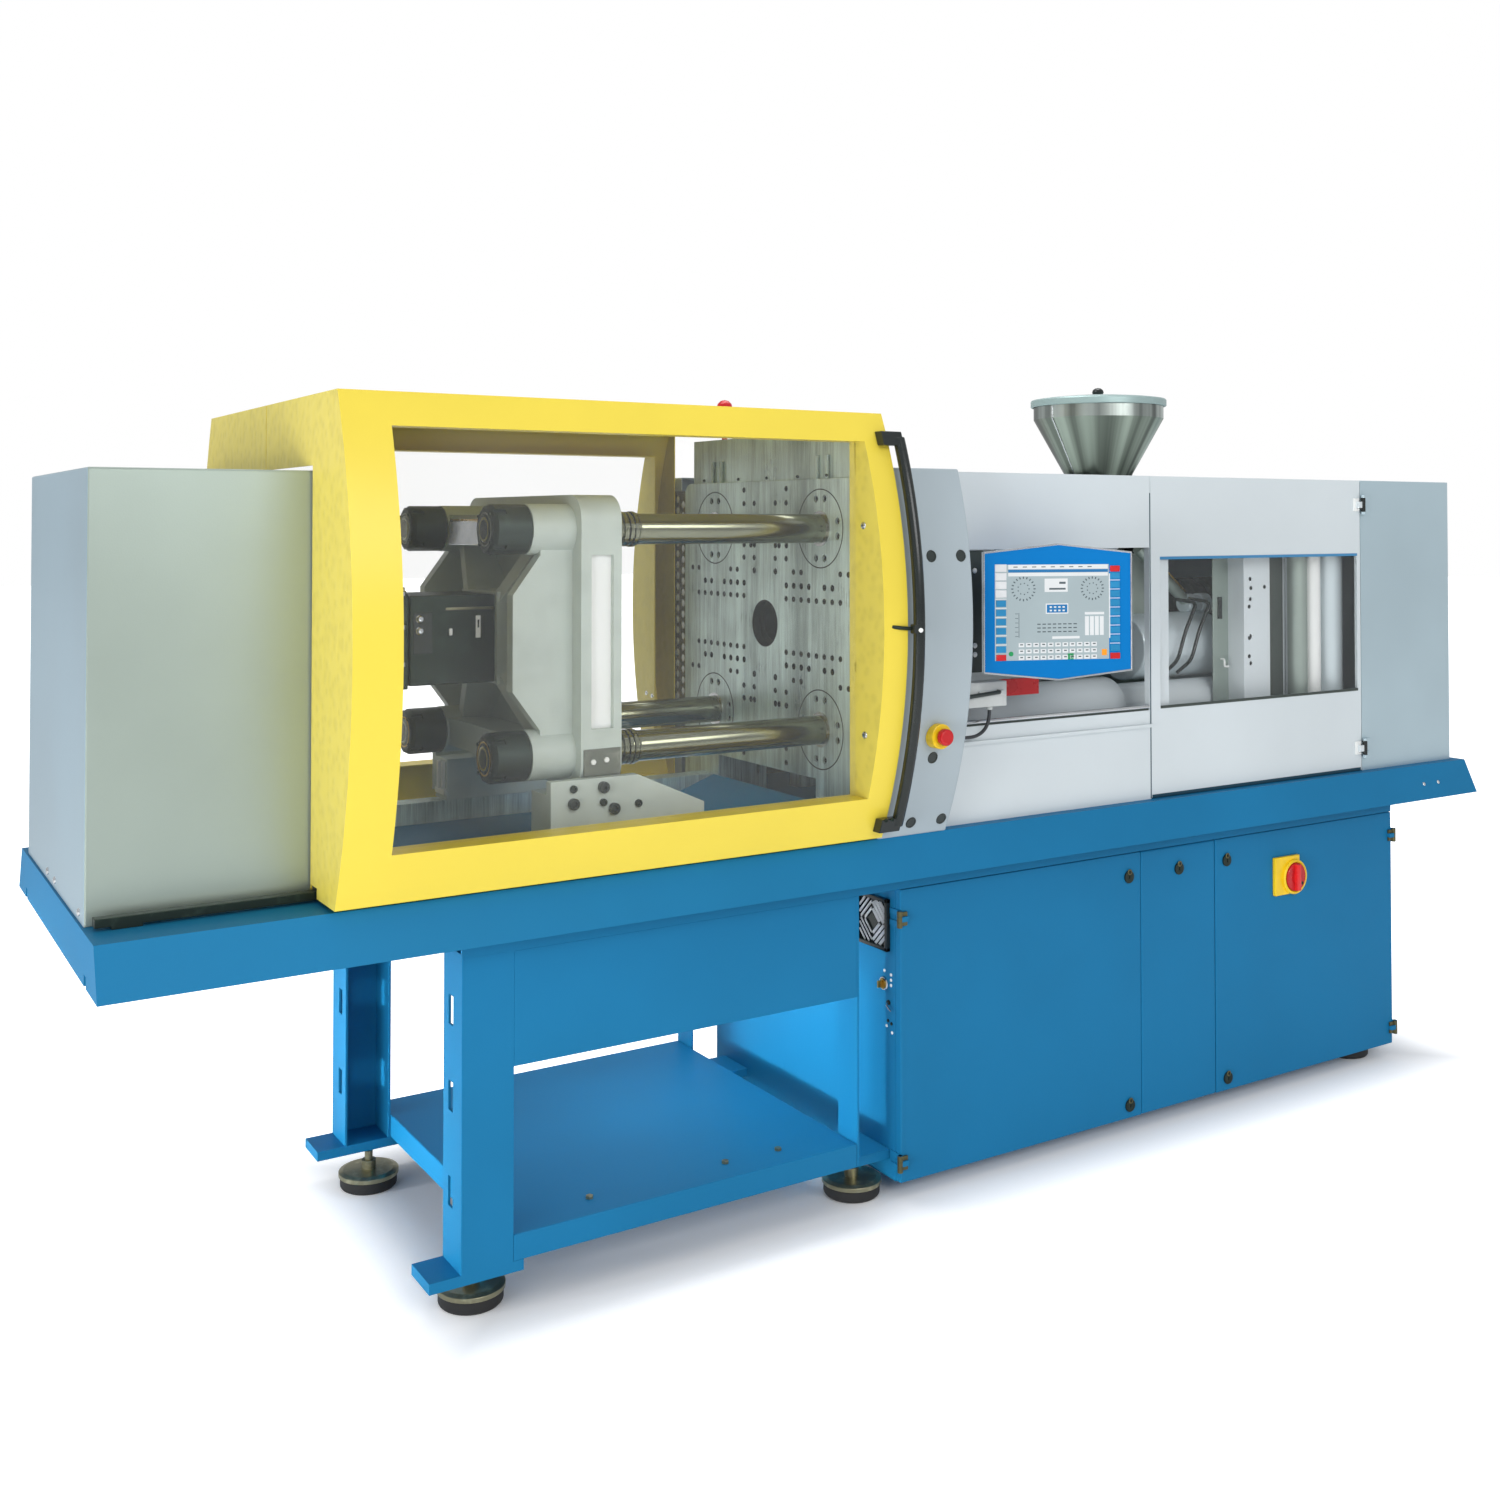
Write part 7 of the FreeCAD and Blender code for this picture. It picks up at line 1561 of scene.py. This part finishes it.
        for name, finish, corner, counts, pitch, cap in (
                ("tiles", Finish.SCREEN_WHITE, (-104.0, -131.0), (11, 3), (20.4, 17.6), (16.0, 11.5, 1.2)),
                ("tile_marks", Finish.SCREEN_MARK, (-104.0, -130.0), (11, 3), (20.4, 17.6), (8.0, 3.4, 1.9)),
                ("header_marks", Finish.SCREEN_MARK, (-120.0, 119.5), (9, 1), (26.0, 1.0), (12.0, 2.6, 1.4)),
                ("tile_lights", Finish.SCREEN_WHITE, (-22.0, -1.5), (4, 2), (12.0, 9.5), (6.5, 4.5, 1.6)),
                ("table_columns", Finish.SCREEN_WHITE, (80.0, -45.0), (4, 1), (14.0, 1), (11.5, 55.0, 0.8)),
                ("rows_of_values", Finish.SCREEN_MARK, (-55.0, -60.0), (8, 3), (14.5, 10.5),
                 (10.0, 3.2, 0.8)),
                ("scale_marks", Finish.SCREEN_MARK, (-117.0, -72.0), (1, 6), (1, 12.5), (9.0, 1.4, 0.8))):
            self.field(name, finish, corner, counts, pitch, cap)

    def dials(self) -> None:
        """Sets the marks of the two dials."""
        for name, middle, radius in (("left_dial", (-98.0, 59.0), 31.0),
                                     ("right_dial", (95.6, 59.0), 30.0)):
            rows = (("marks", radius, 20, 6.0), ("hub", radius * 0.5, 9, 3.0))
            for part, reach, count, length in rows:
                mesh = tick_growth().grow(Finish.SCREEN_MARK, Count=count, Radius=reach * MM,
                                          Length=length * MM, Width=3.0 * MM, Depth=0.9 * MM)
                out = Vector((*middle, -self.recess + 0.6)) * MM
                mesh.transform(self.page_frame() @ Matrix.Translation(out))
                settle(mesh, f"panel_{name}_{part}", "control_panel")

    def build(self) -> None:
        """Makes the whole panel."""
        self.body_pieces()
        self.keys()
        self.picture()
        self.dials()


@dataclass
class MainSwitch:
    """The main switch on the right cabinet door: plate, collar, knob and grip."""

    axis: tuple[float, float] = (1268.0, 619.0)
    door: float = -442.0
    plate_x: Span = (1188.0, 1297.0)
    plate_z: Span = (569.0, 681.0)
    collar: float = 51.0
    knob: float = 41.0
    grip_front: float = -476.0

    def build(self) -> None:
        """Makes the fixed and the turning pieces."""
        x, z = self.axis
        fixed = Form("main_switch_plate", "cabinet_right_door")
        fixed.block(self.plate_x, (self.door, self.door - 12), self.plate_z, Finish.YELLOW_PLASTIC, 3.0)
        rim = self.collar
        fixed.turned((x, self.door - 1, z), OUT, [(0, rim), (17, rim), (20, rim - 2.5), (20, rim - 6),
                                                  (17, self.knob + 1), (11.5, self.knob + 1)],
                     Finish.YELLOW_PLASTIC, 48)
        fixed.pieces()
        turning = Form("main_switch_knob", "main_switch")
        turning.turned((x, self.door - 13, z), OUT, [(0, self.knob), (9, self.knob),
                                                     (11, self.knob - 2), (11, self.knob * 0.55),
                                                     (9, self.knob * 0.5), (9, 0)],
                       Finish.RED_PLASTIC, 48)
        turning.block((x - 9, x + 9), (self.grip_front, self.door - 14),
                      (z - self.knob + 2, z + self.knob - 2), Finish.SIGNAL_RED, 3.0)
        turning.rod((x + 24, self.door - 23, z - 20), OUT, 1.8, 5.0, Finish.DARK_STEEL)
        for piece in turning.pieces():
            if piece.name.endswith("red_plastic"):
                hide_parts("main_switch_knob")


@dataclass
class CabinetFittings:
    """Hinges, lock cores, fan grille and the switches on the cabinet's left wall."""

    hinge_axes: tuple[float, float] = (-194.0, 1751.0)
    hinge_front: float = -447.0
    hinge_heights: tuple[float, ...] = (91.0, 689.0)
    wall: float = -188.0
    grille_at: tuple[float, float] = (-336.0, 664.0)
    grille_half: float = 65.0

    def hinges(self) -> None:
        """Sleeves round the knuckles with their leaves on the doors."""
        for name, x, way in (("left", self.hinge_axes[0], 1), ("right", self.hinge_axes[1], -1)):
            form = Form(f"{name}_door_hinges", f"cabinet_{name}_door")
            for z in self.hinge_heights:
                foot = z - 21
                form.turned((x, self.hinge_front, foot), UPWARDS, [
                    (0, 5.5), (1, 7.0), (13.5, 7.0), (14, 6.4), (14.5, 7.0), (27.5, 7.0), (28, 6.4),
                    (28.5, 7.0), (41, 7.0), (42, 5.5)], Finish.BRONZE, 20)
                form.block((x + way * 4, x + way * 24), (self.hinge_front + 4.8, self.hinge_front - 1),
                           (z - 17, z + 17), Finish.BRONZE, 1.0)
            form.pieces()

    def locks(self) -> None:
        """Cores and keyways of the five door locks."""
        for place in ("left_upper", "left_lower", "middle", "right_upper", "right_lower"):
            lock = "lock_" + place
            low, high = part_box(lock)
            x, z = (low[0] + high[0]) / 2 / MM, (low[2] + high[2]) / 2 / MM
            seat, _ = Skin(lock).seat((x + 5, low[1] / MM, z), OUT)
            form = Form(lock + "_core", lock)
            profile = [(0, 8), (1.4, 8), (2, 7), (2, 4.5), (0.8, 4), (0.8, 0)]
            form.turned((x, seat.y + 0.5, z), OUT, profile, Finish.BRONZE, 24)
            form.block((x - 1, x + 1), (seat.y - 2.4, seat.y), (z - 4, z + 4), Finish.BLACK_PLASTIC)
            form.pieces()

    def grille(self) -> None:
        """The fan's guard: a frame with slats that stand on their corners round a dark middle."""
        y, z = self.grille_at
        half = self.grille_half
        front = self.wall - 12
        form = Form("fan_grille", "machine_base")
        rim = 10.0
        for low, high in (((y - half, y + half), (z - half, z - half + rim)),
                          ((y - half, y + half), (z + half - rim, z + half)),
                          ((y - half, y - half + rim), (z - half, z + half)),
                          ((y + half - rim, y + half), (z - half, z + half))):
            form.block((front, self.wall), low, high, Finish.BLACK_PLASTIC, 1.5)
        inner = half - rim + 1
        form.block((self.wall - 4, self.wall), (y - inner, y + inner), (z - inner, z + inner),
                   Finish.BLACK_PLASTIC)
        pieces = form.pieces()
        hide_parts("fan_grille")
        for number in range(4):
            reach = 33.0 + 17.0 * number
            length = min(reach, 2 * inner - reach) * math.sqrt(2) - 8.0
            for quarter in range(4):
                mesh = slat_growth().grow(Finish.SLAT_GREY, Count=1, Pitch=0.01, Length=length * MM,
                                          Depth=7.0 * MM, Sheet=3.0 * MM, Slant=math.radians(28))
                lie = (Matrix.Translation(Vector((front + 4.5, y, z)) * MM)
                       @ Matrix.Rotation(math.radians(45 + 90 * quarter), 4, "X")
                       @ Matrix.Translation(Vector((0, 0, reach / math.sqrt(2))) * MM)
                       @ Matrix.Rotation(math.radians(90), 4, "Z")
                       @ Matrix.Rotation(math.radians(90), 4, "X"))
                mesh.transform(lie)
                settle(mesh, f"fan_slat_{number}_{quarter}", "machine_base")

    def wall_switches(self) -> None:
        """Bezel, small lamps and the rest lever beside the key switch."""
        form = Form("wall_switches", "machine_base")
        bezel = [(0, 17), (3, 17), (5, 15.5), (5, 13.6), (0, 13.6)]
        form.turned((self.wall, -376, 515), LEFTWARDS, bezel, Finish.SILVER_TRIM, 32)
        form.rod((self.wall + 1, -395, 472), LEFTWARDS, 6, 6, Finish.DARK_STEEL, 1.0)
        form.rod((self.wall + 1, -392, 426), LEFTWARDS, 4, 4, Finish.DARK_STEEL, 1.0)
        form.rod((self.wall + 1, -406, 422), LEFTWARDS, 4, 4, Finish.DARK_STEEL, 1.0)
        form.pipe([(self.wall - 3, -395, 472), (self.wall - 12, -400, 468), (self.wall - 14, -421, 459)],
                  2.4, Finish.SILVER_TRIM, 4)
        form.pieces()
        lamps = [(-377, 547), (-404, 542), (-404, 529), (-404, 516), (-386, 412), (-408, 400)]
        stud("wall_lamps", "machine_base", Head.DOME, 4.0, Finish.WHITE_PAINT,
             [((self.wall, y, z), LEFTWARDS) for y, z in lamps])

    def build(self) -> None:
        """Makes all of them."""
        self.hinges()
        self.locks()
        self.grille()
        self.wall_switches()


@dataclass
class ClampGuard:
    """Small pieces on the left cover, the gates and the columns."""

    jamb: float = -374.0
    handle: tuple[float, float] = (-287.0, -640.0)
    plugs: tuple[tuple[float, float], ...] = ((-212, 1588), (-121, 1588), (-185, 1102), (-210, 940),
                                              (-116, 940))
    catch_height: float = 1420.0

    def gates(self) -> None:
        """Bolts in the jambs and brackets, and the catch between gate and handle."""
        gate = Skin("front_gate_frame")
        seats = [gate.seat((self.jamb, y, z), LEFTWARDS) for y, z in ((-545, 1661), (-549, 1168))]
        stud("front_gate_jamb_bolts", "front_gate", Head.DOME, 9.0, Finish.SILVER_TRIM, seats)
        gate = Skin("rear_gate_frame")
        seats = [gate.seat((self.jamb, y, z), LEFTWARDS) for y, z in ((535, 1165), (500, 1160))]
        stud("rear_gate_jamb_screws", "rear_gate", Head.DOME, 7.0, Finish.SILVER_TRIM, seats)
        handle = Skin("front_gate_handle")
        seats = [handle.seat((x, -572, 968), OUT) for x in (-331, -312)]
        stud("front_gate_handle_screws", "front_gate", Head.SOCKET, 4.5, Finish.DARK_STEEL, seats)
        z = self.catch_height
        x, y = self.handle
        form = Form("front_gate_catch", "front_gate")
        form.pipe([(-350, -622, z + 6), (-330, -629, z + 3), (x - 8, y + 8, z)], 4.5, Finish.DARK_STEEL, 6)
        form.rod((x, y + 0.5, z - 11), UPWARDS, 22, 17.5, Finish.BLACK_PLASTIC, 2.0, 28)
        form.rod((x - 4, y - 12, z - 2), OUT, 7, 6, Finish.WHITE_PAINT, 1.5)
        form.pieces()

    def columns(self) -> None:
        """Round plugs in the front column."""
        column = Skin("side_columns")
        seats = [column.seat((x, -560, z), OUT) for x, z in self.plugs]
        stud("column_plugs", "machine_base", Head.RECESS, 15.0, Finish.PLUG_GREY, seats)

    def left_cover(self) -> None:
        """Dome screws on the left cover's end face."""
        cover = Skin("left_cover")
        seats = [cover.seat((-2050, y, z), LEFTWARDS) for y, z in ((109, 925), (8, 925), (-300, 925))]
        stud("left_cover_screws", "machine_base", Head.DOME, 8.0, Finish.SILVER_TRIM, seats)

    def build(self) -> None:
        """Makes all of them."""
        self.gates()
        self.columns()
        self.left_cover()


@dataclass
class ClampFittings:
    """Fasteners and fittings of the platens, the tie bars and the ejector."""

    tie_bars: tuple[float, float, float] = (261.0, 1143.0, 1653.0)
    nut: tuple[float, float] = (-1208.0, 57.0)
    flange_circle: float = 78.0
    axis_height: float = 1398.0
    hole_pitch: float = 35.0
    platen_side: float = -342.0
    shoe_side: float = -366.0
    housing_side: float = -99.0

    def corners(self) -> list[tuple[float, float]]:
        """Gives the (Y, Z) of the four tie bars."""
        half, low, high = self.tie_bars
        return [(side * half, z) for side in (-1, 1) for z in (low, high)]

    def fixed_platen(self) -> None:
        """Screws of the tie bar flanges and of the hood."""
        form = Form("tie_bar_flange_rims", "machine_base")
        seats = []
        for y, z in self.corners():
            # a thin near-black ring round each flange's edge: painted shade
            form.hoop((-302.8, y, z), LEFTWARDS, (98.6, 101.6), 0.6, Finish.BORE_DARK, 64)
            form.hoop((-303.0, y, z), LEFTWARDS, (37.2, 45.0), 2.0, Finish.BRIGHT_STEEL, 40)
            for turn in (14, 76, 104, 166, 194, 256, 284, 346):
                seats.append((Vector((-290.5, y, z)) + round_x(turn) * self.flange_circle, LEFTWARDS))
        # a white plate behind the perforated strip stands for the light seen through its holes: painted
        # light
        form.block((-299.8, -298.4), (434, 488), (1130, 1752), Finish.WHITE_PAINT)
        form.pieces()
        # the flange screws are near black to stand for their dark counterbores: painted shade
        stud("flange_screws", "machine_base", Head.SOCKET, 8.2, Finish.BORE_DARK, seats)
        # near-black discs where the platen shows rows of holes: painted shade, no holes are cut
        rows = ((70, range(3, 11)), (141, (1.5, 4, 5, 10, 11)), (175, (1.5, 3)), (322, (1.5, 3)),
                (359, (3,)))
        holes = [((-303.2, way * column * self.hole_pitch, self.axis_height + up * rise), LEFTWARDS)
                 for rise, columns in rows for column in columns for way in (-1, 1) for up in (-1, 1)]
        stud("mould_holes", "machine_base", Head.RECESS, 7.5, Finish.BORE_DARK, holes)
        hood = Skin("platen_guards")
        seats = [hood.seat((-303, y, 1788), LEFTWARDS) for y in (340, 153, 8, -142, -288)]
        stud("hood_screws", "machine_base", Head.SOCKET, 4.0, Finish.DARK_STEEL, seats)

    def nuts(self) -> None:
        """Faceted end caps with lock screws on the tie bar nuts."""
        end, radius = self.nut
        form = Form("tie_bar_nut_caps", "clamp_unit")
        for y, z in self.corners():
            cap = Finish.SLAT_GREY if y > 0 else Finish.DARK_STEEL
            ring = Finish.BRASS if z < 1400 else Finish.PLATE_STEEL
            form.turned((end + 1, y, z), LEFTWARDS, [(0, radius * 0.97), (4, radius * 0.86),
                                                     (4, radius * 0.6)], Finish.DARK_STEEL, 10)
            form.turned((end - 2, y, z), LEFTWARDS, [(0, radius * 0.62), (3, radius * 0.56),
                                                     (4, radius * 0.4), (4, 0)], cap, 10)
            form.hoop((end - 2, y, z), LEFTWARDS, (radius * 0.62, radius * 0.68), 2.4, ring, 30)
        form.pieces()
        collars = Form("tie_bar_collars", "clamp_unit")
        for y, z in self.corners():
            for place, reach, depth in ((-878, 41.0, 10), (-863, 40.5, 8), (-851, 42.0, 9),
                                        (-838, 39.0, 4)):
                collars.hoop((place, y, z), (1, 0, 0), (31.6, reach), depth, Finish.HARD_CHROME, 40)
        collars.pieces()
        seats = []
        for y, z in self.corners():
            for turn in (40, 130, 220, 310):
                seats.append((Vector((end - 2, y, z)) + round_x(turn) * radius * 0.78, LEFTWARDS))
        stud("nut_lock_screws", "clamp_unit", Head.SOCKET, 4.5, Finish.DARK_STEEL, seats)

    def moving_platen(self) -> None:
        """Foot plate, side strip, top bar, forked bracket and their bolts."""
        side = self.platen_side
        form = Form("moving_platen_fittings", "clamp_unit")
        form.block((-1006, -913), (side - 2.5, side + 1), (1096, 1157), Finish.PLATE_STEEL, 1.0)
        form.block((-1150, -1119), (-120, 120), (1614, 1672), Finish.SILVER_TRIM, 2.0)
        form.block((-1148, -1121), (-116, 116), (1672, 1677), Finish.BRASS, 1.0)
        for y in (276, 306):
            form.block((-1104, -1092), (y, y + 12), (985, 1056), Finish.WHITE_PAINT, 1.5)
        form.block((-1104, -1090), (266, 330), (973, 987), Finish.WHITE_PAINT, 1.5)
        form.pieces()
        bolts = [((-983, side - 2.5, 1128), OUT), ((-950, side - 2.5, 1131), OUT)]
        stud("foot_plate_bolts", "clamp_unit", Head.HEX, 6.5, Finish.WHITE_PAINT, bolts)
        shoe = self.shoe_side
        large = [((-1043, shoe, 1043), OUT), ((-969, shoe, 1074), OUT), ((-942, shoe, 1024), OUT)]
        small = [((-1043, shoe, 1076), OUT), ((-969, shoe, 1040), OUT), ((-880, shoe, 1030), OUT)]
        stud("shoe_bolts", "clamp_unit", Head.SOCKET, 13.0, Finish.PLUG_GREY, large)
        stud("shoe_screws", "clamp_unit", Head.SOCKET, 8.5, Finish.DARK_STEEL, small)

    def ejector(self) -> None:
        """End plate bolts, fittings, the sensor and the slotted rail on the ejector's housing."""
        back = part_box("ejector_housing")[0][0] / MM
        side = self.housing_side
        form = Form("ejector_fittings", "clamp_unit")
        nipple = [(0, 9), (5, 9), (6, 7), (12, 7), (13, 5.5), (13, 3), (5, 3)]
        for z in (1421, 1448):
            form.turned((-1304, side, z), OUT, nipple, Finish.SILVER_TRIM, 18)
        form.block((-1233, -1225), (side - 6, side), (1408, 1424), Finish.WHITE_PAINT, 1.5)
        form.block((-1167, -1155), (side - 3, side), (1400, 1452), Finish.WHITE_PAINT, 1.0)
        form.block((-1163, -1159), (side - 3.6, side - 1), (1424, 1442), Finish.BLACK_PLASTIC)
        form.block((-1318, -1272), (side - 2, side), (1368, 1462), Finish.PLUG_GREY, 1.0)
        form.block((-1240, -1122), (side - 1.5, side), (1466, 1472), Finish.ZINC, 0.5)
        form.rod((-1345, side - 7, 1330), UPWARDS, 192, 4.5, Finish.ZINC, 1.0)
        for z in (1340, 1424, 1500):
            form.rod((-1345, side - 7, z), UPWARDS, 14, 8, Finish.SILVER_TRIM, 2.0)
        form.block((back - 1, back + 12), (-88, 88), (1335, 1518), Finish.DARK_STEEL, 2.0)
        form.pieces()
        seats = [((back - 1, y, z), LEFTWARDS) for y in (-70, 70) for z in (1354, 1498)]
        stud("ejector_end_bolts", "clamp_unit", Head.SOCKET, 9.0, Finish.ZINC, seats)

    def build(self) -> None:
        """Makes all of them."""
        self.fixed_platen()
        self.nuts()
        self.moving_platen()
        self.ejector()


@dataclass
class CoverFittings:
    """Trims, hinge leaves and screws of the injection end's covers."""

    face: float = -461.0
    window_x: Span = (706.0, 1564.0)
    window_z: Span = (1160.0, 1565.0)
    hinge_axis: tuple[float, float] = (1581.0, -472.0)
    hinge_heights: tuple[float, float] = (977.0, 1722.0)

    def build(self) -> None:
        """Makes them."""
        form = Form("window_trim", "window_door")
        left, right = self.window_x
        low, high = self.window_z
        inside = self.face + 12
        form.block((left, right), (self.face - 1, self.face + 1), (high, high + 8),
                   Finish.TRIM_BLUE, 0.3)
        # a dark strip along the window's lower edge: painted shade under the opening
        form.block((left, right), (self.face - 1, self.face + 1), (low - 8, low), Finish.INNER_DARK, 0.3)
        form.block((left, left + 46), (inside, inside + 3), (low - 4, high + 4), Finish.COVER_GREY)
        form.block((672, 1574), (self.face - 1, self.face + 1), (908, 917), Finish.TRIM_DARK, 0.3)
        form.block((665.5, 668.5), (self.face - 0.6, self.face + 1), (908, 1750), Finish.TRIM_DARK)
        x, y = self.hinge_axis
        for z in self.hinge_heights:
            form.block((x - 34, x - 8), (self.face, self.face - 4), (z - 20, z + 20),
                       Finish.WHITE_PAINT, 1.0)
            form.turned((x, y, z - 22), UPWARDS, [(0, 5), (1, 7), (43, 7), (44, 5)],
                        Finish.BLACK_PLASTIC, 20)
        form.pieces()
        sill = Form("opening_sill", "machine_base")
        sill.block((-10, 663), (self.face - 0.3, self.face + 7), (1100, 1150), Finish.COVER_GREY)
        # a dark strip under the sill's rod: painted shade
        sill.block((-10, 663), (self.face + 4, self.face + 12), (1149, 1156), Finish.INNER_DARK, 1.0)
        sill.rod((-10, self.face + 3, 1160), (1, 0, 0), 673, 5.0, Finish.SILVER_TRIM, 1.0)
        sill.block((106, 268), (-447, -441), (1218, 1262), Finish.RED_PLASTIC, 1.0)
        # a dark sheet in the left part of the opening: painted shade where the opening is dark
        sill.block((15, 75), (-452, -446), (1285, 1596), Finish.INNER_DARK, 1.0)
        sill.pipe([(-46, -505, 1232), (-46, -515, 1232), (74, -515, 1240), (74, -505, 1240)], 5.5,
                  Finish.PLUG_GREY, 6)
        sill.pieces()
        stud("opening_screws", "machine_base", Head.DOME, 7.0, Finish.WHITE_PAINT,
             [((45.0, -452.0, z), OUT) for z in (1331, 1354, 1545)])
        bed = Skin("machine_bed")
        seats = [bed.seat((x, -516, 852), OUT) for x in (1808, 1880)]
        stud("apron_screws", "machine_base", Head.DOME, 6.0, Finish.SILVER_TRIM, seats)
        shelf = [(-647, -365), (-501, -368), (-1000, -365)]
        stud("shelf_bolts", "machine_base", Head.HEX, 9.0, Finish.ZINC,
             [((x, y, 165.0), UPWARDS) for x, y in shelf])


class InjectionFittings:
    """Fittings of the injection unit that show through the window."""

    def build(self) -> None:
        """Makes them."""
        form = Form("injection_fittings", "injection_unit")
        form.pipe([(900, -192, 1590), (1100, -192, 1430)], 17.0, Finish.SATIN_GREY, 1)
        form.pipe([(903, -206, 1606), (1088, -206, 1458)], 3.0, Finish.BRASS, 1, 8)
        form.turned((1092, -192, 1420), (1, 0, 0), [(0, 26), (6, 30), (30, 30), (32, 26), (60, 26),
                                                    (62, 30), (98, 30), (104, 24)],
                    Finish.CYLINDER_STEEL, 36)
        form.rod((1196, -192, 1398), (1, 0, 0), 46, 8, Finish.WHITE_PAINT, 2.0)
        form.turned((1171, -192, 1298), (1, 0, 0), [(0, 60), (10, 60), (12, 56), (12, 30), (4, 28)],
                    Finish.SLAT_GREY, 36)
        for shift in (0, 58):
            form.pipe([(1088 - shift, -220, 1436), (1070 - shift, -319, 1430),
                       (1020 - shift, -321, 1350), (985 - shift, -321, 1262),
                       (978 - shift, -272, 1222)], 5.5, Finish.BLACK_PLASTIC, 24, 12)
        form.pieces()
        posts = Form("inner_post_fittings", "machine_base")
        # small black discs stand in for the holes in the post: painted shade
        for x, z in ((1162, 1473), (1222, 1475), (1154, 1418), (1154, 1325), (1153, 1271)):
            posts.rod((x, -391.4, z), OUT, 2.0, 6.0, Finish.BLACK_PLASTIC, 0.5)
        # a dark sheet in the gap between post and pipes and a black block for the slot in the column:
        # painted shade
        posts.block((1250, 1372), (-338, -334), (1100, 1640), Finish.INNER_DARK, 1.0)
        posts.block((1086, 1104), (-335, -331), (1380, 1446), Finish.BLACK_PLASTIC, 1.0)
        posts.pipe([(1092, -338, 1262), (1092, -352, 1262), (1092, -352, 1240), (1110, -352, 1240)],
                   3.0, Finish.WHITE_PAINT, 6)
        posts.pieces()


@dataclass
class Hopper:
    """The material hopper: a turned sheet cone with a band round its top, and its lid."""

    axis: float = 930.0
    radius: float = 197.5
    rim: float = 2030.0
    waist: float = 1988.0
    throat: float = 50.0
    throat_top: float = 1719.0
    foot: float = 1574.0
    flange: tuple[float, float] = (78.0, 12.0)
    sheet: float = 2.0

    def outline(self) -> list[tuple[float, float]]:
        """Gives the shell's outline, up its outside and down its inside."""
        inner = self.radius - self.sheet
        throat = self.throat - self.sheet
        return [(throat, self.foot), (self.flange[0], self.foot),
                (self.flange[0], self.foot + self.flange[1]), (self.throat, self.foot + self.flange[1]),
                (self.throat, self.throat_top), (self.radius, self.waist),
                (inner, self.waist + 1),
                (throat, self.throat_top + 1), (throat, self.foot)]

    def build(self) -> None:
        """Makes the shell, its band, the two wires down its side, the lid and the flange's screws."""
        base = bpy.data.meshes.new("hopper_outline")
        base.from_pydata([(r * MM, 0.0, z * MM) for r, z in self.outline()], [], [])
        mesh = turning_growth().grow(Finish.STAINLESS, base, Sides=72)
        mesh.transform(Matrix.Translation((self.axis * MM, 0, 0)))
        work = bmesh.new()
        work.from_mesh(mesh)
        bmesh.ops.recalc_face_normals(work, faces=work.faces)
        work.to_mesh(mesh)
        work.free()
        shell = settle(mesh, "hopper_shell", "injection_unit")
        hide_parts("hopper")
        # the band takes a paler copy of the cone's steel: painted reflection
        band = Form("hopper_band", "injection_unit")
        band.hoop((self.axis, 0, self.waist), UPWARDS, (self.radius - self.sheet, self.radius),
                  self.rim - self.waist, Finish.HOPPER_BAND, 72)
        band.pieces()
        form = Form("hopper_fittings", "injection_unit")
        turn = math.radians(182)
        for part in (turn, turn + math.pi):
            away = Vector((math.cos(part), math.sin(part), 0))
            low = away * (self.throat + 1.5) + Vector((self.axis, 0, self.throat_top + 2))
            high = away * (self.radius + 1.5) + Vector((self.axis, 0, self.waist - 2))
            form.pipe([low, high], 1.8, Finish.SILVER_TRIM, 1, 8)
            form.pipe([high, high + Vector((0, 0, 36))], 1.8, Finish.SILVER_TRIM, 1, 8)
        form.pieces()
        lid = Form("hopper_lid", "injection_unit")
        bottom, outer = self.rim - 4, self.radius + 9
        lid.turned((self.axis, 0, bottom), UPWARDS, [
            (4, self.radius + 1), (0, self.radius + 2), (0, outer - 2), (2, outer), (18, outer),
            (22, outer - 3), (26, outer * 0.85), (33, outer * 0.5), (36, 14), (36, 0)],
            Finish.LID_GREY, 64)
        lid.turned((self.axis, 0, bottom + 35), UPWARDS, [
            (0, 9), (4, 9), (6, 16), (12, 18), (19, 15.5), (24, 9), (25.9, 0)], Finish.BLACK_PLASTIC)
        for piece in lid.pieces():
            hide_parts("hopper_lid")
        seats = []
        for part in range(4):
            turn = math.pi * (part / 2 + 0.25)
            away = Vector((math.cos(turn), math.sin(turn), 0))
            seats.append((Vector((self.axis, 0, self.foot + self.flange[1])) + away * 64.0, UPWARDS))
        stud("hopper_flange_screws", "injection_unit", Head.SOCKET, 6.0, Finish.ZINC, seats)


def dress_frame() -> None:
    """Dresses every node of the frame that a piece of its own doesn't stand for."""
    for body, nodes in frame["record"]["behaviour"]["bodies"].items():
        for node in nodes:
            if node in DRESSINGS:
                dress_node(node, body, DRESSINGS[node])


def main() -> None:
    """Builds the scene, one assembly after another."""
    logging.basicConfig(level=logging.INFO, format="%(name)s: %(message)s")
    Studio().build()
    ConnectorCable().build()
    dress_frame()
    for assembly in (ControlPanel(), MainSwitch(), CabinetFittings(), ClampGuard(), ClampFittings(),
                     CoverFittings(), InjectionFittings(), Hopper()):
        assembly.build()


if __name__ == "__main__":
    main()
